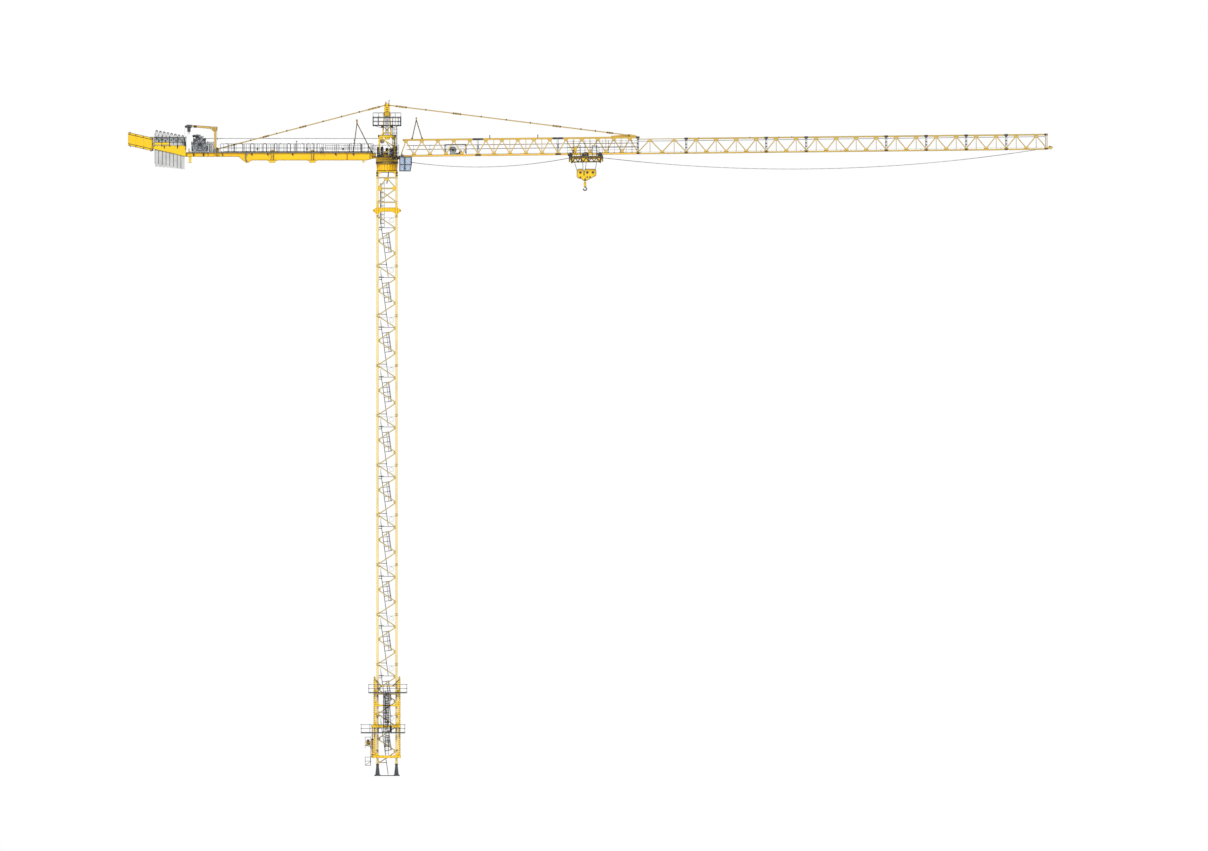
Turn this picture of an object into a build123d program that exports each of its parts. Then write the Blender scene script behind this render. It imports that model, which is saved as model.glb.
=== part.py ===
from build123d import *
from math import atan2, cos, degrees, hypot, radians, sin, tan
import os

os.makedirs("parts", exist_ok=True)

# A saddle jib tower crane at one tenth of full size, in millimetres.
# The origin is on the mast's axis at the soles of its feet.
# X runs out along the jib and Z is up.

# Seats and clearances
seat = 0.3
clear = 6.0

# Mast
leg_spacing = 236.0
leg = 27.0
brace = 13.0
brace_depth = 10.0
section_height = 622.5
lower_sections = 4
middle_sections = 4
upper_sections = 3
joint_block = 35.0
joint_height = 15.0
foot_height = 152.0
foot_width = 84.0
foot_plate = 10.0
transition_height = 163.0
collar_height = 53.0
collar_lug = 45.0
head_mast_height = 325.0
support_height = 162.5
ring_radius = 138.0
ring_height = 30.5

# Climbing cage
cage_post = 26.0
cage_height = 1000.0
cage_foot = 225.0
cage_platform_out = 175.0
floor_thick = 6.0
rail_height = 100.0
rail = 5.0

# Slewing platform and tower head
turret_width = 262.0
turret_plate = 26.0
head_leg = 20.0
head_foot_width = 212.0
head_waist_width = 126.0
head_top_width = 82.0
head_waist_height = 276.0
head_deck_height = 390.0
head_height = 669.0
head_deck_length = 352.0
head_deck_width = 240.0

# Jib, measured along its own slope
jib_rise = 0.0112
jib_root = 175.0
jib_gauge = 190.0
chord = 24.0
chord_lip = 10.0
chord_lip_thick = 4.0
inner_depth = 212.0
outer_depth = 190.0
lace = 11.0
lace_depth = 8.0
inner_lengths = [962.5, 1000.0, 1000.0]
inner_pitch = 200.0
outer_lengths = [604.0, 1000.0, 500.0, 1000.0, 500.0, 500.0, 500.0, 500.0]
outer_pitch = 250.0
tip_length = 80.0

# Counter jib
girder_spacing = 160.0
girder_height = 97.0
girder_flange = 30.0
girder_start = 262.0
girder_end = 1750.0
tail_girder_height = 52.0
tail_girder_end = 2512.0
ballast_end = 2920.0
weight_count = 8
weight_thick = 44.0
weight_pitch = 46.4
weight_height = 398.0
weight_drop = 9.0

# Trolley and hook block
trolley_centre = 2312.0
trolley_length = 425.0
trolley_depth = 80.0
wheel_radius = 9.0
block_sheave = 34.0
block_small_sheave = 26.0
fall_length = 62.0

# Levels and widths that follow
half = leg_spacing / 2
leg_outer = half + leg / 2
leg_inner = half - leg / 2
mast_top = foot_height + section_height * (lower_sections + middle_sections + upper_sections)
head_mast_bottom = mast_top + transition_height
support_bottom = head_mast_bottom + head_mast_height
support_top = support_bottom + support_height
ring_top = support_top + ring_height
turret_bottom = ring_top + ring_height + seat
turret_top = turret_bottom + turret_plate
jib_slope = degrees(atan2(jib_rise, 1))
jib_place = Location((jib_root, 0, turret_top), (0, -jib_slope, 0))
inner_length = sum(inner_lengths)
jib_length = inner_length + sum(outer_lengths)


def bar(start, end, width):
    """Adds a flat bar between two points of the sketch in use."""
    run, rise = end[0] - start[0], end[1] - start[1]
    with Locations(((start[0] + end[0]) / 2, (start[1] + end[1]) / 2)):
        Rectangle(hypot(run, rise), width, rotation=degrees(atan2(rise, run)))


def lacing(points, width):
    """Adds bars from each point to the next one."""
    for start, end in zip(points, points[1:]):
        bar(start, end, width)


def strut(start, end, width, depth):
    """Makes a straight bar between two points in space."""
    start, end = Vector(*start), Vector(*end)
    way = end - start
    across = Vector(0, 1, 0) if abs(way.normalized().Y) < 0.9 else Vector(1, 0, 0)
    with BuildPart() as made:
        with BuildSketch(Plane(origin=start, x_dir=across.cross(way), z_dir=way)):
            Rectangle(width, depth)
        extrude(amount=way.length)
    return made.part


def rod(start, end, radius):
    """Makes a round bar between two points in space."""
    start, end = Vector(*start), Vector(*end)
    way = end - start
    with BuildPart() as made:
        with BuildSketch(Plane(origin=start, z_dir=way)):
            RegularPolygon(radius, 8)
        extrude(amount=way.length)
    return made.part


def rail_panel(length, height, post_count, rail_count=2):
    """Makes one side of a guard rail, standing on the XY plane along X."""
    with BuildPart() as made:
        with BuildSketch(Plane.XZ):
            for k in range(post_count):
                x = -length / 2 + rail / 2 + k * (length - rail) / (post_count - 1)
                bar((x, 0), (x, height), rail)
            for k in range(rail_count):
                z = (height - rail / 2) * (k + 1) / rail_count
                bar((-length / 2, z), (length / 2, z), rail)
        extrude(amount=rail / 2, both=True)
    return made.part


def sheave(radius, width, bore):
    """Makes a grooved wheel about the Y axis."""
    with BuildPart() as made:
        with BuildSketch(Plane.XY):
            with BuildLine():
                Polyline(
                    (bore, -width / 2), (radius, -width / 2), (radius * 0.86, 0),
                    (radius, width / 2), (bore, width / 2), close=True)
            make_face()
        revolve(axis=Axis.Y)
    return made.part


def platform(x_low, x_high, y_low, y_high, hole, height, posts=4, rails=2):
    """Makes a deck of four strips around a square hole, with a guard rail on its rim."""
    left, right = -hole - x_low, x_high - hole
    with BuildPart() as made:
        for x, y, length, width in (
            (x_low + left / 2, (y_low + y_high) / 2, left, y_high - y_low),
            (x_high - right / 2, (y_low + y_high) / 2, right, y_high - y_low),
            (0, (y_low - hole) / 2, 2 * (hole - seat), -hole - y_low),
            (0, (y_high + hole) / 2, 2 * (hole - seat), y_high - hole),
        ):
            with Locations((x, y, 0)):
                Box(length, width, floor_thick, align=(Align.CENTER, Align.CENTER, Align.MIN))
        top = floor_thick + seat
        middle_x, middle_y = (x_low + x_high) / 2, (y_low + y_high) / 2
        side = rail_panel(x_high - x_low, height, posts, rails)
        end = rail_panel(y_high - y_low - 2 * rail - 2 * seat, height, 3, rails)
        with Locations((middle_x, y_low + rail / 2, top), (middle_x, y_high - rail / 2, top)):
            add(side)
        for x in (x_low + rail / 2, x_high - rail / 2):
            with Locations(Location((x, middle_y, top), (0, 0, 90))):
                add(end)
    return made.part


def finish(part, name):
    """Names a piece and writes its file."""
    part.label = name
    export_step(part, f"parts/{name}.step")
    return part


# Mast sections


def section_panels():
    """Makes the two kinds of side of one mast section, standing on the XY plane."""
    height = section_height - seat
    step = section_height / 4
    with BuildPart() as face:
        with BuildSketch():
            with Locations((-half, -half), (half, -half)):
                Rectangle(leg, leg)
        extrude(amount=height)
        for level in (0, height - joint_height):
            with BuildSketch(Plane.XY.offset(level)):
                with Locations((-half, -half), (half, -half)):
                    Rectangle(joint_block, joint_block)
            extrude(amount=joint_height)
        with BuildSketch(Plane.XZ.offset(half)):
            lacing([(half if k % 2 else -half, k * step) for k in range(5)], brace)
            with Locations((0, height / 2)):
                Rectangle(leg_spacing, height - brace, mode=Mode.INTERSECT)
        extrude(amount=brace_depth / 2, both=True)
    with BuildPart() as side:
        edge = leg_inner - seat
        with BuildSketch(Plane.YZ.offset(-half)):
            lacing([(edge if k % 2 else -edge, k * step) for k in range(5)], brace)
            with Locations((0, height / 2)):
                Rectangle(2 * edge, height - 2 * joint_height - 2, mode=Mode.INTERSECT)
        extrude(amount=brace_depth / 2, both=True)
    return face.part, side.part


face_panel, side_panel = section_panels()


def mast_run(name, bottom, count):
    """Stacks mast sections into one piece of the mast."""
    levels = [bottom + k * section_height for k in range(count)]
    with BuildPart() as run:
        with Locations(*[(0, y, z) for z in levels for y in (0, leg_spacing)]):
            add(face_panel)
        with Locations(*[(x, 0, z) for z in levels for x in (0, leg_spacing)]):
            add(side_panel)
    finish(run.part, name)
    return bottom + count * section_height


middle_bottom = mast_run("mast_lower", foot_height, lower_sections)
upper_bottom = mast_run("mast_middle", middle_bottom, middle_sections)
mast_run("mast_upper", upper_bottom, upper_sections)

# Feet, cast into the foundation, with the flat frame that sets their spacing
with BuildPart() as anchor_feet:
    with BuildSketch():
        Rectangle(leg_spacing + foot_width / 3, leg_spacing + foot_width / 3)
        Rectangle(leg_spacing - foot_width / 3, leg_spacing - foot_width / 3, mode=Mode.SUBTRACT)
        with GridLocations(leg_spacing, leg_spacing, 2, 2):
            Rectangle(foot_width, foot_width)
    extrude(amount=foot_plate)
    with BuildSketch(Plane.XY.offset(foot_plate)):
        with GridLocations(leg_spacing, leg_spacing, 2, 2):
            Rectangle(foot_width * 0.66, foot_width * 0.66)
    extrude(amount=foot_height - foot_plate - joint_height, taper=5.4)
    with BuildSketch(Plane.XY.offset(foot_height - joint_height)):
        with GridLocations(leg_spacing, leg_spacing, 2, 2):
            Rectangle(joint_block, joint_block)
    extrude(amount=joint_height - seat)
finish(anchor_feet.part, "anchor_feet")

# Short transition piece with the collar that stops the climbing cage
with BuildPart() as transition_section:
    height = transition_height - seat
    with Locations((0, 0, mast_top)):
        with GridLocations(leg_spacing, leg_spacing, 2, 2):
            Box(leg, leg, height, align=(Align.CENTER, Align.CENTER, Align.MIN))
    collar_bottom = mast_top + transition_height * 0.33
    with BuildSketch(Plane.XZ.offset(half)):
        for side in (-1, 1):
            Polygon(
                (side * (half - leg / 2), collar_bottom - 28),
                (side * (half + leg / 2), collar_bottom - 28),
                (side * (half + leg / 2 + collar_lug), collar_bottom + 6),
                (side * (half + leg / 2 + collar_lug), collar_bottom + 24),
                (side * (half + leg / 2), collar_bottom + collar_height),
                (side * (half - 2 * leg), collar_bottom + collar_height),
                (side * (half - 2 * leg), collar_bottom), align=None)
        bar((-half, collar_bottom + collar_height / 2), (half, collar_bottom + collar_height / 2), collar_height)
    collar = extrude(amount=brace_depth, both=True)
    add(collar.moved(Location((0, leg_spacing, 0))))
    with Locations(*[(x, 0, collar_bottom + collar_height / 2) for x in (-half, half)]):
        Box(brace_depth * 2, leg_spacing, collar_height)
finish(transition_section.part, "transition_section")

# Head mast: the stiff piece under the slewing ring
with BuildPart() as head_mast:
    bottom = head_mast_bottom
    height = head_mast_height - seat
    middle = bottom + head_mast_height * 0.56
    with Locations((0, 0, bottom)):
        with GridLocations(leg_spacing, leg_spacing, 2, 2):
            Box(leg, leg, height, align=(Align.CENTER, Align.CENTER, Align.MIN))
    with BuildSketch(Plane.XZ.offset(half)):
        bar((-half, middle), (half, middle), brace * 1.4)
        bar((-half, bottom + 14), (half, middle), brace)
        bar((half, bottom + 14), (-half, middle), brace)
        bar((-half, middle), (0, bottom + height - 16), brace)
        bar((half, middle), (0, bottom + height - 16), brace)
        bar((-half, bottom + height - 9), (half, bottom + height - 9), 18)
        bar((-half, bottom + 9), (half, bottom + 9), 18)
    near = extrude(amount=brace_depth / 2, both=True)
    add(near.moved(Location((0, leg_spacing, 0))))
    for x in (-half, half):
        with BuildSketch(Plane.YZ.offset(x)):
            bar((-half, middle), (half, middle), brace * 1.4)
            bar((-half, bottom + 14), (half, middle), brace)
            bar((-half, middle), (half, bottom + height - 16), brace)
            bar((-half, bottom + height - 9), (half, bottom + height - 9), 18)
            bar((-half, bottom + 9), (half, bottom + 9), 18)
        extrude(amount=brace_depth / 2, both=True)
finish(head_mast.part, "head_mast")

# Slewing ring support: four corner flares under a drum and the fixed ring
with BuildPart() as ring_support:
    flare = support_height * 0.5
    with BuildSketch(Plane.XY.offset(support_bottom)):
        Rectangle(leg_spacing + leg, leg_spacing + leg)
        Circle(ring_radius - 40, mode=Mode.SUBTRACT)
    extrude(amount=flare, taper=2)
    with BuildSketch(Plane.XY.offset(support_bottom + flare)):
        Circle(ring_radius - 14)
        Circle(ring_radius - 40, mode=Mode.SUBTRACT)
    extrude(amount=support_height - flare)
    with BuildSketch(Plane.XY.offset(support_top)):
        Circle(ring_radius)
        Circle(ring_radius - 40, mode=Mode.SUBTRACT)
    extrude(amount=ring_height)
finish(ring_support.part, "ring_support")


# Ladders and rest platforms inside the mast


def ladder(length, width, rungs):
    """Makes a flat ladder standing on the XY plane, its rungs along Y."""
    with BuildPart() as made:
        with BuildSketch(Plane.YZ):
            for y in (-width / 2, width / 2):
                bar((y, 0), (y, length), rail)
            for k in range(rungs):
                z = length * (k + 0.5) / rungs
                bar((-width / 2, z), (width / 2, z), rail * 0.8)
        extrude(amount=rail / 2, both=True)
    return made.part


rest_drop = 150.0
ladder_width = 40.0
ladder_lean = 7.9
hatch = 56.0
rest_half = leg_inner - seat
ladder_foot = 16.0
ladder_at = ladder_foot - tan(radians(ladder_lean)) * section_height
section_count = lower_sections + middle_sections + upper_sections
rest_levels = [foot_height + section_height * (k + 1) - rest_drop for k in range(section_count)]
with BuildPart() as rest_platforms:
    with BuildSketch(*[Plane.XY.offset(z) for z in rest_levels]):
        Rectangle(2 * rest_half, 2 * rest_half)
        with Locations((-rest_half + hatch / 2 + 2, 0)):
            Rectangle(hatch, hatch, mode=Mode.SUBTRACT)
        grip = (hatch - ladder_width - rail) / 2 - seat
        with Locations(*[(ladder_at, side * (hatch - grip) / 2) for side in (-1, 1)]):
            Rectangle(12, grip + 1)
    extrude(amount=floor_thick)

with BuildPart() as mast_ladders:
    add(rest_platforms.part)
    slant = radians(ladder_lean)
    leaning = ladder((section_height + 62) / cos(slant), ladder_width, 12)
    foot_levels = [z - section_height + floor_thick + 1 for z in rest_levels]
    with Locations(*[Location((ladder_foot, 0, z), (0, -ladder_lean, 0)) for z in foot_levels]):
        add(leaning)
    upright = ladder(support_bottom - rest_levels[-1] - floor_thick - 2 * seat, 46, 11)
    with Locations(Location((-34, 0, rest_levels[-1] + floor_thick + seat))):
        add(upright)
finish(mast_ladders.part, "mast_ladders")

# Climbing cage, parked round the lowest sections

cage_inner = half + joint_block / 2 + clear
cage_line = cage_inner + cage_post / 2
cage_outer = cage_inner + cage_post
cage_top = cage_foot + cage_height
cage_beam = 32.0
jack_level = cage_foot + 395
upper_beam_level = cage_foot + 656
top_deck_level = cage_foot + 814
middle_deck_level = cage_foot + 313
with BuildPart() as cage_frame:
    with BuildSketch(Plane.XZ.offset(cage_line)):
        for side in (-1, 1):
            bar((side * cage_line, cage_foot), (side * cage_line, cage_top), cage_post)
            bar((side * cage_line, cage_top - 45), (side * cage_line * 0.42, top_deck_level + 85), 12)
        for level, width in (
            (cage_foot + cage_beam / 2, cage_beam), (jack_level, 22), (upper_beam_level, 22),
            (top_deck_level - 12, 20), (top_deck_level + 85, 12),
        ):
            bar((-cage_line, level), (cage_line, level), width)
    near = extrude(amount=cage_post / 2, both=True)
    add(near.moved(Location((0, 2 * cage_line, 0))))
    edge = cage_inner - seat
    levels = (cage_foot + cage_beam / 2, jack_level, upper_beam_level, top_deck_level - 12)
    with BuildSketch(Plane.YZ.offset(-cage_line)):
        for level in levels:
            bar((-edge, level), (edge, level), 20)
        for low, high in zip(levels, levels[1:]):
            bar((-edge + 8, low), (edge - 8, high), 12)
            bar((edge - 8, low), (-edge + 8, high), 12)
    extrude(amount=cage_post / 2 - 3, both=True)
    with BuildSketch(Plane.YZ.offset(cage_line)):
        for level in (levels[0], levels[-1]):
            bar((-edge, level), (edge, level), 20)
    extrude(amount=cage_post / 2 - 3, both=True)
    pad_face = half + joint_block / 2 + seat
    for x in (-1, 1):
        for y in (-1, 1):
            with Locations((x * (half + 13), y * (pad_face + 5), foot_height + section_height)):
                Box(38, 10, 24)
    for side in (-1, 1):
        with Locations((-9, side * (cage_outer + seat + 9), jack_level)):
            Box(2 * cage_outer + 26, 18, cage_beam)
        with Locations((0, side * (cage_outer + seat + 7), cage_foot + cage_beam / 2)):
            Box(2 * cage_outer + 12, 14, cage_beam)
finish(cage_frame.part, "cage_frame")

ram_radius = 13.0
ram_x = -(cage_outer + seat + ram_radius + 3)
jack_bottom = cage_foot + cage_beam / 2
with BuildPart() as climbing_jack:
    for level in (jack_bottom, jack_level):
        with BuildSketch(Plane.XZ):
            Polygon(
                (-cage_outer + 3 - seat, level - 20), (ram_x - ram_radius - 2, level - 10),
                (ram_x - ram_radius - 2, level + 10), (-cage_outer + 3 - seat, level + 20), align=None)
        extrude(amount=ram_radius + 1.5, both=True)
    with BuildSketch(Plane.XY.offset(jack_bottom)):
        with Locations((ram_x, 0)):
            Circle(ram_radius)
    extrude(amount=215)
    with BuildSketch(Plane.XY.offset(jack_bottom + 215)):
        with Locations((ram_x, 0)):
            Circle(7)
    extrude(amount=jack_level - jack_bottom - 215)

with BuildPart() as cage_middle_deck:
    hole = cage_outer + seat
    deck = platform(
        -cage_outer - 158, cage_outer + 58, -cage_outer - 70, cage_outer + 70, hole, rail_height, 6)
    add(deck.moved(Location((0, 0, middle_deck_level))))
    with Locations((ram_x, 0, middle_deck_level)):
        Box(2 * ram_radius + 20, 2 * ram_radius + 14, 60, mode=Mode.SUBTRACT)
finish(cage_middle_deck.part, "cage_middle_deck")

with BuildPart() as cage_top_deck:
    deck = platform(
        -cage_outer - 64, cage_outer + 83, -cage_outer - 70, cage_outer + 70, hole, rail_height, 5)
    add(deck.moved(Location((0, 0, top_deck_level))))
finish(cage_top_deck.part, "cage_top_deck")

# Low side decks hung from the cage: one for the power pack, one for the jack's foot
deck_out = -275.0
deck_in = ram_x - ram_radius - 4
with BuildPart() as cage_side_decks:
    for level, width, arm in ((cage_foot - 94, 75, 107), (cage_foot + 156, 60, -35)):
        with Locations(((deck_out + deck_in) / 2, 0, level + floor_thick / 2)):
            Box(deck_in - deck_out, 2 * width, floor_thick)
        for side in (-1, 1):
            with BuildSketch(Plane.XZ.offset(-side * (width - rail / 2))):
                for z in (level + 55, level + 105):
                    bar((deck_out, z), (deck_in, z), rail)
                low, top = min(level, level + arm), level + 107
                bar((deck_out + rail / 2, low), (deck_out + rail / 2, top), rail)
                bar((deck_in - rail / 2, low), (deck_in - rail / 2, top + 6), rail)
                bar((deck_in - rail, level + arm + 3), (-cage_outer + 3 - seat, level + arm + 3), 6)
                bar((deck_out + 3, level + 3), (deck_in - 3, level + arm / 2), 5)
            extrude(amount=rail / 2, both=True)
        with BuildSketch(Plane.YZ.offset(deck_out + rail / 2)):
            for z in (level + 55, level + 105):
                bar((-width + 1, z), (width - 1, z), rail)
        extrude(amount=rail / 2, both=True)
finish(cage_side_decks.part, "cage_side_decks")

# Hydraulic power pack, kept with the jack that it drives
with BuildPart() as power_pack:
    tank_bottom = cage_foot + 156 + floor_thick + seat
    with BuildSketch(Plane.XY.offset(tank_bottom)):
        with Locations((deck_out + 40, 0)):
            RectangleRounded(50, 70, 4)
    extrude(amount=44)
    with BuildSketch(Plane.XY.offset(tank_bottom + 44)):
        with Locations((deck_out + 40, -12)):
            Circle(15)
    extrude(amount=26)
with BuildPart() as climbing_hydraulics:
    add(climbing_jack.part)
    add(power_pack.part)
finish(climbing_hydraulics.part, "climbing_hydraulics")


# Slewing platform

turret_half = turret_width / 2
pin_radius = 5.0
lug_thick = 6.0
root_pin_level = turret_top + chord / 2
rear_pin = turret_half + 22
rear_pin_level = turret_top
sheave_radius = 24.0
foot_sheave_x = turret_half + 59
foot_sheave_z = turret_bottom + 1
man_hole = 60.0
with BuildPart() as turntable:
    with BuildSketch(Plane.XY.offset(ring_top + seat)):
        Circle(ring_radius)
        Circle(ring_radius - 40, mode=Mode.SUBTRACT)
    extrude(amount=turret_bottom - ring_top - seat)
    with BuildSketch(Plane.XY.offset(turret_bottom)):
        RectangleRounded(turret_width, turret_width, 12)
        Circle(man_hole, mode=Mode.SUBTRACT)
    extrude(amount=turret_plate - seat)
    for y in (-jib_gauge / 2, jib_gauge / 2):
        apart = chord / 2 + seat + lug_thick / 2
        with BuildSketch(*[Plane.XZ.offset(-y + k * apart) for k in (-1, 1)]):
            Polygon(
                (turret_half - 12, turret_bottom), (jib_root + 6, turret_bottom + 6),
                (jib_root + 12, root_pin_level), (jib_root + 6, root_pin_level + 11),
                (jib_root - 8, root_pin_level + 11), (turret_half - 12, turret_top - seat), align=None)
        extrude(amount=lug_thick / 2, both=True)
        with Locations(Location((jib_root, y, root_pin_level), (90, 0, 0))):
            Cylinder(pin_radius, chord + 2 * lug_thick + 8)
    for y in (-girder_spacing / 2, girder_spacing / 2):
        apart = girder_flange / 2 + seat + lug_thick / 2
        with BuildSketch(*[Plane.XZ.offset(-y + k * apart) for k in (-1, 1)]):
            Polygon(
                (-turret_half + 12, turret_bottom), (-rear_pin - 6, turret_bottom + 8),
                (-rear_pin - 13, rear_pin_level), (-rear_pin - 6, rear_pin_level + 14),
                (-rear_pin + 8, rear_pin_level + 14), (-turret_half + 12, turret_top - seat), align=None)
        extrude(amount=lug_thick / 2, both=True)
        with Locations(Location((-rear_pin, y, rear_pin_level), (90, 0, 0))):
            Cylinder(pin_radius, girder_flange + 2 * lug_thick + 8)
finish(turntable.part, "turntable")

# Gear motors that turn the crane, standing on the platform
with BuildPart() as slew_motors:
    for x, y, height in ((-62, -60, 128), (62, -60, 96), (0, 66, 112)):
        with Locations((x, y, turret_top)):
            Cylinder(23, 34, align=(Align.CENTER, Align.CENTER, Align.MIN))
            Cylinder(19, height - 16, align=(Align.CENTER, Align.CENTER, Align.MIN))
            Cylinder(15, height, align=(Align.CENTER, Align.CENTER, Align.MIN))
finish(slew_motors.part, "slew_motors")

# Walkways beside the platform
walk_width = 66.0
walk_low = -turret_half - 62
walk_high = turret_half + 18
with BuildPart() as turret_walkways:
    level = turret_top - floor_thick
    length = walk_high - walk_low
    for side in (-1, 1):
        y = side * (turret_half + seat + walk_width / 2)
        with Locations(((walk_low + walk_high) / 2, y, level)):
            Box(length, walk_width, floor_thick, align=(Align.CENTER, Align.CENTER, Align.MIN))
        outside = rail_panel(length, 150, 6, 3)
        outside_y = side * (turret_half + seat + walk_width - rail / 2)
        add(outside.moved(Location(((walk_low + walk_high) / 2, outside_y, level + floor_thick))))
        end = rail_panel(walk_width, 150, 2, 3)
        for x in (walk_low + rail / 2, walk_high - rail / 2):
            add(end.moved(Location((x, y, level + floor_thick), (0, 0, 90))))
finish(turret_walkways.part, "turret_walkways")

# Tower head

head_foot = head_foot_width / 2 - head_leg / 2
waist_level = turret_top + head_waist_height
head_top = turret_top + head_height
waist_beam = 30.0
upper_foot = head_waist_width / 2 - head_leg / 2
upper_top = head_top_width / 2 - 8
cheek_bottom = head_top - 156
cheek_thick = 8.0
cheek_line = upper_top - 2
tie_pin = 20.0
with BuildPart() as tower_head:
    for x in (-1, 1):
        for y in (-1, 1):
            low = (x * head_foot, y * head_foot, turret_top)
            high = (x * head_foot, y * head_foot, waist_level - waist_beam + 4)
            add(strut(low, high, head_leg, head_leg))
            low = (x * upper_foot, y * upper_foot, waist_level - 4)
            high = (x * upper_top, y * upper_top, cheek_bottom + 10)
            add(strut(low, high, head_leg * 0.8, head_leg * 0.8))
    with BuildSketch(Plane.XY.offset(waist_level - waist_beam)):
        Rectangle(head_foot_width, head_foot_width)
        Rectangle(head_foot_width - 2 * head_leg, head_foot_width - 2 * head_leg, mode=Mode.SUBTRACT)
        for side in (-1, 1):
            bar((side * upper_foot, -head_foot), (side * upper_foot, head_foot), head_leg)
    extrude(amount=waist_beam)
    for side in (-1, 1):
        y = side * head_foot
        low, high = turret_top + 12, waist_level - waist_beam
        with BuildSketch(Plane.XZ.offset(-y)):
            bar((-head_foot, low), (head_foot, (low + high) / 2), brace)
            bar((head_foot, (low + high) / 2), (-head_foot, high), brace)
            bar((-head_foot, low), (head_foot, low), brace)
        extrude(amount=brace_depth / 2, both=True)
        with BuildSketch(Plane.YZ.offset(side * head_foot)):
            bar((-head_foot, low), (-20, (low + high) / 2 + 10), brace)
            bar((head_foot, low), (20, (low + high) / 2 + 10), brace)
            bar((-head_foot, (low + high) / 2 + 10), (head_foot, (low + high) / 2 + 10), brace)
        extrude(amount=brace_depth / 2, both=True)
    share = (turret_top + head_deck_height - waist_level) / (cheek_bottom - waist_level)
    deck_spread = upper_foot + (upper_top - upper_foot) * share
    for side in (-1, 1):
        for way in (-1, 1):
            low = (way * upper_foot, side * upper_foot, waist_level)
            high = (-way * deck_spread, side * deck_spread, turret_top + head_deck_height - 6)
            add(strut(low, high, brace * 0.7, brace * 0.7))
    with BuildSketch(*[Plane.XZ.offset(k * cheek_line) for k in (-1, 1)]):
        Polygon(
            (-upper_top - 9, cheek_bottom), (-upper_top - 9, cheek_bottom + 30), (-34, cheek_bottom + 62),
            (-34, head_top - 14), (-22, head_top), (22, head_top), (34, head_top - 14),
            (34, cheek_bottom + 62), (upper_top + 9, cheek_bottom + 30), (upper_top + 9, cheek_bottom),
            align=None)
        with Locations(*[(x, head_top - 22) for x in (-tie_pin, tie_pin)]):
            Circle(pin_radius + seat, mode=Mode.SUBTRACT)
    extrude(amount=cheek_thick / 2, both=True)
    with Locations((0, 0, cheek_bottom + 12)):
        Box(2 * upper_top + 18, 2 * cheek_line, 24)
    with Locations((0, 0, head_top - 75)):
        Box(14, 2 * cheek_line, 30)
    with Locations((28, -cheek_line, head_top - 16)):
        Cylinder(2.5, 60, align=(Align.CENTER, Align.CENTER, Align.MIN))
finish(tower_head.part, "tower_head")

with BuildPart() as head_deck:
    deck = platform(
        -head_deck_length / 2 - 1, head_deck_length / 2, -head_deck_width / 2, head_deck_width / 2,
        deck_spread + head_leg * 0.4 + 2 * seat, 159, 6, 3)
    add(deck.moved(Location((0, 0, turret_top + head_deck_height))))
finish(head_deck.part, "head_deck")

# Ladder up the outside of the head, with safety hoops and its brackets
hoop_radius = 34.0
climb_width = 46.0
with BuildPart() as head_ladder:
    ladder_y = -head_foot_width / 2 - 30
    rise = head_deck_height - seat
    climb = ladder(rise, climb_width, 12)
    hoop_set = (hoop_radius ** 2 - (climb_width / 2) ** 2) ** 0.5
    add(climb.moved(Location((head_foot, ladder_y, turret_top), (0, 0, 90))))
    for k in range(5):
        with BuildSketch(Plane.XY.offset(turret_top + 110 + k * 60)):
            with Locations((head_foot, ladder_y - hoop_set)):
                Circle(hoop_radius)
                Circle(hoop_radius - 3, mode=Mode.SUBTRACT)
                with Locations((0, hoop_set + hoop_radius)):
                    Rectangle(2 * hoop_radius, 2 * hoop_radius, mode=Mode.SUBTRACT)
        extrude(amount=4)
    for level in (turret_top + 90, waist_level - waist_beam / 2):
        for x in (head_foot - climb_width / 2, head_foot + 6):
            with Locations((x, (ladder_y - head_foot_width / 2 - seat) / 2, level)):
                Box(4, -ladder_y - head_foot_width / 2 - seat, 6)
finish(head_ladder.part, "head_ladder")

# Cab

cab_length = 156.0
cab_width = 160.0
cab_height = 186.0
cab_wall = 6.0
cab_frame_width = 11.0
glass = 3.0
cab_back = 154.0
cab_side = -(turret_half + 26)
cab_top = turret_top + 6
cab_front = cab_back + cab_length
cab_floor = cab_top - cab_height
sill = cab_floor + 84


def cab_outline(inset):
    """Draws the cab's side view, drawn in by an inset, in the sketch in use."""
    outline = Polygon(
        (cab_back, cab_floor), (cab_front - 16, cab_floor), (cab_front, sill),
        (cab_front, cab_top), (cab_back, cab_top), align=None, mode=Mode.PRIVATE)
    add(offset(outline, amount=-inset, kind=Kind.INTERSECTION, mode=Mode.PRIVATE) if inset else outline)


def cab_side_panes(inset):
    """Draws the openings of one side of the cab in the sketch in use."""
    cab_outline(cab_wall + cab_frame_width / 2 + inset)
    cut = cab_frame_width + 2 * inset
    with Locations(((cab_back + cab_front) / 2, sill)):
        Rectangle(cab_length, cut, mode=Mode.SUBTRACT)
    with Locations((cab_back + cab_length * 0.4, (cab_floor + cab_top) / 2)):
        Rectangle(cut, cab_height, mode=Mode.SUBTRACT)


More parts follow.
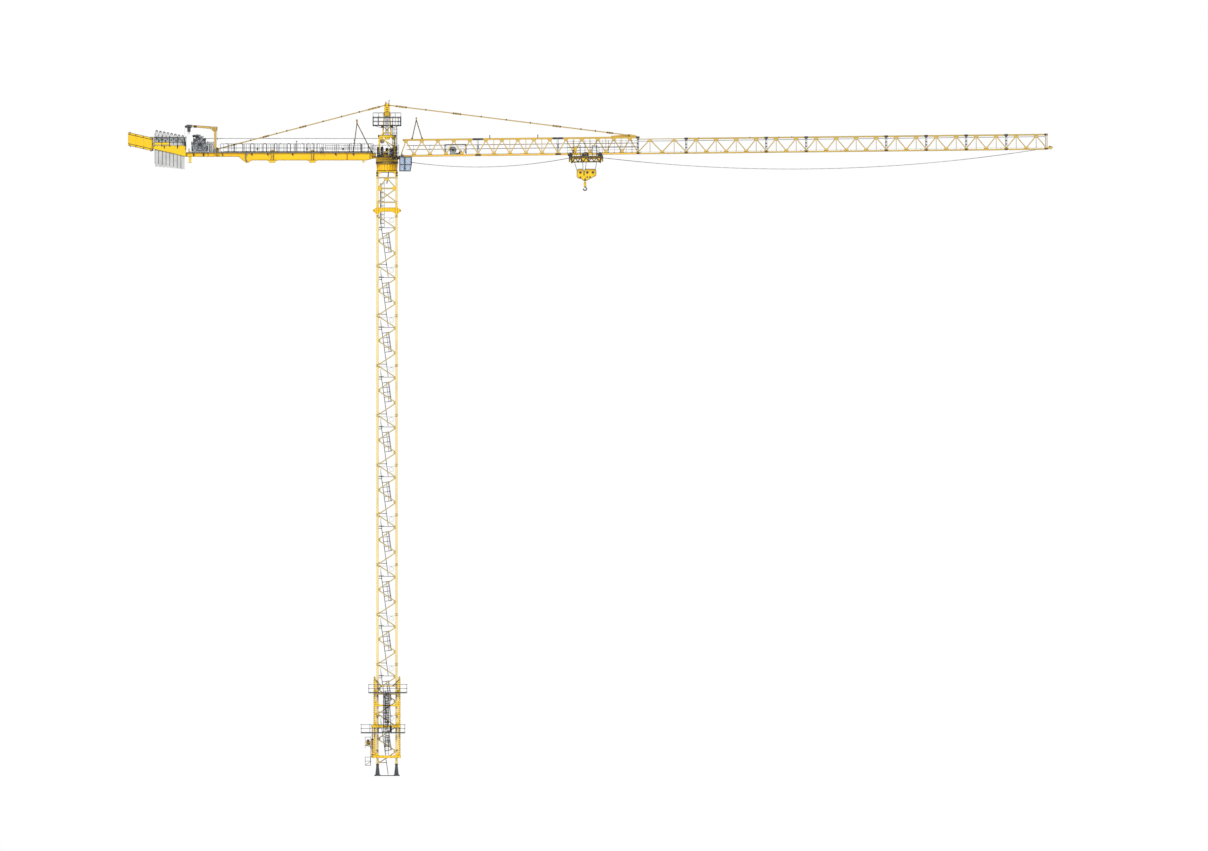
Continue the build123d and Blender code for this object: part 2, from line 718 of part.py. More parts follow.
cab_middle = cab_side - cab_width / 2
pane_width = cab_width - 2 * cab_wall - cab_frame_width
with BuildPart() as cab_frame:
    with BuildSketch(Plane.XZ.offset(-cab_side)):
        cab_outline(0)
    extrude(amount=cab_width)
    with BuildSketch(Plane.XZ.offset(-cab_side + cab_wall)):
        cab_outline(cab_wall)
    extrude(amount=cab_width - 2 * cab_wall, mode=Mode.SUBTRACT)
    with BuildSketch(Plane.XZ.offset(-cab_side - 1)):
        cab_side_panes(0)
    extrude(amount=cab_width + 2, mode=Mode.SUBTRACT)
    with BuildSketch(Plane.YZ.offset(cab_front - 2 * cab_wall)):
        with Locations((cab_middle, (sill + cab_top) / 2)):
            Rectangle(pane_width, cab_top - sill - 2 * cab_frame_width)
    extrude(amount=3 * cab_wall, mode=Mode.SUBTRACT)
    with BuildSketch(Plane.YZ.offset(cab_front - 40)):
        with Locations((cab_middle, (sill + cab_floor) / 2)):
            Rectangle(pane_width, sill - cab_floor - 2 * cab_frame_width)
    extrude(amount=60, mode=Mode.SUBTRACT)
    beam_start, beam_gap = turret_half - 71, -cab_side - turret_half
    with Locations(((beam_start + cab_front) / 2, cab_side + (beam_gap - seat - 1) / 2, turret_top - 20)):
        Box(cab_front - beam_start, beam_gap - seat + 1, 20)
finish(cab_frame.part, "cab_frame")

with BuildPart() as cab_glass:
    for y in (cab_side - cab_wall / 2, cab_side - cab_width + cab_wall / 2):
        with BuildSketch(Plane.XZ.offset(-y)):
            cab_side_panes(seat)
        extrude(amount=glass / 2, both=True)
    with BuildSketch(Plane.YZ.offset(cab_front - cab_wall / 2)):
        with Locations((cab_middle, (sill + cab_top) / 2)):
            Rectangle(pane_width - 2 * seat, cab_top - sill - 2 * cab_frame_width - 2 * seat)
    extrude(amount=glass / 2, both=True)
    slope = degrees(atan2(16, sill - cab_floor))
    lower = Plane(
        origin=(cab_front - 8 - cab_wall / 2, cab_middle, (sill + cab_floor) / 2),
        x_dir=(0, 1, 0), z_dir=(cos(radians(slope)), 0, -sin(radians(slope))))
    with BuildSketch(lower):
        Rectangle(pane_width - 2 * seat, sill - cab_floor - 2 * cab_frame_width - 2 * seat)
    extrude(amount=glass / 2, both=True)
finish(cab_glass.part, "cab_glass")

# Jib, built level along its own slope and then tipped up

top_chord = 24.0
outer_top_chord = 20.0


def jib_side(depth, top, low_nodes, high_nodes, upright_nodes):
    """Makes the two leaning sides of a jib section from the nodes of its lacing."""
    up = Vector(0, -jib_gauge / 2, depth - chord / 2).normalized()
    trim = lace_depth / 2 * -up.Y / up.Z
    low = (chord / 2 + seat) / up.Z + trim
    high = (depth - top / 2 - seat - chord / 2) / up.Z - trim
    plane = Plane(origin=(0, jib_gauge / 2, chord / 2), x_dir=(1, 0, 0), z_dir=Vector(1, 0, 0).cross(up))
    nodes = sorted([(x, low) for x in low_nodes] + [(x, high) for x in high_nodes])
    first, last = low_nodes[0], low_nodes[-1] - seat
    with BuildPart() as made:
        with BuildSketch(plane):
            lacing(nodes, lace)
            for x in upright_nodes:
                bar((x, low), (x, high), lace * 0.8)
            with Locations(((first + last) / 2, (low + high) / 2)):
                Rectangle(last - first, high - low, mode=Mode.INTERSECT)
        extrude(amount=lace_depth / 2, both=True)
        mirror(about=Plane.XZ)
    return made.part


def jib_floor(low_nodes, chord_height, bare_end=1.0):
    """Makes the two lower chords of a section with the bracing between them."""
    first, last = low_nodes[0], low_nodes[-1]
    inside, outside = jib_gauge / 2 - chord / 2, jib_gauge / 2 + chord / 2
    with BuildPart() as made:
        with BuildSketch(Plane.YZ.offset(first)):
            for side in (-1, 1):
                Polygon(
                    (side * inside, 0), (side * (outside + chord_lip), 0),
                    (side * (outside + chord_lip), chord_lip_thick), (side * outside, chord_lip_thick),
                    (side * outside, chord_height), (side * inside, chord_height), align=None)
        extrude(amount=last - first - seat)
        with BuildSketch(Plane.XY.offset(lace_depth)):
            ends = [(x, inside + 4 if k % 2 else -inside - 4) for k, x in enumerate(low_nodes)]
            lacing(ends, lace)
            for x in low_nodes[1:-1:2]:
                bar((x, -inside - 4), (x, inside + 4), lace * 0.8)
            with Locations(((first + bare_end + last - 1) / 2, 0)):
                Rectangle(last - first - bare_end - 1, 2 * inside + 8, mode=Mode.INTERSECT)
        extrude(amount=lace_depth)
    return made.part


def spaced_nodes(start, length, pitch, whole):
    """Places the lower and upper nodes of a section, counted back from its outer end."""
    count = round(length / pitch)
    step = pitch if whole else length / count
    low = [start] + [start + length - step * k for k in range(count - 1, -1, -1)]
    high = [start + length - step * (k + 0.5) for k in range(count - 1, -1, -1)]
    return low, high


def top_bar(start, length, depth, size):
    """Makes one length of the upper chord."""
    with BuildPart() as made:
        with BuildSketch(Plane.YZ.offset(start)):
            with Locations((0, depth)):
                Rectangle(size, size)
        extrude(amount=length - seat)
    return made.part


def lay_jib(sections, name, extras=()):
    """Joins sections of the jib and puts them in their place on the crane."""
    with BuildPart() as run:
        for section in sections:
            add(section.moved(jib_place))
        for extra in extras:
            add(extra.moved(jib_place))
    return finish(run.part, name)


def inner_section(index):
    """Makes one of the deep sections nearest the mast."""
    start = sum(inner_lengths[:index])
    length = inner_lengths[index]
    low, high = spaced_nodes(start, length, inner_pitch, True)
    low = [x for k, x in enumerate(low) if k == 0 or x > start + 60]
    with BuildPart() as made:
        add(jib_floor(low, chord, 1.0 if index else chord))
        add(jib_side(inner_depth, top_chord, low, high, low[1:-1] if index else []))
        add(top_bar(start if index else high[0] - 40, length if index else length - high[0] + 40,
                    inner_depth, top_chord))
        if index == 0:
            eye = chord / 2
            for y in (-jib_gauge / 2, jib_gauge / 2):
                with Locations((-6, y, chord / 2)):
                    Box(20, chord, chord)
                with Locations(Location((0, y, eye), (90, 0, 0))):
                    Cylinder(pin_radius + seat, 2 * chord, mode=Mode.SUBTRACT)
            for side in (-1, 1):
                with Locations((0, side * (jib_gauge / 2 + chord / 2 + chord_lip), 0)):
                    Box(2 * chord, 2 * chord_lip, 4 * chord_lip_thick, mode=Mode.SUBTRACT)
    return made.part


def outer_section(index):
    """Makes one of the lighter sections beyond the tie."""
    start = inner_length + sum(outer_lengths[:index])
    length = outer_lengths[index]
    low, high = spaced_nodes(start, length, outer_pitch, False)
    size = outer_top_chord if index else 10.0
    with BuildPart() as made:
        add(jib_floor(low, chord - 4))
        add(jib_side(outer_depth, size, low, high, high))
        add(top_bar(start, length, outer_depth, size))
    return made.part


tie_lug = inner_length - 110
tie_lug_level = inner_depth + top_chord / 2 + 16
with BuildPart() as tie_plate:
    with BuildSketch(Plane.XZ):
        base = inner_depth + top_chord / 2 - 3
        Polygon(
            (inner_length - 340, base), (inner_length - 330, base + 14), (tie_lug - 30, tie_lug_level + 12),
            (tie_lug + 24, tie_lug_level + 12), (inner_length - 12, base + 14),
            (inner_length - 12, base), align=None)
        with Locations((tie_lug, tie_lug_level)):
            Circle(pin_radius + seat, mode=Mode.SUBTRACT)
    extrude(amount=4, both=True)

with BuildPart() as jib_tip:
    with BuildSketch(*[Plane.XZ.offset(y) for y in (-jib_gauge / 2, jib_gauge / 2)]):
        Polygon(
            (jib_length, 2), (jib_length + tip_length - 14, 6), (jib_length + tip_length, 22),
            (jib_length + tip_length, 40), (jib_length + tip_length - 20, 46), (jib_length, 20), align=None)
    extrude(amount=6, both=True)
    for x, size in ((jib_length + 16, 12), (jib_length + tip_length - 20, 20)):
        with Locations((x, 0, 22)):
            Box(size, jib_gauge, 16)
    with BuildSketch(Plane.YZ.offset(jib_length + 10)):
        for side in (-1, 1):
            bar((side * jib_gauge / 2, 16), (side * 5, outer_depth + 6), 12)
        bar((-20, outer_depth), (20, outer_depth), 20)
    extrude(amount=6, both=True)

lay_jib([inner_section(k) for k in range(3)], "jib_inner", [tie_plate.part])
lay_jib([outer_section(k) for k in range(0, 3)], "jib_middle")
lay_jib([outer_section(k) for k in range(3, 5)], "jib_outer")
lay_jib([outer_section(k) for k in range(5, 8)], "jib_end", [jib_tip.part])


def on_jib(x, y, z):
    """Gives the place on the crane of a point of the level jib."""
    return (jib_place * Pos(x, y, z)).position


def lining(y_of, height):
    """Finds how far inside the leaning side of the deep jib a rail at this height lies."""
    lean = atan2(jib_gauge / 2, inner_depth - chord / 2)
    centre = jib_gauge / 2 * (1 - (height - chord / 2) / (inner_depth - chord / 2))
    return centre - lace_depth / 2 / cos(lean) - y_of * tan(lean) - seat


# Walkway and handrails inside the deep part of the jib
winch_start = 545.0
winch_length = 275.0
walk_level = 2 * lace_depth + seat
with BuildPart() as jib_walkway:
    for low, high in ((120, winch_start - 10), (winch_start + winch_length + 10, inner_length - 8)):
        with Locations(((low + high) / 2, 0, walk_level)):
            Box(high - low, 60, 3, align=(Align.CENTER, Align.CENTER, Align.MIN))
    for height in (92, 142):
        y = lining(rail / 2, height) - rail / 2
        with Locations(*[(inner_length / 2 + 30, side * y, height) for side in (-1, 1)]):
            Box(inner_length - 80, rail, rail)
finish(jib_walkway.part.moved(jib_place), "jib_walkway")

# Winch that pulls the trolley along
drum_radius = 44.0
with BuildPart() as trolley_winch:
    base = walk_level
    drum_x, drum_z = winch_start + 105, base + 64
    with Locations((winch_start + winch_length / 2, 0, base)):
        Box(winch_length, 90, 6, align=(Align.CENTER, Align.CENTER, Align.MIN))
    for side in (-1, 1):
        with BuildSketch(Plane.XZ.offset(side * 33)):
            Polygon(
                (drum_x - 50, base), (drum_x - 14, drum_z + 12), (drum_x + 14, drum_z + 12),
                (drum_x + 50, base), align=None)
        extrude(amount=2.5, both=True)
    with Locations(Location((drum_x, 0, drum_z), (90, 0, 0))):
        Cylinder(drum_radius - 14, 64)
        with Locations((0, 0, -25), (0, 0, 25)):
            Cylinder(drum_radius, 5)
    with Locations(Location((drum_x + 95, 0, base + 30), (90, 0, 0))):
        Cylinder(22, 70)
    with Locations((drum_x + 48, 22, base + 16)):
        Box(60, 24, 26)
    with BuildSketch(Plane.XZ):
        bar((winch_start + 5, base), (winch_start + 5, base + 134), 8)
        bar((winch_start + winch_length - 5, base), (winch_start + winch_length - 5, base + 134), 8)
        bar((winch_start + 1, base + 134), (winch_start + winch_length - 1, base + 134), 8)
    extrude(amount=4, both=True)
finish(trolley_winch.part.moved(jib_place), "trolley_winch")

# Tie bars from the tower head to the jib

tie_height = 14.0
tie_plate_thick = 6.0
head_pin_level = head_top - 22


def along(start, end, share):
    """Gives the point at a share of the way between two points."""
    return tuple(a + (b - a) * share for a, b in zip(start, end))


with BuildPart() as jib_tie:
    low = on_jib(tie_lug, 0, tie_lug_level)
    for side in (-1, 1):
        start, end = (tie_pin, side * 11, head_pin_level), (low.X, side * 11, low.Z)
        add(strut(start, end, tie_height, tie_plate_thick))
    start, end = (tie_pin, 0, head_pin_level), (low.X, 0, low.Z)
    for share, reach in ((0.053, 0.022), (0.284, 0.016), (0.70, 0.016), (0.92, 0.012)):
        add(strut(along(start, end, share - reach), along(start, end, share + reach), 24, 32))
    with Locations(Location(start, (90, 0, 0))):
        Cylinder(pin_radius, 2 * cheek_line + cheek_thick + 6)
    with Locations(Location(end, (90, 0, 0))):
        Cylinder(pin_radius, 36)
finish(jib_tie.part, "jib_tie")

# Counter jib

deck_top = turret_top + 54
girder_web = 6.0
tail_step = deck_top - tail_girder_height
girder_bottom = deck_top - girder_height
rear_lug = 2125.0
rear_lug_level = deck_top + 44
deck_half = 108.0
band_width = 22.0
girder_bands = (-932, -1435)
foot_drop = 30.0
girder_feet = [(x, girder_bottom, foot_drop, 130, 52, 70) for x in girder_bands]
girder_feet += [(-294, girder_bottom, 24, 26, 20, 44), (50 - tail_girder_end, tail_step, 75, 34, 26, 50)]


def girder_outline():
    """Draws a girder from the side in the sketch in use."""
    Polygon(
        (-rear_pin + 14, deck_top), (-tail_girder_end, deck_top), (-tail_girder_end, tail_step),
        (-girder_end - 107, tail_step), (-girder_end - 15, girder_bottom - foot_drop),
        (-girder_end + 15, girder_bottom - foot_drop), (-girder_end + 60, girder_bottom),
        (-girder_start, girder_bottom),
        (-rear_pin + 14, rear_pin_level - 15), align=None)


with BuildPart() as counter_jib_girders:
    for side in (-1, 1):
        y = side * girder_spacing / 2
        with BuildSketch(Plane.XZ.offset(-y)):
            girder_outline()
        extrude(amount=girder_flange / 2, both=True)
        with BuildSketch(*[Plane.XZ.offset(-y - k * girder_flange / 2) for k in (-1, 1)]):
            with BuildSketch(mode=Mode.PRIVATE) as pocket:
                girder_outline()
                offset(amount=-girder_web, kind=Kind.INTERSECTION)
                for x in (-215, -500, *girder_bands, -2140):
                    with Locations((x, deck_top - 50)):
                        Rectangle(girder_web if x > -2000 else 20, 200, mode=Mode.SUBTRACT)
                with Locations((-rear_pin, rear_pin_level)):
                    Rectangle(44, 200, mode=Mode.SUBTRACT)
            add(pocket.sketch)
        extrude(amount=-(girder_flange - girder_web) / 2, mode=Mode.SUBTRACT)
        for x in girder_bands:
            with Locations((x, y, girder_bottom)):
                Box(band_width, girder_flange + 6, girder_height, align=(Align.CENTER, Align.CENTER, Align.MIN))
        for x, level, drop, top, neck, sole in girder_feet:
            with BuildSketch(Plane.XZ.offset(-y)):
                with Locations((x, level)):
                    Polygon(
                        (-top / 2, 1), (-neck / 2, 6 - drop), (-sole / 2, 6 - drop), (-sole / 2, -drop),
                        (sole / 2, -drop), (sole / 2, 6 - drop), (neck / 2, 6 - drop), (top / 2, 1), align=None)
            extrude(amount=girder_flange / 2 - 1, both=True)
        with Locations(Location((-rear_pin, y, rear_pin_level), (90, 0, 0))):
            Cylinder(pin_radius + seat, 2 * girder_flange, mode=Mode.SUBTRACT)
        with BuildSketch(Plane.XZ.offset(-y)):
            with Locations((-rear_lug, rear_lug_level - 18)):
                Rectangle(44, 44)
            with Locations((-rear_lug, rear_lug_level)):
                Circle(22)
                Circle(pin_radius + seat, mode=Mode.SUBTRACT)
        extrude(amount=4, both=True)
    for x in (-320, -940, -girder_end + 12, -rear_lug, -tail_girder_end + 8):
        with Locations((x, 0, deck_top - 24)):
            Box(16, girder_spacing, 34)
finish(counter_jib_girders.part, "counter_jib_girders")

# Deck plates laid on the girders, between and beside the tie lugs
davit_x = -2147.0
davit_y = -(deck_half + 24)
davit_socket = 24.0
socket_top = deck_top + 46
with BuildPart() as counter_jib_deck:
    with BuildSketch(Plane.XY.offset(deck_top + seat)):
        with Locations((-(rear_pin + tail_girder_end) / 2 - 10, 0)):
            Rectangle(tail_girder_end - rear_pin - 20, 2 * deck_half)
        with Locations(*[(-rear_lug, side * girder_spacing / 2) for side in (-1, 1)]):
            Rectangle(60, 20, mode=Mode.SUBTRACT)
    extrude(amount=floor_thick)
    with Locations((davit_x, davit_y, deck_top + seat)):
        Cylinder(davit_socket, socket_top - deck_top - seat, align=(Align.CENTER, Align.CENTER, Align.MIN))
        Cylinder(9, socket_top - deck_top, align=(Align.CENTER, Align.CENTER, Align.MIN), mode=Mode.SUBTRACT)
        with Locations((0, davit_socket / 2, 0)):
            Box(2 * davit_socket, davit_socket, 12, align=(Align.CENTER, Align.CENTER, Align.MIN))
finish(counter_jib_deck.part, "counter_jib_deck")

deck_face = deck_top + seat + floor_thick
hoop_height = 106.0
hoop_corner = 14.0


def hooped_rail(length, height, count):
    """Makes a guard rail of hoops with round shoulders and a middle rail through them, along X."""
    pitch = (length + 3 * rail) / count
    with BuildPart() as made:
        with BuildSketch(Plane.XZ):
            for k in range(count):
                with Locations(((k + 0.5) * pitch - (length + 3 * rail) / 2, 0)):
                    RectangleRounded(pitch - 3 * rail, 2 * height, hoop_corner)
                    RectangleRounded(pitch - 5 * rail, 2 * height - 2 * rail, hoop_corner - rail, mode=Mode.SUBTRACT)
            bar((-length / 2, height / 2), (length / 2, height / 2), rail)
            with Locations((0, height / 2)):
                Rectangle(length, height, mode=Mode.INTERSECT)
        extrude(amount=rail / 2, both=True)
    return made.part


with BuildPart() as counter_jib_rails:
    rail_start, rail_end = -rear_pin - 12, -rear_lug + 40
    panel = hooped_rail(rail_start - rail_end, hoop_height, 12)
    for side in (-1, 1):
        y = side * (deck_half - rail / 2)
        add(panel.moved(Location(((rail_start + rail_end) / 2, y, deck_face + seat))))
    frame_low, frame_high, frame_start, frame_end = deck_face + 36, deck_face + 84, -308.0, -770.0
    with BuildSketch(Plane.XZ.offset(deck_half - rail / 2)):
        for level in (frame_low, frame_high):
            bar((frame_end, level), (frame_start, level), rail * 0.8)
        for k in range(17):
            x = frame_end + (frame_start - frame_end) * k / 16
            bar((x, frame_low), (x, frame_high), rail * 0.6)
    extrude(amount=rail / 2, both=True)
finish(counter_jib_rails.part, "counter_jib_rails")

# Tie bars from the tower head to the counter jib
with BuildPart() as counter_jib_tie:
    for side in (-1, 1):
        start = (-tie_pin, side * 16, head_pin_level)
        end = (-rear_lug, side * (girder_spacing / 2 - 9), rear_lug_level)
        add(strut(start, end, tie_height, tie_plate_thick))
        for share, reach in ((0.068, 0.034), (0.49, 0.018), (0.71, 0.016)):
            add(strut(along(start, end, share - reach), along(start, end, share + reach), 24, 12))
        with Locations(Location(end, (90, 0, 0))):
            Cylinder(pin_radius, 34)
    with Locations(Location((-tie_pin, 0, head_pin_level), (90, 0, 0))):
        Cylinder(pin_radius, 2 * cheek_line + cheek_thick + 6)
finish(counter_jib_tie.part, "counter_jib_tie")

# Ballast frame at the tail, and the concrete plates hung in it
ballast_half = 112.0
frame_thick = 10.0
ballast_top = deck_top + 92
ballast_depth = 48.0
ballast_start = tail_girder_end + seat
with BuildPart() as ballast_frame:
    with Locations((-ballast_start - 8, 0, deck_top - tail_girder_height / 2)):
        Box(16, 2 * ballast_half + frame_thick, tail_girder_height)
    for side in (-1, 1):
        with BuildSketch(Plane.XZ.offset(side * ballast_half)):
            Polygon(
                (-ballast_start - 1, deck_top - tail_girder_height), (-ballast_start - 1, ballast_top),
                (-ballast_end, ballast_top), (-ballast_end, ballast_top - ballast_depth),
                (-ballast_start - 150, deck_top - 12), align=None)
        extrude(amount=frame_thick / 2, both=True)
    with Locations((-ballast_end + 6, 0, ballast_top - ballast_depth / 2)):
        Box(12, 2 * ballast_half + frame_thick, ballast_depth)
finish(ballast_frame.part, "ballast_frame")

weight_half = ballast_half - frame_thick / 2 - 4
weight_start = ballast_start + 16 + 3
with BuildPart() as counterweights:
    for k in range(weight_count):
        x = -weight_start - weight_pitch * k - weight_thick / 2
        low = ballast_top + 103 - weight_height + weight_drop * k
        high = low + weight_height
        with BuildSketch(Plane.YZ.offset(x)):
            with BuildLine():
                Polyline(
                    (-weight_half, low), (weight_half, low), (weight_half, ballast_top + seat),
                    (ballast_half + 12, ballast_top + seat), (ballast_half + 12, high - 40),
                    (ballast_half - 20, high), (-ballast_half + 20, high),
                    (-ballast_half - 12, high - 40), (-ballast_half - 12, ballast_top + seat),
                    (-weight_half, ballast_top + seat), close=True)
            make_face()
        extrude(amount=weight_thick / 2, both=True)
        with BuildSketch(Plane.YZ.offset(x)):
            with Locations((0, high - 2)):
                Circle(18)
                Circle(8, mode=Mode.SUBTRACT)
        extrude(amount=5, both=True)
finish(counterweights.part, "counterweights")

# Folded tail panels behind the ballast
tail_drop = 69.0
panel_start = ballast_end + seat + 14
panel_end = 3237.0
panel_height = 168.0
panel_thick = 6.0
panel_low = ballast_top - 72
with BuildPart() as tail_panel:
    with Locations((-ballast_end - seat - 7, 0, ballast_top + 16)):
        Box(14, 2 * ballast_half + frame_thick, 176)
    for side in (-1, 1):
        with BuildSketch(Plane.XZ.offset(side * ballast_half)):
            Polygon(
                (-panel_start, panel_low), (-panel_start, panel_low + panel_height),
                (-panel_end, panel_low + panel_height + tail_drop), (-panel_end, panel_low + tail_drop),
                align=None)
        extrude(amount=panel_thick / 2, both=True)
        for share in (0.33, 0.67, 0.985):
            x = -panel_start - (panel_end - panel_start) * share
            low = panel_low + tail_drop * share
            with BuildSketch(Plane.XZ.offset(side * (ballast_half - panel_thick))):
                bar((x, low + 4), (x, low + panel_height - 4), 8)
            extrude(amount=panel_thick, both=True)
    for level in (panel_low + tail_drop + 16, panel_low + tail_drop + panel_height - 16):
        with Locations((-panel_end + 8, 0, level)):
            Box(8, 2 * ballast_half, 8)
finish(tail_panel.part, "tail_panel")

# Hoist winch on its bed
rope_radius = 3.0
rope_level = waist_level - waist_beam - 14
winch_x = -2340.0
winch_drum = 72.0
winch_flange = 84.0
motor_radius = 17.0
winch_axis = rope_level - winch_drum
with BuildPart() as hoist_winch:
    with Locations((winch_x, 0, deck_face + seat)):
        Box(206, 190, 12, align=(Align.CENTER, Align.CENTER, Align.MIN))
    for side in (-1, 1):
        with BuildSketch(Plane.XZ.offset(side * 86)):
            with BuildLine():
                Polyline(
                    (winch_x + 60, winch_axis + 14), (winch_x + 90, deck_face + 4),
                    (winch_x - 90, deck_face + 4), (winch_x - 60, winch_axis + 14))
                ThreePointArc(
                    (winch_x - 60, winch_axis + 14), (winch_x, winch_axis + 62),
                    (winch_x + 60, winch_axis + 14))
            make_face()
        extrude(amount=5, both=True)
    with Locations(Location((winch_x, 0, winch_axis), (90, 0, 0))):
        Cylinder(winch_drum - rope_radius - seat, 150)
        Cylinder(18, 190)
        with Locations((0, 0, -72), (0, 0, 72)):
            Cylinder(winch_flange, 8)
    motor_level = winch_axis + winch_flange + motor_radius + 2
    with Locations((winch_x - 30, 84, motor_level - 37)):
        Box(50, 14, 72)
    with Locations(Location((winch_x - 30, 62, motor_level), (0, 90, 0))):
        Cylinder(motor_radius, 84)
        with Locations((0, 0, -44)):
            Cylinder(motor_radius - 3, 10)
    with Locations((winch_x + 20, -40, winch_axis + winch_flange + 10)):
        Box(60, 90, 18)
    with Locations((winch_x + 20, -83, winch_axis + 66)):
        Box(30, 10, 50)
    with Locations(Location((winch_x + 62, -96, winch_axis - 18), (90, 0, 0))):
        Cylinder(27, 12)
        with Locations((0, 0, 8)):
            Cylinder(16, 6)
    with Locations((winch_x - 96, 0, deck_face + seat)):
        Box(14, 150, 118, align=(Align.CENTER, Align.CENTER, Align.MIN))
        Box(14, 120, 100, align=(Align.CENTER, Align.CENTER, Align.MIN), mode=Mode.SUBTRACT)
finish(hoist_winch.part, "hoist_winch")

cabinet_x = -2196.0
with BuildPart() as control_cabinet:
    with Locations((cabinet_x, 20, deck_face + seat)):
        Box(64, 120, 124, align=(Align.CENTER, Align.CENTER, Align.MIN))
        Box(72, 128, 6, align=(Align.CENTER, Align.CENTER, Align.MIN))
    fillet(control_cabinet.edges().filter_by(Axis.Z).group_by(SortBy.LENGTH)[-1], 5)
    with Locations((cabinet_x, 20, deck_face + seat + 124)):
        Box(72, 128, 6, align=(Align.CENTER, Align.CENTER, Align.MIN))
finish(control_cabinet.part, "control_cabinet")

# Small erection gantries: one on the counter jib, one on the jib
with BuildPart() as erection_gantries:
    apex = (-375, 0, deck_top + 415)
    for side in (-1, 1):
        for x in (-422, -191):
            foot = (x, side * (deck_half - 18), deck_face + 3)
            add(strut(foot, (apex[0], side * 10, apex[2] - 50), 9, 9))
            with Locations((foot[0], foot[1], deck_face + seat)):
                Box(26, 26, 4, align=(Align.CENTER, Align.CENTER, Align.MIN))
    with Locations((apex[0], 0, apex[2] - 28)):
        Box(16, 32, 56)
    for x in (-422, -191):
        start = (x, deck_half - 18, deck_face + 3)
        near = along(start, (apex[0], 10, apex[2] - 50), 0.35)
        add(strut(near, (near[0], -near[1], near[2]), 8, 8))
    top = on_jib(197, 0, inner_depth + 280)
    for x in (141, 266):
        foot = on_jib(x, 0, inner_depth + top_chord / 2 + 3)
        add(strut(tuple(foot), (top.X, 0, top.Z - 30), 9, 14))
        with Locations(jib_place * Pos(x, 0, inner_depth + top_chord / 2 + seat)):
            Box(24, 20, 4, align=(Align.CENTER, Align.CENTER, Align.MIN))
    with Locations((top.X, 0, top.Z - 18)):
        Box(14, 20, 42)
finish(erection_gantries.part, "erection_gantries")

# Sheaves that lead the hoist rope through the head and under the jib's root
head_sheave_x = -60.0
head_sheave = 32.0
head_sheave_z = rope_level - head_sheave
with BuildPart() as guide_sheaves:
    groove = sheave(head_sheave, 10, 5 + seat)
    add(groove.moved(Location((head_sheave_x, 0, head_sheave_z))))
    for side in (-1, 1):
        with BuildSketch(Plane.XZ.offset(side * 9)):
            bar((head_sheave_x, head_sheave_z), (head_sheave_x - 26, head_sheave_z - 2), 16)
        extrude(amount=2, both=True)
    with Locations(Location((head_sheave_x, 0, head_sheave_z), (90, 0, 0))):
        Cylinder(5, 26)
    with Locations((head_sheave_x - 31, 0, head_sheave_z)):
        Box(10, 2 * head_foot - head_leg - 2 * seat, 16)
    foot = sheave(sheave_radius, 10, 5 + seat)
    add(foot.moved(Location((foot_sheave_x, 0, foot_sheave_z))))
    for side in (-1, 1):
        with BuildSketch(Plane.XZ.offset(side * 9)):
            bar((turret_half + seat, foot_sheave_z + 8), (foot_sheave_x + 8, foot_sheave_z + 8), 16)
            with Locations((foot_sheave_x, foot_sheave_z)):
                Circle(10)
        extrude(amount=2, both=True)
    with Locations(Location((foot_sheave_x, 0, foot_sheave_z), (90, 0, 0))):
        Cylinder(5, 26)
finish(guide_sheaves.part, "guide_sheaves")


# Trolley, built level in the jib's frame

trolley_rail = jib_gauge / 2 + chord / 2 + chord_lip + clear + 2.5
wheel_level = chord_lip_thick + seat + wheel_radius
wheel_places = [trolley_centre + x for x in (-185, -40, 15, 170)]
trolley_sheave = 24.0
trolley_sheave_level = -56.0
trolley_sheaves = [trolley_centre + x for x in (-180, -17, 162)]
trolley_low, trolley_high = -92.0, -14.0
inner_plate = 11.0
with BuildPart() as trolley_frame:
    ends = trolley_centre - trolley_length / 2, trolley_centre + trolley_length / 2
    for side in (-1, 1):
        with BuildSketch(Plane.XZ.offset(side * trolley_rail)):
            Polygon(
                (ends[0], trolley_high), (ends[0], trolley_low + 14), (ends[0] + 30, trolley_low),
                (ends[1] - 30, trolley_low), (ends[1], trolley_low + 34), (ends[1], trolley_high),
                align=None)
            for low, high in ((-160, -65), (35, 145)):
                with Locations((trolley_centre + (low + high) / 2, (trolley_low + trolley_high) / 2)):
                    Rectangle(high - low, 44, mode=Mode.SUBTRACT)
            for x in wheel_places:
                with Locations((x, (wheel_level + trolley_high) / 2)):
                    Rectangle(26, wheel_level - trolley_high + 22)
            for x in wheel_places:
                with Locations((x, wheel_level)):
                    Circle(3.5 + seat, mode=Mode.SUBTRACT)
        extrude(amount=2.5, both=True)
    with Locations(*[(x, 0, -30) for x in (trolley_centre - 90, trolley_centre + 60)]):
        Box(14, 2 * trolley_rail, 14)
    with Locations(*[(x, 0, trolley_low) for x in (ends[0] + 34, ends[1] - 34)]):
        Box(14, 2 * trolley_rail, 9, align=(Align.CENTER, Align.CENTER, Align.MIN))
    for side in (-1, 1):
        with BuildSketch(Plane.XZ.offset(side * inner_plate)):
            with Locations((trolley_centre, -40)):
                Rectangle(trolley_length - 4, 30)
            for x in trolley_sheaves:
                with Locations((x, trolley_sheave_level)):
                    Circle(14)
            for x in trolley_sheaves:
                with Locations((x, trolley_sheave_level)):
                    Circle(4 + seat, mode=Mode.SUBTRACT)
        extrude(amount=2, both=True)
finish(trolley_frame.part.moved(jib_place), "trolley_frame")

with BuildPart() as trolley_wheels:
    for x in wheel_places:
        for side in (-1, 1):
            wheel_y = side * (jib_gauge / 2 + chord / 2 + chord_lip / 2 + 0.4)
            with Locations(Location((x, wheel_y, wheel_level), (90, 0, 0))):
                Cylinder(wheel_radius, 7)
            with Locations(Location((x, side * (trolley_rail - 4), wheel_level), (90, 0, 0))):
                Cylinder(3.5, 22)

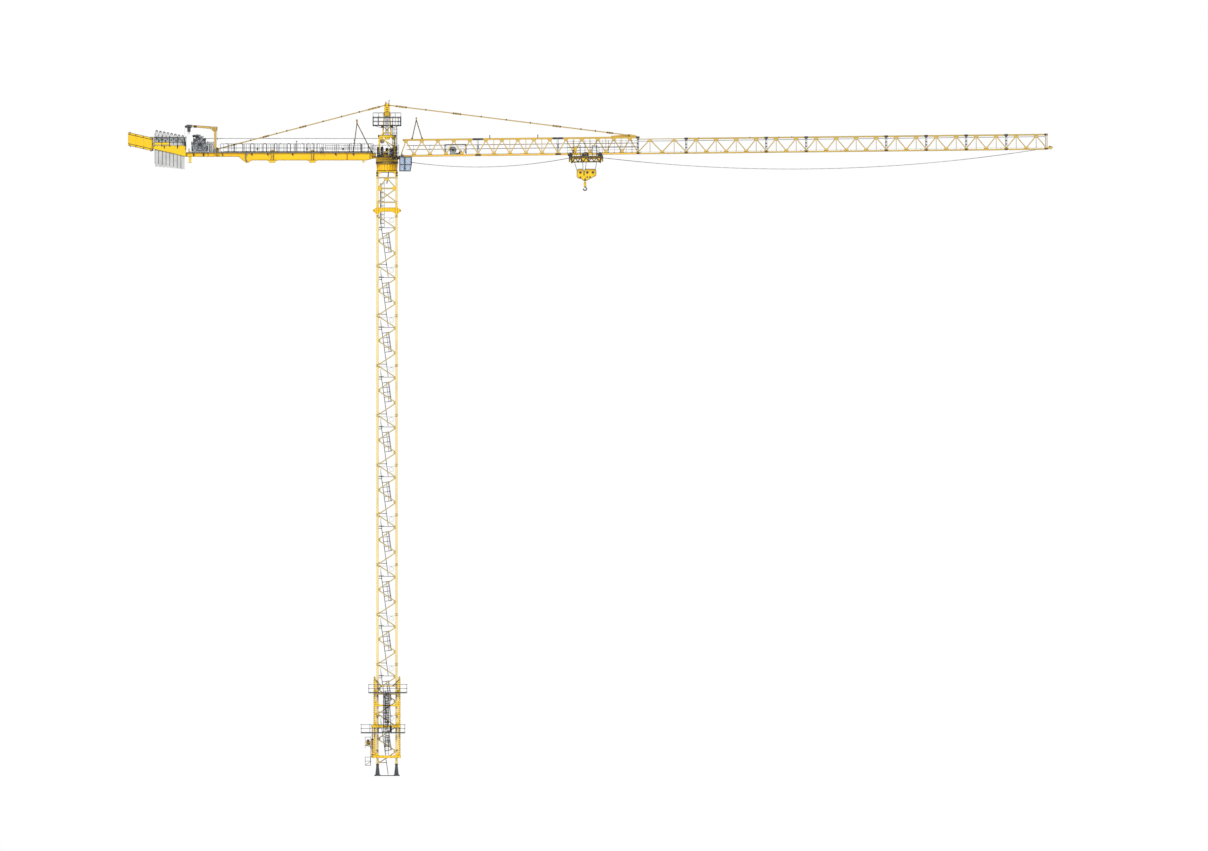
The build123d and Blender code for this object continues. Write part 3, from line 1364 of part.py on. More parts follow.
sheave_width = 12.0
with BuildPart() as trolley_pulleys:
    add(trolley_wheels.part)
    wheel = sheave(trolley_sheave, sheave_width, 3)
    for x in trolley_sheaves:
        add(wheel.moved(Location((x, 0, trolley_sheave_level))))
        with Locations(Location((x, 0, trolley_sheave_level), (90, 0, 0))):
            Cylinder(4, 2 * inner_plate + 10)
finish(trolley_pulleys.part.moved(jib_place), "trolley_wheels")

# Hook block, hanging plumb under the trolley

trolley_place = on_jib(trolley_centre, 0, 0)
hook_x = trolley_place.X - 12
block_level = trolley_place.Z - 218
block_wheels = ((-58, block_sheave), (27, block_small_sheave), (98, block_small_sheave))
cheek_y = sheave_width / 2 + 4
swivel_top = block_level - 128
swivel_height = 48.0
swivel_bore = 7.0
nut_radius = 11.0
with BuildPart() as hook_block:
    for side in (-1, 1):
        with BuildSketch(Plane.XZ.offset(side * cheek_y)):
            with Locations((hook_x, block_level)):
                Polygon(
                    (-100, 24), (-84, 42), (-34, 42), (-16, 24), (-14, -38), (-9, -38), (-8, 28),
                    (6, 42), (118, 42), (138, 24), (138, -40), (92, -62), (58, -82), (20, -102),
                    (-20, -102), (-42, -82), (-84, -72), (-100, -54), align=None)
                for x, radius in block_wheels:
                    with Locations((x, 0)):
                        Circle(4 + seat, mode=Mode.SUBTRACT)
        extrude(amount=2, both=True)
    for x, z in ((block_wheels[0][0], -60), (block_wheels[1][0], -58), (62, -58), (0, -88)):
        with Locations(Location((hook_x + x, 0, block_level + z), (90, 0, 0))):
            Cylinder(5, 2 * cheek_y + 10)
    with Locations((hook_x, 0, block_level - 108)):
        Box(20, 2 * cheek_y - 4, 42)
    with Locations((hook_x, 0, swivel_top)):
        Cylinder(16, swivel_height, align=(Align.CENTER, Align.CENTER, Align.MAX))
    with Locations((hook_x, 0, swivel_top - swivel_height)):
        Cylinder(swivel_bore, swivel_height - 16, mode=Mode.SUBTRACT,
                 align=(Align.CENTER, Align.CENTER, Align.MIN))
    with Locations((hook_x, 0, swivel_top - swivel_height + 14)):
        Cylinder(nut_radius, 16, mode=Mode.SUBTRACT, align=(Align.CENTER, Align.CENTER, Align.MIN))
finish(hook_block.part, "hook_block")

with BuildPart() as block_pulleys:
    for x, radius in block_wheels:
        wheel = sheave(radius, sheave_width, 3)
        add(wheel.moved(Location((hook_x + x, 0, block_level))))
        with Locations(Location((hook_x + x, 0, block_level), (90, 0, 0))):
            Cylinder(4, 2 * cheek_y + 12)
finish(block_pulleys.part, "block_pulleys")

# Hook with its captive nut
bowl_radius = 27.0
throat_radius = 13.0
bowl_level = swivel_top - swivel_height - 30
with BuildPart() as hook:
    with BuildSketch(Plane.XZ):
        with Locations((hook_x, bowl_level)):
            Circle(bowl_radius)
            with Locations((-1, 2)):
                Circle(throat_radius, mode=Mode.SUBTRACT)
            Polygon((-2, 2), (-60, -2), (-60, 60), (-8, 60), align=None, mode=Mode.SUBTRACT)
        with Locations((hook_x, bowl_level + 21.5)):
            Rectangle(13, 15)
    extrude(amount=6, both=True)
    chamfer(hook.faces().filter_by(Axis.Y).edges().filter_by(GeomType.CIRCLE), 1.6)
    with Locations((hook_x, 0, bowl_level + 24)):
        Cylinder(swivel_bore - seat, 34, align=(Align.CENTER, Align.CENTER, Align.MIN))
    with Locations((hook_x, 0, swivel_top - swivel_height + 14 + seat)):
        Cylinder(nut_radius - seat, 12, align=(Align.CENTER, Align.CENTER, Align.MIN))
finish(hook.part, "hook")

# Ropes


def rope_reach(radius, width):
    """Gives how far from a wheel's centre the rope in its groove runs."""
    depth = radius * 0.14
    return radius - depth + (rope_radius + seat) * hypot(width / 2, depth) / (width / 2)


def beside(centre, reach, angle):
    """Gives the point at an angle round a wheel, in the plane of the ropes."""
    return (centre[0] + reach * cos(radians(angle)), 0, centre[1] + reach * sin(radians(angle)))


def sagging(start, end, sag):
    """Makes a rope that hangs in a shallow arc between two points."""
    middle = ((start[0] + end[0]) / 2, 0, (start[2] + end[2]) / 2 - sag)
    with BuildPart() as made:
        with BuildLine() as path:
            ThreePointArc(start, middle, end)
        with BuildSketch(Plane(origin=path.line @ 0, z_dir=path.line % 0)):
            RegularPolygon(rope_radius, 6)
        sweep()
    return made.part


head_reach = rope_reach(head_sheave, 10)
foot_reach = rope_reach(sheave_radius, 10)
span = (foot_sheave_x - head_sheave_x, foot_sheave_z - head_sheave_z)
cross = degrees(atan2(span[1], span[0])) - degrees(atan2(head_reach + foot_reach, hypot(*span)))
with BuildPart() as hoist_rope:
    add(rod((winch_x, 0, rope_level), (head_sheave_x, 0, head_sheave_z + head_reach), rope_radius))
    start = beside((head_sheave_x, head_sheave_z), head_reach, cross + 90)
    end = beside((foot_sheave_x, foot_sheave_z), foot_reach, cross - 90)
    add(rod(start, end, rope_radius))
finish(hoist_rope.part, "hoist_rope")

trolley_reach = rope_reach(trolley_sheave, sheave_width)
wheel_at = [on_jib(x, 0, trolley_sheave_level) for x in trolley_sheaves]
inner_lean = 12.0
outer_lean = 7.0
start = beside((foot_sheave_x, foot_sheave_z), foot_reach, -90 - inner_lean)
end = beside((wheel_at[0].X, wheel_at[0].Z), trolley_reach, 90 + inner_lean)
inner_rope = sagging(start, end, 95)
start = beside((wheel_at[2].X, wheel_at[2].Z), trolley_reach, 90 - outer_lean)
anchor = on_jib(jib_length + 9.2, 0, 22)
outer_rope = sagging(start, (anchor.X, 0, anchor.Z), 200)
with BuildPart() as jib_ropes:
    add(inner_rope)
    add(outer_rope)
finish(jib_ropes.part, "jib_ropes")

with BuildPart() as hoist_falls:
    tops = (
        wheel_at[0].X + trolley_reach, wheel_at[1].X - trolley_reach,
        wheel_at[1].X + trolley_reach, wheel_at[2].X - trolley_reach)
    big, small = rope_reach(block_sheave, sheave_width), rope_reach(block_small_sheave, sheave_width)
    first, second, third = [hook_x + x for x, radius in block_wheels]
    bottoms = (first - big, first + big, second - small, third + small)
    for x, (top, bottom) in enumerate(zip(tops, bottoms)):
        add(rod((top, 0, wheel_at[1].Z), (bottom, 0, block_level), rope_radius))
finish(hoist_falls.part, "hoist_falls")

# Davit for lifting winch parts, turning in its socket

davit_radius = 16.0
davit_top = deck_top + 322
davit_reach = 352.0
arm_end = davit_top + 2
hoist_level = arm_end - 5 - seat
with BuildPart() as davit:
    with Locations((davit_x, davit_y, socket_top - 30)):
        Cylinder(8.7, 40, align=(Align.CENTER, Align.CENTER, Align.MIN))
    with Locations((davit_x, davit_y, socket_top + seat)):
        Cylinder(davit_radius, davit_top - socket_top - 14, align=(Align.CENTER, Align.CENTER, Align.MIN))
    with BuildSketch(Plane.XZ.offset(-davit_y)):
        Polygon(
            (davit_x + 24, davit_top), (davit_x - 60, davit_top + 6), (davit_x - davit_reach, davit_top + 26),
            (davit_x - davit_reach, arm_end), (davit_x - 60, davit_top - 24),
            (davit_x - 16, davit_top - 64), (davit_x + 24, davit_top - 40), align=None)
    extrude(amount=8, both=True)
    with Locations((davit_x, davit_y, davit_top - 19)):
        Box(56, 38, 36)
finish(davit.part, "davit")

with BuildPart() as davit_hoist:
    lift_x = davit_x - davit_reach + 24
    for side in (-1, 1):
        with Locations((lift_x, davit_y + side * 12, hoist_level + 10)):
            Box(64, 6, 44)
    with Locations((lift_x, davit_y, hoist_level - 6)):
        Box(64, 26, 12)
    with Locations((lift_x, davit_y, hoist_level - 36)):
        Box(40, 40, 50)
    with Locations((lift_x, davit_y, hoist_level - 68)):
        Cylinder(3, 16)
    with BuildSketch(Plane.XZ.offset(-davit_y)):
        with Locations((lift_x, hoist_level - 76)):
            Circle(8)
            Circle(4, mode=Mode.SUBTRACT)
            Polygon((0, 0), (-20, 0), (-20, 20), (-4, 20), align=None, mode=Mode.SUBTRACT)
    extrude(amount=2.5, both=True)
finish(davit_hoist.part, "davit_hoist")
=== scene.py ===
from math import atan2, cos, degrees, hypot, pi, radians, sin

import bpy
from mathutils import Matrix, Vector


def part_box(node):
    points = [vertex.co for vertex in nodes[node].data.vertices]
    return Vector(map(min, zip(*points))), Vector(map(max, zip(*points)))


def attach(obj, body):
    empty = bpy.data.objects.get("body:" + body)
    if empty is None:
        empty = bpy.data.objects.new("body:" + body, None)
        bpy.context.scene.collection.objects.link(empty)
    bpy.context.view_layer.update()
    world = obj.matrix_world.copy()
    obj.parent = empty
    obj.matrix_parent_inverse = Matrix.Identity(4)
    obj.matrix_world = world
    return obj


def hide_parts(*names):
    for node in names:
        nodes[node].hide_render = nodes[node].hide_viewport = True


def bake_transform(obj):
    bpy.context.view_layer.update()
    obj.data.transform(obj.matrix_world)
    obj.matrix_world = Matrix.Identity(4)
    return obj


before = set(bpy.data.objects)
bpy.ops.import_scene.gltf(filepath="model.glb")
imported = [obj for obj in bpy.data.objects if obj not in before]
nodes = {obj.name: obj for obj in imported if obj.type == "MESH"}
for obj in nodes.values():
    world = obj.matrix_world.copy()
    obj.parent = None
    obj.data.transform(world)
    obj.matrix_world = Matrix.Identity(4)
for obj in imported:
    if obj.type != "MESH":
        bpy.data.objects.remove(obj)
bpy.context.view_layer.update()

# Sizes of the crane, in metres, as its solids have them
LEG_SPACING = 0.236
LEG = 0.027
SECTION = 0.6225
SECTIONS = 11
FOOT_TOP = 0.152
TURRET_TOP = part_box("turntable")[1].z - 0.023
JIB_ROOT = 0.175
JIB_RISE = 0.0112
GAUGE = 0.19
CHORD = 0.024
INNER_DEPTH = 0.212
OUTER_DEPTH = 0.19
INNER_LENGTHS = [0.9625, 1.0, 1.0]
OUTER_LENGTHS = [0.604, 1.0, 0.5, 1.0, 0.5, 0.5, 0.5, 0.5]
GIRDER_SPACING = 0.16
HALF = LEG_SPACING / 2


# Shader maths


class Signal:
    """A value, colour or vector inside a material, which takes part in plain sums."""

    def __init__(self, finish, socket):
        self.finish, self.socket = finish, socket

    def sum(self, operation, first, second):
        return self.finish.add("ShaderNodeMath", {"operation": operation}, {0: first, 1: second})

    def __add__(self, other):
        return self.sum("ADD", self, other)

    def __radd__(self, other):
        return self.sum("ADD", other, self)

    def __sub__(self, other):
        return self.sum("SUBTRACT", self, other)

    def __rsub__(self, other):
        return self.sum("SUBTRACT", other, self)

    def __mul__(self, other):
        return self.sum("MULTIPLY", self, other)

    def __rmul__(self, other):
        return self.sum("MULTIPLY", other, self)

    def __truediv__(self, other):
        return self.sum("DIVIDE", self, other)

    def __pow__(self, other):
        return self.sum("POWER", self, other)


class Finish:
    """A material in the making, one node after another."""

    def __init__(self, name):
        self.material = bpy.data.materials.new(name)
        self.material.use_nodes = True
        self.tree = self.material.node_tree
        self.shader = self.tree.nodes["Principled BSDF"]

    def add(self, kind, settings=None, inputs=None, output=0):
        """Adds a node: its settings first, then the values or links of its sockets."""
        node = self.tree.nodes.new(kind)
        for key, value in (settings or {}).items():
            if key == "stops":
                ramp = node.color_ramp.elements
                while len(ramp) < len(value):
                    ramp.new(1.0)
                for stop, (place, colour) in zip(ramp, value):
                    stop.position, stop.color = place, colour
            else:
                setattr(node, key, value)
        for key, value in (inputs or {}).items():
            self.plug(node.inputs[key], value)
        return Signal(self, node.outputs[output])

    def plug(self, socket, value):
        if isinstance(value, Signal):
            self.tree.links.new(value.socket, socket)
        elif hasattr(value, "__len__") and len(value) == 3 and socket.type == "RGBA":
            socket.default_value = (*value, 1.0)
        else:
            socket.default_value = value

    def set(self, **values):
        """Sets the shader's own sockets: Base_Color stands for Base Color."""
        for key, value in values.items():
            self.plug(self.shader.inputs[key.replace("_", " ")], value)
        return self

    def place(self, stretch=(1, 1, 1)):
        """Object coordinates, stretched."""
        spot = self.add("ShaderNodeTexCoord", output="Object")
        return self.add("ShaderNodeVectorMath", {"operation": "MULTIPLY"}, {0: spot, 1: stretch})

    def axis(self, spot, name):
        """One axis of a place."""
        return self.add("ShaderNodeSeparateXYZ", None, {0: spot}, name)

    def noise(self, scale, detail=3.0, stretch=(1, 1, 1), rough=0.55):
        return self.add(
            "ShaderNodeTexNoise", None,
            {"Vector": self.place(stretch), "Scale": scale, "Detail": detail, "Roughness": rough})

    def speckle(self, scale, stretch=(1, 1, 1)):
        return self.add("ShaderNodeTexVoronoi", None, {"Vector": self.place(stretch), "Scale": scale})

    def step(self, signal, low, high):
        """Rises smoothly from 0 at low to 1 at high."""
        return self.add(
            "ShaderNodeMapRange", {"interpolation_type": "SMOOTHSTEP"},
            {"Value": signal, "From Min": low, "From Max": high})

    def mix(self, share, first, second):
        """Mixes two colours."""
        return self.add(
            "ShaderNodeMix", {"data_type": "RGBA", "clamp_factor": True},
            {0: share, 6: first, 7: second}, output=2)

    def edges(self, radius):
        """Finds the sharp edges of a surface, 1 at the edge and 0 away from it."""
        rounded = self.add("ShaderNodeBevel", {"samples": 4}, {"Radius": radius})
        flat = self.add("ShaderNodeNewGeometry", output="Normal")
        likeness = self.add(
            "ShaderNodeVectorMath", {"operation": "DOT_PRODUCT"}, {0: rounded, 1: flat}, "Value")
        return self.step(1 - likeness, 0.004, 0.05)

    def bump(self, height, strength, depth):
        return self.add("ShaderNodeBump", None, {"Strength": strength, "Distance": depth, "Height": height})


def from_srgb(*colour):
    """Turns a colour read as 0 to 255 into light."""
    shares = [c / 255 for c in colour]
    return tuple(c / 12.92 if c <= 0.04045 else ((c + 0.055) / 1.055) ** 2.4 for c in shares)


def shade(colour, share):
    """Darkens a colour, or lightens it past 1."""
    return tuple(min(1.0, c * share) for c in colour)


def off_the_legs(f):
    """Marks the lacing between the mast's legs, for painted shade that darkens it."""
    x = f.axis(f.place(), "X")
    y = f.axis(f.place(), "Y")
    inner = x.sum("MINIMUM", x * x, y * y)
    return (1 - f.step(inner, (HALF - 0.016) ** 2, (HALF - 0.0135) ** 2)) * 0.85


def above_the_rails(f):
    """Marks the lacing above the jib's lower chords, for painted shade that darkens it."""
    x = f.axis(f.place(), "X")
    z = f.axis(f.place(), "Z")
    level = TURRET_TOP - JIB_ROOT * JIB_RISE
    return f.step(z - x * JIB_RISE, level + 0.016, level + 0.024) * 0.42


def paint(name, colour, edge=0.0075, outline=0.78, rough=0.42, dirt=0.35, rust=0.12, lacing_shade=None):
    """Weathered crane paint: faded patches, runs of grime, painted shade darkening the edges to an outline,
    painted shade on the lacing when a lacing mask is given, and a few chips.
    """
    f = Finish(name)
    faded = f.step(f.noise(3.0, 4.0), 0.35, 0.7)
    runs = f.step(f.noise(26.0, 4.0, (1, 1, 0.12)), 0.52, 0.74)
    grain = f.noise(900.0, 2.0)
    rim = f.edges(edge)
    chips = f.step(f.noise(240.0, 3.0), 0.66, 0.7) * rim
    base = f.mix(faded, colour, shade(colour, 1.1))
    base = f.mix(runs * dirt, base, shade(colour, 0.62))
    # Painted shade: edges and creases darkened almost to black, as an outline.
    base = f.mix(rim * outline, base, shade(colour, 0.06))
    # Painted shade: the lacing is darkened and the legs or lower chords are left bright.
    if lacing_shade:
        base = f.mix(lacing_shade(f), base, shade(colour, 0.5))
    base = f.mix(chips * rust, base, from_srgb(96, 60, 36))
    return f.set(
        Base_Color=base, Roughness=rough + faded * 0.12 + runs * 0.1,
        Normal=f.bump(grain + chips * -2.0, 0.12, 0.0004),
        Coat_Weight=0.12, Coat_Roughness=0.25, Specular_IOR_Level=0.45).material


def metal(name, colour, rough=0.35, edge=0.0012, oil=0.35, metallic=0.85):
    """Bare or galvanised steel with cloudy patches, wiped oil, and glossier edges darkened with painted
    shade.
    """
    f = Finish(name)
    clouds = f.step(f.speckle(70.0), 0.1, 0.75)
    grease = f.step(f.noise(18.0, 4.0), 0.5, 0.72)
    rim = f.edges(edge)
    base = f.mix(clouds, colour, shade(colour, 1.22))
    base = f.mix(grease * oil, base, shade(colour, 0.4))
    # Painted shade: edges and creases darkened, as an outline.
    base = f.mix(rim * 0.5, base, shade(colour, 0.35))
    brushed = f.noise(500.0, 2.0, (1, 1, 0.1))
    return f.set(
        Base_Color=base, Metallic=metallic, Roughness=rough + grease * 0.2 - rim * 0.05,
        Normal=f.bump(brushed, 0.1, 0.0003)).material


def enamel(name, colour, rough=0.35, outline=0.5):
    """Machine enamel: even colour, dust in the hollows, orange peel, and painted shade darkening its edges.
    """
    f = Finish(name)
    dust = f.step(f.noise(30.0, 5.0), 0.48, 0.75)
    peel = f.noise(650.0, 2.0)
    rim = f.edges(0.0014)
    base = f.mix(dust * 0.35, colour, from_srgb(150, 146, 136))
    # Painted shade: edges and creases darkened, as an outline.
    base = f.mix(rim * outline, base, shade(colour, 0.25))
    return f.set(
        Base_Color=base, Roughness=rough + dust * 0.3, Normal=f.bump(peel, 0.1, 0.0003),
        Coat_Weight=0.2, Coat_Roughness=0.2).material


def concrete(name):
    """Cast concrete with pores, damp streaks, painted shade darkening its chamfers and edges, and the joints
    of its form.
    """
    f = Finish(name)
    pores = f.step(f.speckle(260.0), 0.08, 0.2)
    cloud = f.step(f.noise(9.0, 6.0), 0.3, 0.72)
    streak = f.step(f.noise(36.0, 4.0, (1, 1, 0.06)), 0.5, 0.75)
    sand = f.noise(700.0, 3.0)
    rim = f.edges(0.002)
    pale, dull = from_srgb(214, 215, 214), from_srgb(166, 168, 168)
    base = f.mix(cloud, pale, from_srgb(196, 197, 195))
    base = f.mix(streak * 0.45, base, dull)
    # Painted shade: chamfers and edges darkened, as an outline.
    base = f.mix(rim * 0.55, base, from_srgb(92, 94, 96))
    base = f.mix((1 - pores) * 0.6, base, dull)
    return f.set(
        Base_Color=base, Roughness=0.82 + cloud * 0.1, Normal=f.bump(sand * 0.5 + pores, 0.3, 0.0006)
    ).material


def clear_glass(name, colour):
    """Light blue cab glass with a film of dust towards the edges."""
    f = Finish(name)
    film = f.step(f.noise(24.0, 4.0), 0.45, 0.8)
    base = f.mix(film * 0.4, colour, from_srgb(226, 236, 242))
    return f.set(
        Base_Color=base, Roughness=0.06 + film * 0.16, Transmission_Weight=0.35, IOR=1.45,
        Alpha=0.72 + film * 0.12, Specular_IOR_Level=0.6).material


def grating(name, colour, pitch=0.006):
    """Galvanised grating seen from above: crossing bars, with painted shade in the gaps between them and on
    the edges.
    """
    f = Finish(name)
    spot = f.add("ShaderNodeTexCoord", output="Object")
    x = f.axis(spot, "X")
    y = f.axis(spot, "Y")
    across = f.add("ShaderNodeMath", {"operation": "PINGPONG"}, {0: x, 1: pitch})
    along = f.add("ShaderNodeMath", {"operation": "PINGPONG"}, {0: y, 1: pitch})
    gap = f.step(across, pitch * 0.25, pitch * 0.4) * f.step(along, pitch * 0.25, pitch * 0.4)
    cloud = f.step(f.noise(14.0, 4.0), 0.35, 0.7)
    rim = f.edges(0.0012)
    base = f.mix(cloud, colour, shade(colour, 1.3))
    # Painted shade: the gaps between the bars and the edges are darkened.
    base = f.mix(gap * 0.75, base, shade(colour, 0.16))
    base = f.mix(rim * 0.6, base, shade(colour, 0.3))
    return f.set(
        Base_Color=base, Metallic=0.4, Roughness=0.5 + cloud * 0.2,
        Normal=f.bump(1 - gap, 0.5, 0.001)).material


def wire_rope(name, colour, lay=0.03):
    """Greased wire rope: the strands run round it in a slant."""
    f = Finish(name)
    strands = f.add(
        "ShaderNodeTexWave", {"wave_type": "BANDS", "bands_direction": "DIAGONAL"},
        {"Vector": f.place(), "Scale": 2.0 / lay, "Distortion": 0.4}, "Fac")
    grease = f.step(f.noise(22.0, 3.0), 0.45, 0.75)
    base = f.mix(f.step(strands, 0.2, 0.7), shade(colour, 0.7), shade(colour, 1.15))
    base = f.mix(grease * 0.3, base, shade(colour, 0.5))
    return f.set(
        Base_Color=base, Metallic=0.35, Roughness=0.45 + grease * 0.2,
        Normal=f.bump(strands, 0.4, 0.0008)).material


def rubber(name):
    """Black rubber hose and seals, dusty."""
    f = Finish(name)
    dust = f.step(f.noise(40.0, 4.0), 0.45, 0.8)
    base = f.mix(dust * 0.4, from_srgb(22, 23, 25), from_srgb(92, 90, 86))
    return f.set(
        Base_Color=base, Roughness=0.7 + dust * 0.2, Normal=f.bump(f.noise(800.0), 0.15, 0.0003)).material


def lamp_glass(name, colour):
    """A small coloured lens."""
    f = Finish(name)
    rings = f.add("ShaderNodeTexWave", {"wave_type": "RINGS"}, {"Vector": f.place(), "Scale": 120.0}, "Fac")
    base = f.mix(rings, colour, shade(colour, 0.6))
    return f.set(
        Base_Color=base, Roughness=0.12 + rings * 0.1, Normal=f.bump(rings, 0.3, 0.0004), Coat_Weight=0.6
    ).material


YELLOW = from_srgb(253, 205, 26)
PALE = from_srgb(243, 218, 134)
TAN = from_srgb(238, 198, 84)
materials = {
    "yellow": paint("crane_yellow", YELLOW, 0.0085, 0.82),
    "mast": paint("mast_yellow", PALE, 0.007, 0.78, lacing_shade=off_the_legs),
    "jib": paint("jib_yellow", TAN, 0.0065, 0.78, lacing_shade=above_the_rails),
    "outer_jib": paint("outer_jib_yellow", from_srgb(218, 190, 100), 0.0065, 0.78, lacing_shade=above_the_rails),
    "girder": paint("girder_yellow", from_srgb(254, 206, 18), 0.01, 0.9, dirt=0.2),
    "tie": paint("tie_yellow", from_srgb(204, 172, 92), 0.0065, 0.8),
    "bronze": paint("gantry_bronze", from_srgb(112, 102, 80), 0.003, 0.7),
    "feet": metal("foot_steel", from_srgb(66, 70, 74), 0.6, 0.002, 0.5, 0.35),
    "rail": metal("rail_steel", from_srgb(40, 42, 46), 0.5, 0.001, 0.3, 0.3),
    "machine": enamel("machine_enamel", from_srgb(58, 62, 68)),
    "black": enamel("black_enamel", from_srgb(26, 28, 31), 0.3, 0.3),
    "cabinet": enamel("cabinet_enamel", from_srgb(206, 210, 212), 0.4, 0.7),
    "concrete": concrete("cast_concrete"),
    "glass": clear_glass("cab_glass_blue", from_srgb(208, 228, 254)),
    "winch": metal("winch_steel", from_srgb(150, 154, 160), 0.45, 0.0046, 0.35, 0.35),
    "grating": grating("deck_grating", from_srgb(116, 120, 124)),
    "steel": metal("machined_steel", from_srgb(140, 144, 150), 0.3, 0.001, 0.45, 0.8),
    "zinc": metal("zinc_steel", from_srgb(176, 180, 184), 0.42, 0.001, 0.2, 0.5),
    "rope": wire_rope("wire_rope", from_srgb(176, 178, 182)),
    "rubber": rubber("black_rubber"),
    "red_lamp": lamp_glass("red_lens", from_srgb(196, 30, 24)),
}

node_finish = {
    "anchor_feet": "feet", "mast_lower": "mast", "mast_middle": "mast", "mast_upper": "mast",
    "transition_section": "yellow", "head_mast": "mast", "ring_support": "yellow",
    "mast_ladders": "rail", "cage_frame": "yellow", "climbing_hydraulics": "yellow",
    "cage_middle_deck": "rail", "cage_top_deck": "rail", "cage_side_decks": "rail",
    "turntable": "yellow", "slew_motors": "machine", "turret_walkways": "rail", "tower_head": "yellow",
    "head_deck": "rail", "head_ladder": "rail", "cab_frame": "black", "cab_glass": "glass",
    "jib_inner": "jib", "jib_middle": "outer_jib", "jib_outer": "outer_jib", "jib_end": "outer_jib",
    "jib_walkway": "rail", "trolley_winch": "winch", "jib_tie": "tie",
    "counter_jib_girders": "girder", "counter_jib_deck": "grating", "counter_jib_rails": "rail",
    "counter_jib_tie": "tie", "ballast_frame": "girder", "counterweights": "concrete",
    "tail_panel": "girder", "hoist_winch": "winch", "control_cabinet": "cabinet",
    "erection_gantries": "bronze", "guide_sheaves": "zinc", "hoist_rope": "rope", "jib_ropes": "rope",
    "trolley_frame": "yellow", "trolley_wheels": "steel", "hook_block": "yellow",
    "block_pulleys": "steel", "hoist_falls": "rope", "hook": "machine", "davit": "tie",
    "davit_hoist": "machine",
}
for node_name, finish_name in node_finish.items():
    mesh = nodes[node_name].data
    mesh.materials.clear()
    mesh.materials.append(materials[finish_name])


# Making small parts


def unit_block():
    """Works out the faces of a block with cut corners, each turned outward."""
    signs = [(x, y, z) for x in (-1, 1) for y in (-1, 1) for z in (-1, 1)]
    faces = [[3 * c + k for k in range(3)] for c in range(8)]
    for k in range(3):
        for side in (-1, 1):
            ring = [c for c in range(8) if signs[c][k] == side]
            faces.append([3 * c + k for c in (ring[0], ring[1], ring[3], ring[2])])
        others = [n for n in range(3) if n != k]
        for c in range(8):
            if signs[c][k] < 0:
                mate = signs.index(tuple(1 if n == k else signs[c][n] for n in range(3)))
                faces.append(
                    [3 * c + others[0], 3 * mate + others[0], 3 * mate + others[1], 3 * c + others[1]])
    spots = [Vector(s[n] * (1.0 if n == k else 0.8) for n in range(3)) for s in signs for k in range(3)]
    turned = []
    for face in faces:
        middle = sum((spots[i] for i in face), Vector()) / len(face)
        normal = (spots[face[1]] - spots[face[0]]).cross(spots[face[2]] - spots[face[0]])
        turned.append(face if normal.dot(middle) > 0 else face[::-1])
    return signs, turned


BLOCK_SIGNS, BLOCK_FACES = unit_block()


def frame_along(way):
    """Gives two directions square to a way and to each other."""
    way = way.normalized()
    side = Vector((0, 1, 0)) if abs(way.y) < 0.9 else Vector((1, 0, 0))
    first = side.cross(way).normalized()
    return first, way.cross(first)


def arc(centre, radius, start, end, steps, across=(1, 0, 0), up=(0, 0, 1)):
    """Points along an arc, its angles in degrees."""
    centre, across, up = Vector(centre), Vector(across), Vector(up)
    turns = [radians(start + (end - start) * k / steps) for k in range(steps + 1)]
    return [centre + across * (radius * cos(a)) + up * (radius * sin(a)) for a in turns]


def bearings(count, shift=0):
    """Angles of equal steps round a circle."""
    return [2 * pi * (k + shift) / count for k in range(count)]


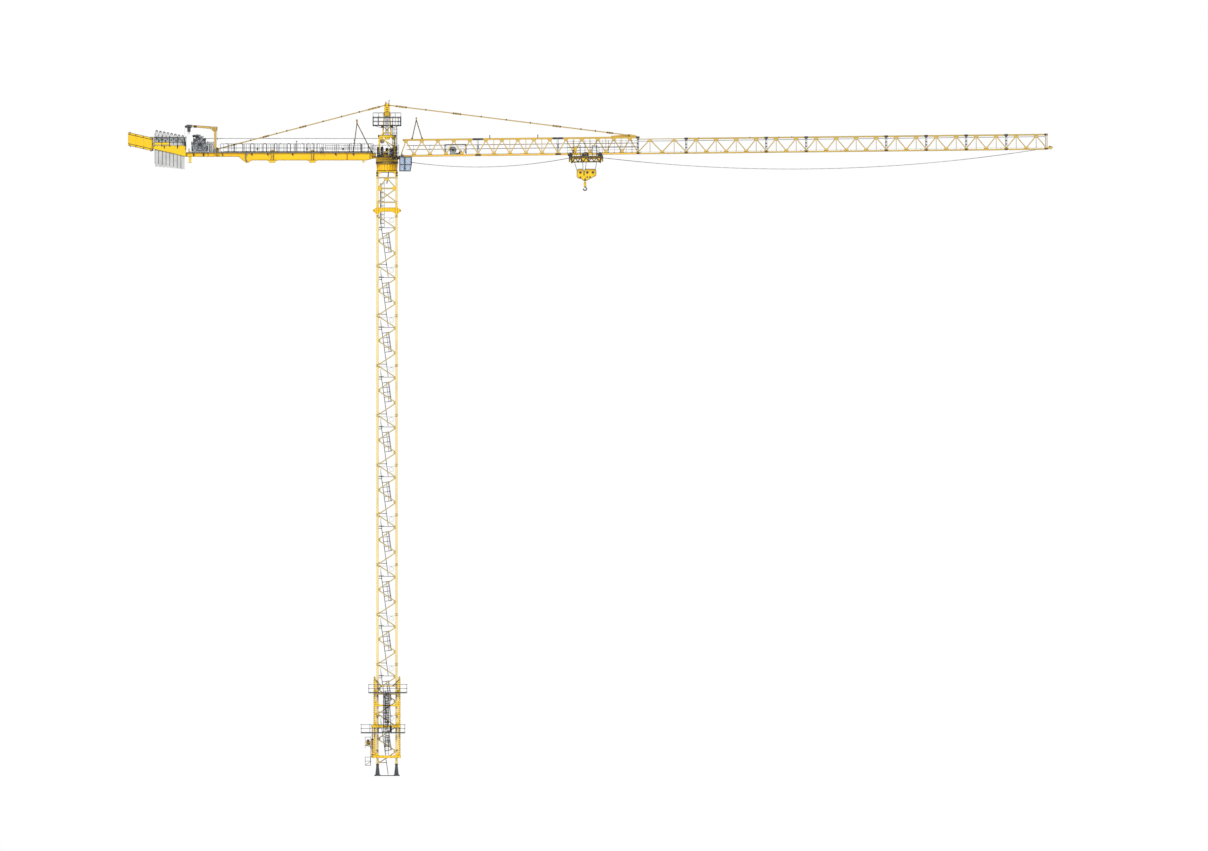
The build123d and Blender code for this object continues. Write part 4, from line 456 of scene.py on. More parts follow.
class Pile:
    """Gathers many small parts into one mesh of one finish."""

    def __init__(self):
        self.points, self.faces = [], []

    def put(self, points, faces):
        base = len(self.points)
        self.points.extend(points)
        self.faces.extend([base + i for i in face] for face in faces)

    def block(self, centre, size, turn=None, cut=0.0008):
        """A block with cut edges, turned by a matrix."""
        centre = Vector(centre)
        half = [s / 2 for s in size]
        cut = min(cut, min(half) * 0.45)
        spots = []
        for s in BLOCK_SIGNS:
            for k in range(3):
                spot = Vector(s[n] * (half[n] - (0 if n == k else cut)) for n in range(3))
                spots.append(centre + (turn @ spot if turn else spot))
        self.put(spots, BLOCK_FACES)

    def beam(self, start, end, width, depth, cut=0.0006):
        """A straight bar of square section between two points, its depth along Y or X."""
        start, end = Vector(start), Vector(end)
        first, second = frame_along(end - start)
        turn = Matrix((first, second, (end - start).normalized())).transposed()
        self.block((start + end) / 2, (width, depth, (end - start).length), turn, cut)

    def lathe(self, profile, origin, way, sides=16):
        """Turns a profile of (distance along, radius) pairs about a way; its ends are closed."""
        origin, way = Vector(origin), Vector(way).normalized()
        first, second = frame_along(way)
        turns = [2 * pi * k / sides for k in range(sides)]
        spots = [
            origin + way * along + first * (radius * cos(a)) + second * (radius * sin(a))
            for along, radius in profile for a in turns]
        faces = [list(range(sides))[::-1], [(len(profile) - 1) * sides + k for k in range(sides)]]
        for row in range(len(profile) - 1):
            for k in range(sides):
                a, b = row * sides + k, row * sides + (k + 1) % sides
                faces.append([a, b, b + sides, a + sides])
        self.put(spots, faces)

    def rod(self, start, end, radius, sides=8, cut=0.0006):
        """A round bar with cut ends."""
        start, end = Vector(start), Vector(end)
        length = (end - start).length
        cut = min(cut, radius * 0.4, length * 0.3)
        profile = [(0, radius - cut), (cut, radius), (length - cut, radius), (length, radius - cut)]
        self.lathe(profile, start, end - start, sides)

    def tube(self, points, radius, sides=8, closed=False, section=None):
        """A round bar bent along points, or one whose section is given as points."""
        points = [Vector(p) for p in points]
        count = len(points)
        section = section or [
            (radius * cos(2 * pi * k / sides), radius * sin(2 * pi * k / sides)) for k in range(sides)]
        sides = len(section)
        spots, faces = [], []
        first = None
        for n, point in enumerate(points):
            ahead = points[(n + 1) % count] if closed or n < count - 1 else point
            behind = points[n - 1] if closed or n else point
            way = (ahead - behind).normalized()
            if first is None:
                first = frame_along(way)[0]
            first = (first - way * first.dot(way)).normalized()
            second = way.cross(first)
            spots += [point + first * x + second * y for x, y in section]
        for n in range(count if closed else count - 1):
            for k in range(sides):
                a, b = n * sides + k, n * sides + (k + 1) % sides
                c, d = (n + 1) % count * sides + (k + 1) % sides, (n + 1) % count * sides + k
                faces.append([a, b, c, d])
        if not closed:
            faces += [list(range(sides))[::-1], [(count - 1) * sides + k for k in range(sides)]]
        self.put(spots, faces)

    def ring(self, centre, way, radius, thick, steps=20, sides=6):
        """A round ring."""
        first, second = frame_along(Vector(way))
        self.tube(arc(centre, radius, 0, 360, steps, first, second)[:-1], thick, sides, True)

    def plate(self, outline, origin, across, up, thick):
        """A flat plate from its outline, centred on its own plane."""
        origin, across, up = Vector(origin), Vector(across).normalized(), Vector(up).normalized()
        normal = across.cross(up) * (thick / 2)
        area = sum(a[0] * b[1] - b[0] * a[1] for a, b in zip(outline, outline[1:] + outline[:1]))
        outline = outline if area > 0 else outline[::-1]
        flat = [origin + across * x + up * y for x, y in outline]
        count = len(flat)
        faces = [list(range(count))[::-1], [count + k for k in range(count)]]
        faces += [[k, (k + 1) % count, count + (k + 1) % count, count + k] for k in range(count)]
        self.put([p - normal for p in flat] + [p + normal for p in flat], faces)

    def cap(self, spot, way, radius, height, lip, tip, sides):
        """A round cap: its side up to height, then narrowing to the tip at lip."""
        self.lathe([(0, radius), (height, radius), (lip, tip)], spot, way, sides)

    def disc(self, spot, way, radius, height, sides):
        """A flat round disc."""
        self.lathe([(0, radius), (height, radius)], spot, way, sides)

    def post(self, x, y, low, high, width, depth):
        """An upright bar of square section."""
        self.beam((x, y, low), (x, y, high), width, depth)

    def runner(self, start, end, y, z, width, depth):
        """A bar of square section along the crane."""
        self.beam((start, y, z), (end, y, z), width, depth)

    def bolt(self, spot, way, radius=0.0028, height=0.0022):
        """A hexagon head on a washer, standing out along a way."""
        spot, way = Vector(spot), Vector(way).normalized()
        self.lathe([(0, radius * 1.35), (height * 0.25, radius * 1.35)], spot, way, 10)
        self.lathe([(height * 0.25, radius), (height * 0.9, radius), (height, radius * 0.8)], spot, way, 6)

    def make(self, name, body, finish, slot, smooth=38):
        """Turns what was gathered into a piece that rides on a body."""
        mesh = bpy.data.meshes.new(name)
        mesh.from_pydata(self.points, [], self.faces)
        mesh.validate()
        mesh.polygons.foreach_set("use_smooth", [True] * len(mesh.polygons))
        mesh.set_sharp_from_angle(angle=radians(smooth))
        mesh.materials.append(materials[finish])
        piece = bpy.data.objects.new(name, mesh)
        bpy.context.scene.collection.objects.link(piece)
        if body:
            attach(piece, body)
        return piece


X, Y, Z = Vector((1, 0, 0)), Vector((0, 1, 0)), Vector((0, 0, 1))
CORNERS = [(x, y) for x in (-1, 1) for y in (-1, 1)]
joint_levels = [FOOT_TOP + SECTION * k for k in range(SECTIONS + 1)]


# Mast


def mast_fittings():
    """Pins through the leg joints, gussets at the lacing and plates between the blocks."""
    pins, plates = Pile(), Pile()
    block = 0.0175
    for level in joint_levels:
        for x, y in CORNERS:
            leg = Vector((x * HALF, y * HALF, level))
            plates.block(leg, (0.0362, 0.0362, 0.0016), cut=0.0003)
            for dz in (-0.0085, 0.0085):
                for way in (X * x, Y * y):
                    pins.bolt(leg + way * (block + 0.0001) + Z * dz, way, 0.0036, 0.003)
                for way in (X * -x, Y * -y):
                    pins.rod(
                        leg + way * (block + 0.004) + Z * dz, leg + way * (block - 0.002) + Z * dz, 0.0034)
    gusset = [(0, -0.019), (0, 0.019), (0.014, 0.012), (0.027, 0), (0.014, -0.012)]
    edge = HALF - LEG / 2
    step = SECTION / 4
    for section in range(SECTIONS):
        for k in range(1, 4):
            level = FOOT_TOP + section * SECTION + k * step
            side = 1 if k % 2 else -1
            for other in (-1, 1):
                plates.plate(gusset, (side * edge, other * HALF, level), X * -side, Z, 0.0125)
                plates.plate(gusset, (other * HALF, side * edge, level), Y * -side, Z, 0.0125)
        for low in (FOOT_TOP + section * SECTION + 0.012, FOOT_TOP + (section + 1) * SECTION - 0.012):
            way = 1 if low < FOOT_TOP + (section + 0.5) * SECTION else -1
            half_gusset = [(0, 0), (0, way * 0.024), (0.01, way * 0.018), (0.03, way * 0.004), (0.03, 0)]
            for other in (-1, 1):
                plates.plate(half_gusset, (-edge, other * HALF, low), X, Z, 0.0125)
                plates.plate(half_gusset, (other * HALF, -edge, low), Y, Z, 0.0125)
    plates.make("mast_gussets", "tower", "mast", "mast_yellow")
    pins.make("mast_joint_pins", "tower", "machine", "rail_grey")


def mast_bars():
    """Thin level bars under each joint with the cable ring, and ladder stays."""
    bars = Pile()
    for level in joint_levels[1:]:
        z = level - 0.019
        for side in (-1, 1):
            bars.runner(-HALF + 0.013, HALF - 0.013, side * (HALF - 0.014), z, 0.005, 0.005)
            bars.beam(
                (side * (HALF - 0.014), -HALF + 0.013, z), (side * (HALF - 0.014), HALF - 0.013, z), 0.005,
                0.005)
        bars.beam((0.055, -HALF + 0.014, z - 0.006), (0.055, HALF - 0.014, z - 0.006), 0.005, 0.005)
        for y in (-0.03, 0.03):
            bars.ring((0.055, y, z - 0.036), Y, 0.028, 0.0017, 22)
            bars.block((0.055, y, z - 0.0085), (0.012, 0.008, 0.008))
    bars.make("mast_cable_bars", "tower", "zinc", "rail_grey")


REST_LEVELS = [FOOT_TOP + SECTION * (k + 1) - 0.15 for k in range(SECTIONS)]
LEAN = radians(7.9)
LEAN_UP = Vector((-sin(LEAN), 0, cos(LEAN)))
LEAN_BACK = Vector((cos(LEAN), 0, sin(LEAN)))


def safety_hoops(pile, foot, up, back, levels, width, depth, bar=0.0033):
    """Hoops round a ladder's back, with the strips that tie them together."""
    side = up.cross(back)
    strips = {}
    for t in levels:
        middle = foot + up * t
        path = [middle + side * (width / 2)] + [
            middle + back * (depth * 0.45 + depth * 0.55 * sin(a)) + side * (width / 2 + 0.007) * cos(a)
            for a in [pi * k / 10 for k in range(11)]] + [middle - side * (width / 2)]
        pile.tube(path, bar, 6)
        for n in (2, 4, 6, 8, 10):
            strips.setdefault(n, []).append(path[n])
    for line in strips.values():
        pile.beam(line[0] - up * 0.006, line[-1] + up * 0.006, 0.0056, 0.0024)


def mast_ladder_guards():
    """The cage behind each leaning ladder and its stays to the mast, and the hoops at the top."""
    guards = Pile()
    for rest in REST_LEVELS:
        foot = Vector((0.016, 0, rest - SECTION + 0.007))
        safety_hoops(guards, foot, LEAN_UP, LEAN_BACK, [0.31 + 0.06 * k for k in range(5)], 0.042, 0.084)
        for t in (0.16, 0.6):
            spot = foot + LEAN_UP * t
            for y in (-0.0215, 0.0215):
                guards.beam(spot + Y * y, (-HALF + 0.014, y, spot.z), 0.007, 0.005)
                guards.block(spot + Y * y, (0.01, 0.006, 0.012))
        for y in (-0.0225, 0.0225):
            top = foot + LEAN_UP * 0.69 + Y * y
            guards.beam(foot + LEAN_UP * 0.016 + Y * y, top - LEAN_UP * 0.012, 0.0076, 0.0034)
            guards.tube(
                [top - LEAN_UP * 0.01, top + Z * 0.03, top + Z * 0.036 + LEAN_BACK * 0.008], 0.0022, 6)
    foot = Vector((-0.034, 0, REST_LEVELS[-1] + 0.0066))
    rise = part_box("mast_ladders")[1].z - foot.z
    safety_hoops(guards, foot, Z, -X, [0.05 + 0.055 * k for k in range(int(rise / 0.055) - 1)], 0.048, 0.05)
    guards.make("mast_ladder_guards", "tower", "rail", "rail_grey")


def rest_gratings():
    """Grating bars on the rest platforms, with a toe edge round the hatch."""
    deck = Pile()
    half = HALF - LEG / 2 - 0.001
    for rest in REST_LEVELS:
        top = rest + 0.0062
        for k in range(22):
            x = -half + 0.064 + k * 0.0071
            deck.block((x, 0, top + 0.0006), (0.0018, 2 * half - 0.004, 0.0024), cut=0.0003)
        for y in (-0.031, 0.031):
            deck.block((-half + 0.032, y, top + 0.004), (0.056, 0.002, 0.01), cut=0.0003)
        deck.block((-half + 0.062, 0, top + 0.004), (0.002, 0.062, 0.01), cut=0.0003)
    deck.make("rest_gratings", "tower", "zinc", "rail_grey")


def feet_fittings():
    """Nuts on the template frame and weld collars on the feet."""
    bolts = Pile()
    for x, y in CORNERS:
        foot = Vector((x * HALF, y * HALF, 0.01))
        for dx, dy in CORNERS:
            bolts.bolt(foot + Vector((dx * 0.034, dy * 0.034, 0)), Z, 0.0042, 0.0045)
            bolts.rod(
                foot + Vector((dx * 0.034, dy * 0.034, 0)), foot + Vector((dx * 0.034, dy * 0.034, 0.008)),
                0.0022)
        bolts.block(foot + Z * 0.1235, (0.0385, 0.0385, 0.004))
        for way in (X, -X, Y, -Y):
            rib = [(0.02, 0), (0.0295, 0), (0.0185, 0.1), (0.0155, 0.1)]
            bolts.plate(rib, foot, way, Z, 0.004)
    bolts.make("foot_fittings", "tower", "feet", "feet")


def top_sections():
    """Stiffeners, bolts and gussets of the transition piece, head mast and ring support."""
    yellow, dark = Pile(), Pile()
    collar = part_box("transition_section")[0].z + 0.163 * 0.33
    for side in (-1, 1):
        for k in range(7):
            x = -0.09 + 0.03 * k
            yellow.block((x, side * (HALF + 0.0105), collar + 0.0265), (0.003, 0.003, 0.05))
            for rise in (0.044, 0.009):
                dark.bolt((x + 0.012, side * (HALF + 0.0101), collar + rise), Y * side, 0.0026)
        for end in (-1, 1):
            spot = Vector((end * (HALF + 0.045), side * HALF, collar + 0.015))
            yellow.rod(spot - Y * 0.016, spot + Y * 0.016, 0.0075, 12)
            dark.bolt(spot + Y * side * 0.016, Y * side, 0.0045, 0.004)
    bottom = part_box("head_mast")[0].z
    middle = bottom + 0.325 * 0.56
    plate = [(0, -0.03), (0.02, -0.03), (0.036, -0.014), (0.036, 0.014), (0.02, 0.03), (0, 0.03)]
    for x, y in CORNERS:
        yellow.plate(plate, (x * (HALF - 0.0135), y * HALF, middle), X * -x, Z, 0.012)
        yellow.plate(plate, (x * HALF, y * (HALF - 0.0135), middle), Y * -y, Z, 0.012)
        for level in (bottom + 0.016, bottom + 0.309):
            dark.bolt((x * HALF, y * (HALF + 0.0136), level), Y * y, 0.0036, 0.003)
            dark.bolt((x * (HALF + 0.0136), y * HALF, level), X * x, 0.0036, 0.003)
    for y in (-1, 1):
        yellow.plate(
            [(-0.03, 0), (-0.02, -0.026), (0.02, -0.026), (0.03, 0)], (0, y * HALF, bottom + 0.307), X, Z,
            0.012)
    yellow.make("head_mast_plates", "tower", "yellow", "cage_yellow")
    dark.make("head_mast_bolts", "tower", "machine", "rail_grey")


RING_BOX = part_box("ring_support")
RING_SKIRT = 0.08125
RING_FLANGE = 0.0305


def slewing_ring():
    """Ribs on the drum, flange bolts and the toothed rim."""
    ribs, dark = Pile(), Pile()
    drum_low, drum_high = RING_BOX[0].z + RING_SKIRT, RING_BOX[1].z - RING_FLANGE
    for k in range(24):
        way = Vector((cos(2 * pi * k / 24), sin(2 * pi * k / 24), 0))
        ribs.plate(
            [(0, 0), (0.0035, 0), (0.01, 0.078), (0, 0.081)], way * 0.1235 + Z * drum_low, way, Z, 0.003)
    ribs.make("ring_support_ribs", "tower", "yellow", "head_yellow")
    for a in bearings(60):
        way = Vector((cos(a), sin(a), 0))
        dark.bolt(way * 0.1315 + Z * (drum_high - 0.0001), -Z, 0.0022, 0.003)
    dark.make("ring_flange_bolts", "tower", "steel", "rail_grey")
    teeth = Pile()
    rim = 0.1384
    for a in bearings(132):
        way, side = Vector((cos(a), sin(a), 0)), Vector((-sin(a), cos(a), 0))
        turn = Matrix((way, side, Z)).transposed()
        teeth.block(way * rim + Z * (drum_high + 0.0155), (0.0055, 0.0034, 0.02), turn, 0.0012)
    for rise in (0.003, 0.028):
        teeth.ring((0, 0, drum_high + rise), Z, 0.1382, 0.0014, 96)
    teeth.make("slewing_ring_teeth", "tower", "machine", "rail_grey")
    upper = Pile()
    for a in bearings(60, 0.5):
        upper.bolt(
            Vector((cos(a), sin(a), 0)) * 0.1381 + Z * (drum_high + 0.046), (cos(a), sin(a), 0), 0.0022, 0.002
        )
    for rise in (0.0365, 0.056):
        upper.ring((0, 0, drum_high + rise), Z, 0.1386, 0.0016, 96)
    upper.make("slewing_ring_seal", "slewing_upper", "machine", "rail_grey")


# Climbing cage

CAGE_OUTER = -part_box("cage_frame")[0].y - 0.0183
CAGE_FOOT = 0.225
JACK_BEAMS = (0.241, 0.62)


def cage_fittings():
    """Bolt rows down the posts, guide rollers, gussets and the dark raking struts."""
    dark, yellow, rollers = Pile(), Pile(), Pile()
    line = CAGE_OUTER - 0.013
    for x, y in CORNERS:
        for k in range(39):
            z = CAGE_FOOT + 0.02 + k * 0.025
            if min(abs(z - level) for level in JACK_BEAMS) < 0.018:
                continue
            dark.bolt((x * line, y * (CAGE_OUTER + 0.0001), z), Y * y, 0.0032, 0.0028)
            dark.bolt((x * (CAGE_OUTER + 0.0001), y * line, z), X * x, 0.0032, 0.0028)
        for z in (0.32, 0.74, 1.0, 1.18):
            rollers.lathe(
                [
                    (-0.008, 0.004), (-0.008, 0.0085), (-0.005, 0.01), (0.005, 0.01), (0.008, 0.0085),
                    (0.008, 0.004)],
                Vector((x * (HALF + 0.006), y * (HALF + 0.0262), z)), X, 14)
            yellow.block(
                Vector((x * (HALF + 0.006), y * (HALF + 0.0262), z)) + X * x * 0.013, (0.004, 0.022, 0.024))
        yellow.block((x * line, y * line, CAGE_FOOT + 1.003), (0.03, 0.03, 0.006))
        yellow.rod((x * line, y * line, CAGE_FOOT + 1.0), (x * line, y * line, CAGE_FOOT + 1.02), 0.007, 10)
    for side in (-1, 1):
        for x in (-1, 1):
            top = Vector((x * line, side * (CAGE_OUTER + 0.004), CAGE_FOOT + 0.985))
            foot = Vector((x * line * 0.45, side * (CAGE_OUTER + 0.004), 1.125))
            dark.beam(top, foot, 0.007, 0.006)
            dark.bolt(top + Y * side * 0.003, Y * side, 0.004, 0.003)
            for level in (*JACK_BEAMS, 0.881, 1.027):
                corner = [(0, 0), (0.045, 0), (0.045, 0.008), (0.01, 0.04), (0, 0.04)]
                yellow.plate(
                    corner, (x * (CAGE_OUTER - 0.0262), side * (CAGE_OUTER - 0.013), level + 0.01),
                    X * -x, Z, 0.0262)
        for x in (-0.13, -0.09, -0.05, 0.05, 0.09, 0.13):
            for level in JACK_BEAMS:
                reach = CAGE_OUTER + (0.0184 if level > 0.5 else 0.0144)
                for rise in (0.009, -0.009):
                    dark.bolt((x, side * reach, level + rise), Y * side, 0.0032)
    dark.make("cage_bolts_and_struts", "climbing_cage", "black", "rail_grey")
    yellow.make("cage_gussets", "climbing_cage", "yellow", "cage_yellow")
    rollers.make("cage_guide_rollers", "climbing_cage", "machine", "machine_grey")


def cage_ladders():
    """Hooped ladders outside the cage, and the short one between the side decks."""
    bars = Pile()
    out = CAGE_OUTER + 0.012
    for low, high in ((0.55, 1.05), (0.245, 0.535)):
        for dx in (-0.02, 0.02):
            bars.post(dx, -out, low, high + 0.02, 0.0045, 0.0045)
        count = int((high - low) / 0.028)
        for k in range(count + 1):
            z = low + 0.01 + (high - low - 0.01) * k / count
            bars.rod((-0.02, -out, z), (0.02, -out, z), 0.0018, 6)
        safety_hoops(
            bars, Vector((0, -out, low)), Z, -Y,
            [0.12 + 0.06 * k for k in range(int((high - low - 0.14) / 0.06) + 1)], 0.044, 0.05)
    deck_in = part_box("cage_side_decks")[0].x + 0.08
    for y in (-0.02, 0.02):
        bars.post(deck_in - 0.012, y, 0.142, 0.378, 0.0045, 0.0045)
    for k in range(9):
        z = 0.152 + 0.0265 * k
        bars.rod((deck_in - 0.012, -0.02, z), (deck_in - 0.012, 0.02, z), 0.0018, 6)
    bars.make("cage_ladders", "climbing_cage", "rail", "rail_grey")


def deck_edges(pile, node, floor_level, thick=0.0016, height=0.005):
    """A toe board along the rim of a deck, with its stanchion feet."""
    low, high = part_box(node)
    for y in (low.y + 0.0055, high.y - 0.0055):
        pile.block(
            ((low.x + high.x) / 2, y, floor_level + height / 2), (high.x - low.x - 0.012, thick, height),
            cut=0.0003)
    for x in (low.x + 0.0055, high.x - 0.0055):
        pile.block(
            (x, (low.y + high.y) / 2, floor_level + height / 2), (thick, high.y - low.y - 0.012, height),
            cut=0.0003)


def cage_decks():
    """Toe boards, rail clamps and deck beams of the cage's platforms."""
    edges, beams = Pile(), Pile()
    for node, level in (("cage_middle_deck", 0.538), ("cage_top_deck", 1.039)):
        top = level + 0.0064
        deck_edges(edges, node, top)
        low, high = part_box(node)
        for y in (low.y + 0.02, -CAGE_OUTER - 0.03, CAGE_OUTER + 0.03, high.y - 0.02):
            beams.runner(low.x + 0.004, high.x - 0.004, y, level - 0.0045, 0.006, 0.008)
        for x in (low.x + 0.004, (low.x - CAGE_OUTER) / 2, (high.x + CAGE_OUTER) / 2, high.x - 0.004):
            beams.beam((x, low.y + 0.004, level - 0.0045), (x, high.y - 0.004, level - 0.0045), 0.006, 0.008)
        count = 6 if "middle" in node else 5
        for k in range(count):
            x = low.x + 0.0045 + k * (high.x - low.x - 0.009) / (count - 1)
            for y in (low.y + 0.0042, high.y - 0.0042):
                edges.block((x, y, top + 0.003), (0.015, 0.008, 0.009), cut=0.002)
                for z in (0.049, 0.0975):
                    edges.block((x, y, level + 0.0063 + z), (0.012, 0.0078, 0.011), cut=0.002)
        spread = int((high.x - low.x - 0.02) / 0.0105)
        for k in range(spread):
            x = low.x + 0.012 + k * 0.0105
            for y_low, y_high in ((low.y + 0.008, -CAGE_OUTER - 0.002), (CAGE_OUTER + 0.002, high.y - 0.008)):
                edges.block(
                    (x, (y_low + y_high) / 2, level + 0.0068), (0.002, y_high - y_low, 0.0016), cut=0.0002)
    edges.make("cage_deck_trim", "climbing_cage", "rail", "rail_grey")
    beams.make("cage_deck_beams", "climbing_cage", "zinc", "rail_grey")


def hydraulics():
    """Glands and eyes of the climbing jack, and the fittings of the power pack."""
    dark, steel = Pile(), Pile()
    ram_x = -(CAGE_OUTER + 0.0163)
    dark.lathe([(0, 0.0145), (0.004, 0.0155), (0.012, 0.0155), (0.016, 0.012)], (ram_x, 0, 0.448), Z, 20)
    dark.disc((ram_x, 0, 0.262), Z, 0.0145, 0.01, 20)
    for z in (0.3, 0.36, 0.42):
        dark.ring((ram_x, 0, z), Z, 0.0135, 0.0012, 20)
    for z in JACK_BEAMS:
        steel.rod((ram_x, -0.018, z), (ram_x, 0.018, z), 0.005, 12)
    tank = Vector((-0.235, 0, 0.3873))
    for k in range(7):
        dark.block(tank + Vector((0, -0.0355, 0.01 + k * 0.004)), (0.034, 0.0014, 0.0016), cut=0.0003)
    dark.cap(tank + Vector((0.012, 0.022, 0.044)), Z, 0.006, 0.008, 0.01, 0.004, 12)
    dark.disc(tank + Vector((-0.01, 0.02, 0.044)), Z, 0.009, 0.018, 14)
    for k in range(9):
        dark.ring(tank + Vector((0, -0.012, 0.047 + k * 0.0025)), Z, 0.0152, 0.0006, 16, 4)
    steel.tube([tank + Vector((0.012, 0.0355, 0.03)), tank + Vector((0.012, 0.042, 0.03)),
                tank + Vector((0.03, 0.046, 0.02)), Vector((ram_x - 0.01, 0.03, 0.4)),
                Vector((ram_x - 0.004, 0.02, 0.41)), Vector((ram_x, 0.012, 0.41))], 0.0022, 8)
    dark.make("power_pack_fittings", "climbing_cage", "black", "machine_grey")
    steel.make("jack_pins_and_pipe", "climbing_cage", "steel", "machine_grey")


mast_fittings()
mast_bars()
mast_ladder_guards()
rest_gratings()
feet_fittings()
top_sections()
slewing_ring()
cage_fittings()
cage_ladders()
cage_decks()
hydraulics()


# Slewing platform and tower head

UPPER = "slewing_upper"
HEAD_TOP = TURRET_TOP + 0.669
WAIST = TURRET_TOP + 0.276
HEAD_DECK = TURRET_TOP + 0.39
WALK_EDGE = 0.1945


def turret_fittings():
    """Fins of the slewing motors, boxes and toe boards of the walkways, and the cable column."""
    dark, light, yellow, board = Pile(), Pile(), Pile(), Pile()
    for x, y, height in ((-0.062, -0.06, 0.128), (0.062, -0.06, 0.096), (0, 0.066, 0.112)):
        foot = Vector((x, y, TURRET_TOP))
        dark.cap(foot, Z, 0.03, 0.005, 0.0065, 0.024, 24)
        for a in bearings(8, 0.5):
            light.bolt(foot + Vector((0.0268 * cos(a), 0.0268 * sin(a), 0.005)), Z, 0.0018, 0.002)
        for k in range(int((height - 0.058) / 0.0045)):
            dark.ring(foot + Z * (0.04 + k * 0.0045), Z, 0.0193, 0.001, 24, 4)
        dark.lathe(
            [(0, 0.0152), (0.002, 0.0172), (0.013, 0.0172), (0.0155, 0.012)], foot + Z * (height - 0.014), Z,
            20)
        light.block(foot + Vector((0.0, -0.024, height * 0.55)), (0.022, 0.014, 0.026), cut=0.0015)
        light.rod(
            foot + Vector((0, -0.0285, height * 0.55 - 0.013)), foot + Vector((0, -0.0285, 0.004)), 0.0022)
    for x in (-0.1, -0.02, 0.03, 0.105):
        outline = [(-0.016, 0), (0.016, 0), (0.01, 0.034), (-0.01, 0.034)]
        for side in (-1, 1):
            yellow.plate(outline, (x, side * 0.122, TURRET_TOP), X, Z, 0.006)
            dark.bolt((x, side * 0.1251, TURRET_TOP + 0.022), Y * side, 0.0036, 0.003)
    for x, width, height, y in (
        (-0.112, 0.03, 0.12, -0.172), (-0.07, 0.018, 0.09, -0.15), (0.04, 0.026, 0.104, -0.15),
        (0.118, 0.028, 0.132, -0.172), (-0.02, 0.04, 0.066, 0.16), (0.08, 0.034, 0.11, 0.16),
    ):
        low = Vector((x, y, TURRET_TOP + 0.0004))
        dark.block(low + Z * height / 2, (width, 0.026, height), cut=0.002)
        dark.block(low + Z * (height + 0.002), (width + 0.006, 0.032, 0.004))
        for z in (0.25, 0.5, 0.75):
            light.block(low + Vector((0, -0.0134, height * z)), (width * 0.62, 0.0016, 0.004), cut=0.0003)
        light.block(low + Vector((width * 0.36, -0.0138, height * 0.55)), (0.003, 0.003, 0.012))
    for side in (-1, 1):
        middle = -0.022
        board.block(
            (middle, side * (WALK_EDGE - 0.0035), TURRET_TOP + 0.004), (0.334, 0.0016, 0.006), cut=0.0003)
        for x in (-0.1885, 0.144):
            board.block((x, side * 0.164, TURRET_TOP + 0.004), (0.0016, 0.06, 0.006), cut=0.0003)
            for z in (0.052, 0.102, 0.15):
                board.block((x, side * WALK_EDGE, TURRET_TOP + z), (0.009, 0.009, 0.009), cut=0.002)
        for k in range(47):
            board.block(
                (-0.187 + k * 0.0071, side * 0.164, TURRET_TOP + 0.0006), (0.0018, 0.058, 0.0022), cut=0.0003)
        for k in range(6):
            board.block(
                (-0.19 + k * 0.0668, side * (WALK_EDGE + 0.0002), TURRET_TOP + 0.006), (0.01, 0.007, 0.012))
        for x in (-0.185, -0.15):
            board.post(x, side * 0.199, TURRET_TOP - 0.01, TURRET_TOP + 0.15, 0.007, 0.003)
        for x in (-0.12, 0.0, 0.12):
            bracket = [(0, 0), (0.06, 0), (0.06, -0.004), (0.008, -0.03), (0, -0.03)]
            yellow.plate(bracket, (x, side * 0.1312, TURRET_TOP - 0.0064), Y * side, Z, 0.006)
    for a in bearings(16):
        dark.bolt((0.068 * cos(a), 0.068 * sin(a), TURRET_TOP), Z, 0.0022, 0.003)
    dark.lathe(
        [(0, 0.02), (0.004, 0.024), (0.06, 0.024), (0.064, 0.018)], (0.012, 0, TURRET_TOP - 0.084), Z, 24)
    column = [
        (0.012, 0, TURRET_TOP - 0.08), (0.02, 0, 7.56), (0.014, 0, 7.5), (0.002, 0, 7.43), (-0.002, 0, 7.402)]
    dark.tube(column, 0.0062, 10)
    for x, z in ((0.02, 7.56), (0.014, 7.5), (0.0045, 7.442)):
        dark.lathe([(-0.005, 0.0085), (0.005, 0.0085)], (x, 0, z), Z, 12)
    dark.make("turret_machinery", UPPER, "black", "machine_grey")
    light.make("turret_switch_boxes", UPPER, "cabinet", "cabinet_grey")
    yellow.make("turret_brackets", UPPER, "yellow", "head_yellow")
    board.make("turret_walkway_trim", UPPER, "rail", "rail_grey")


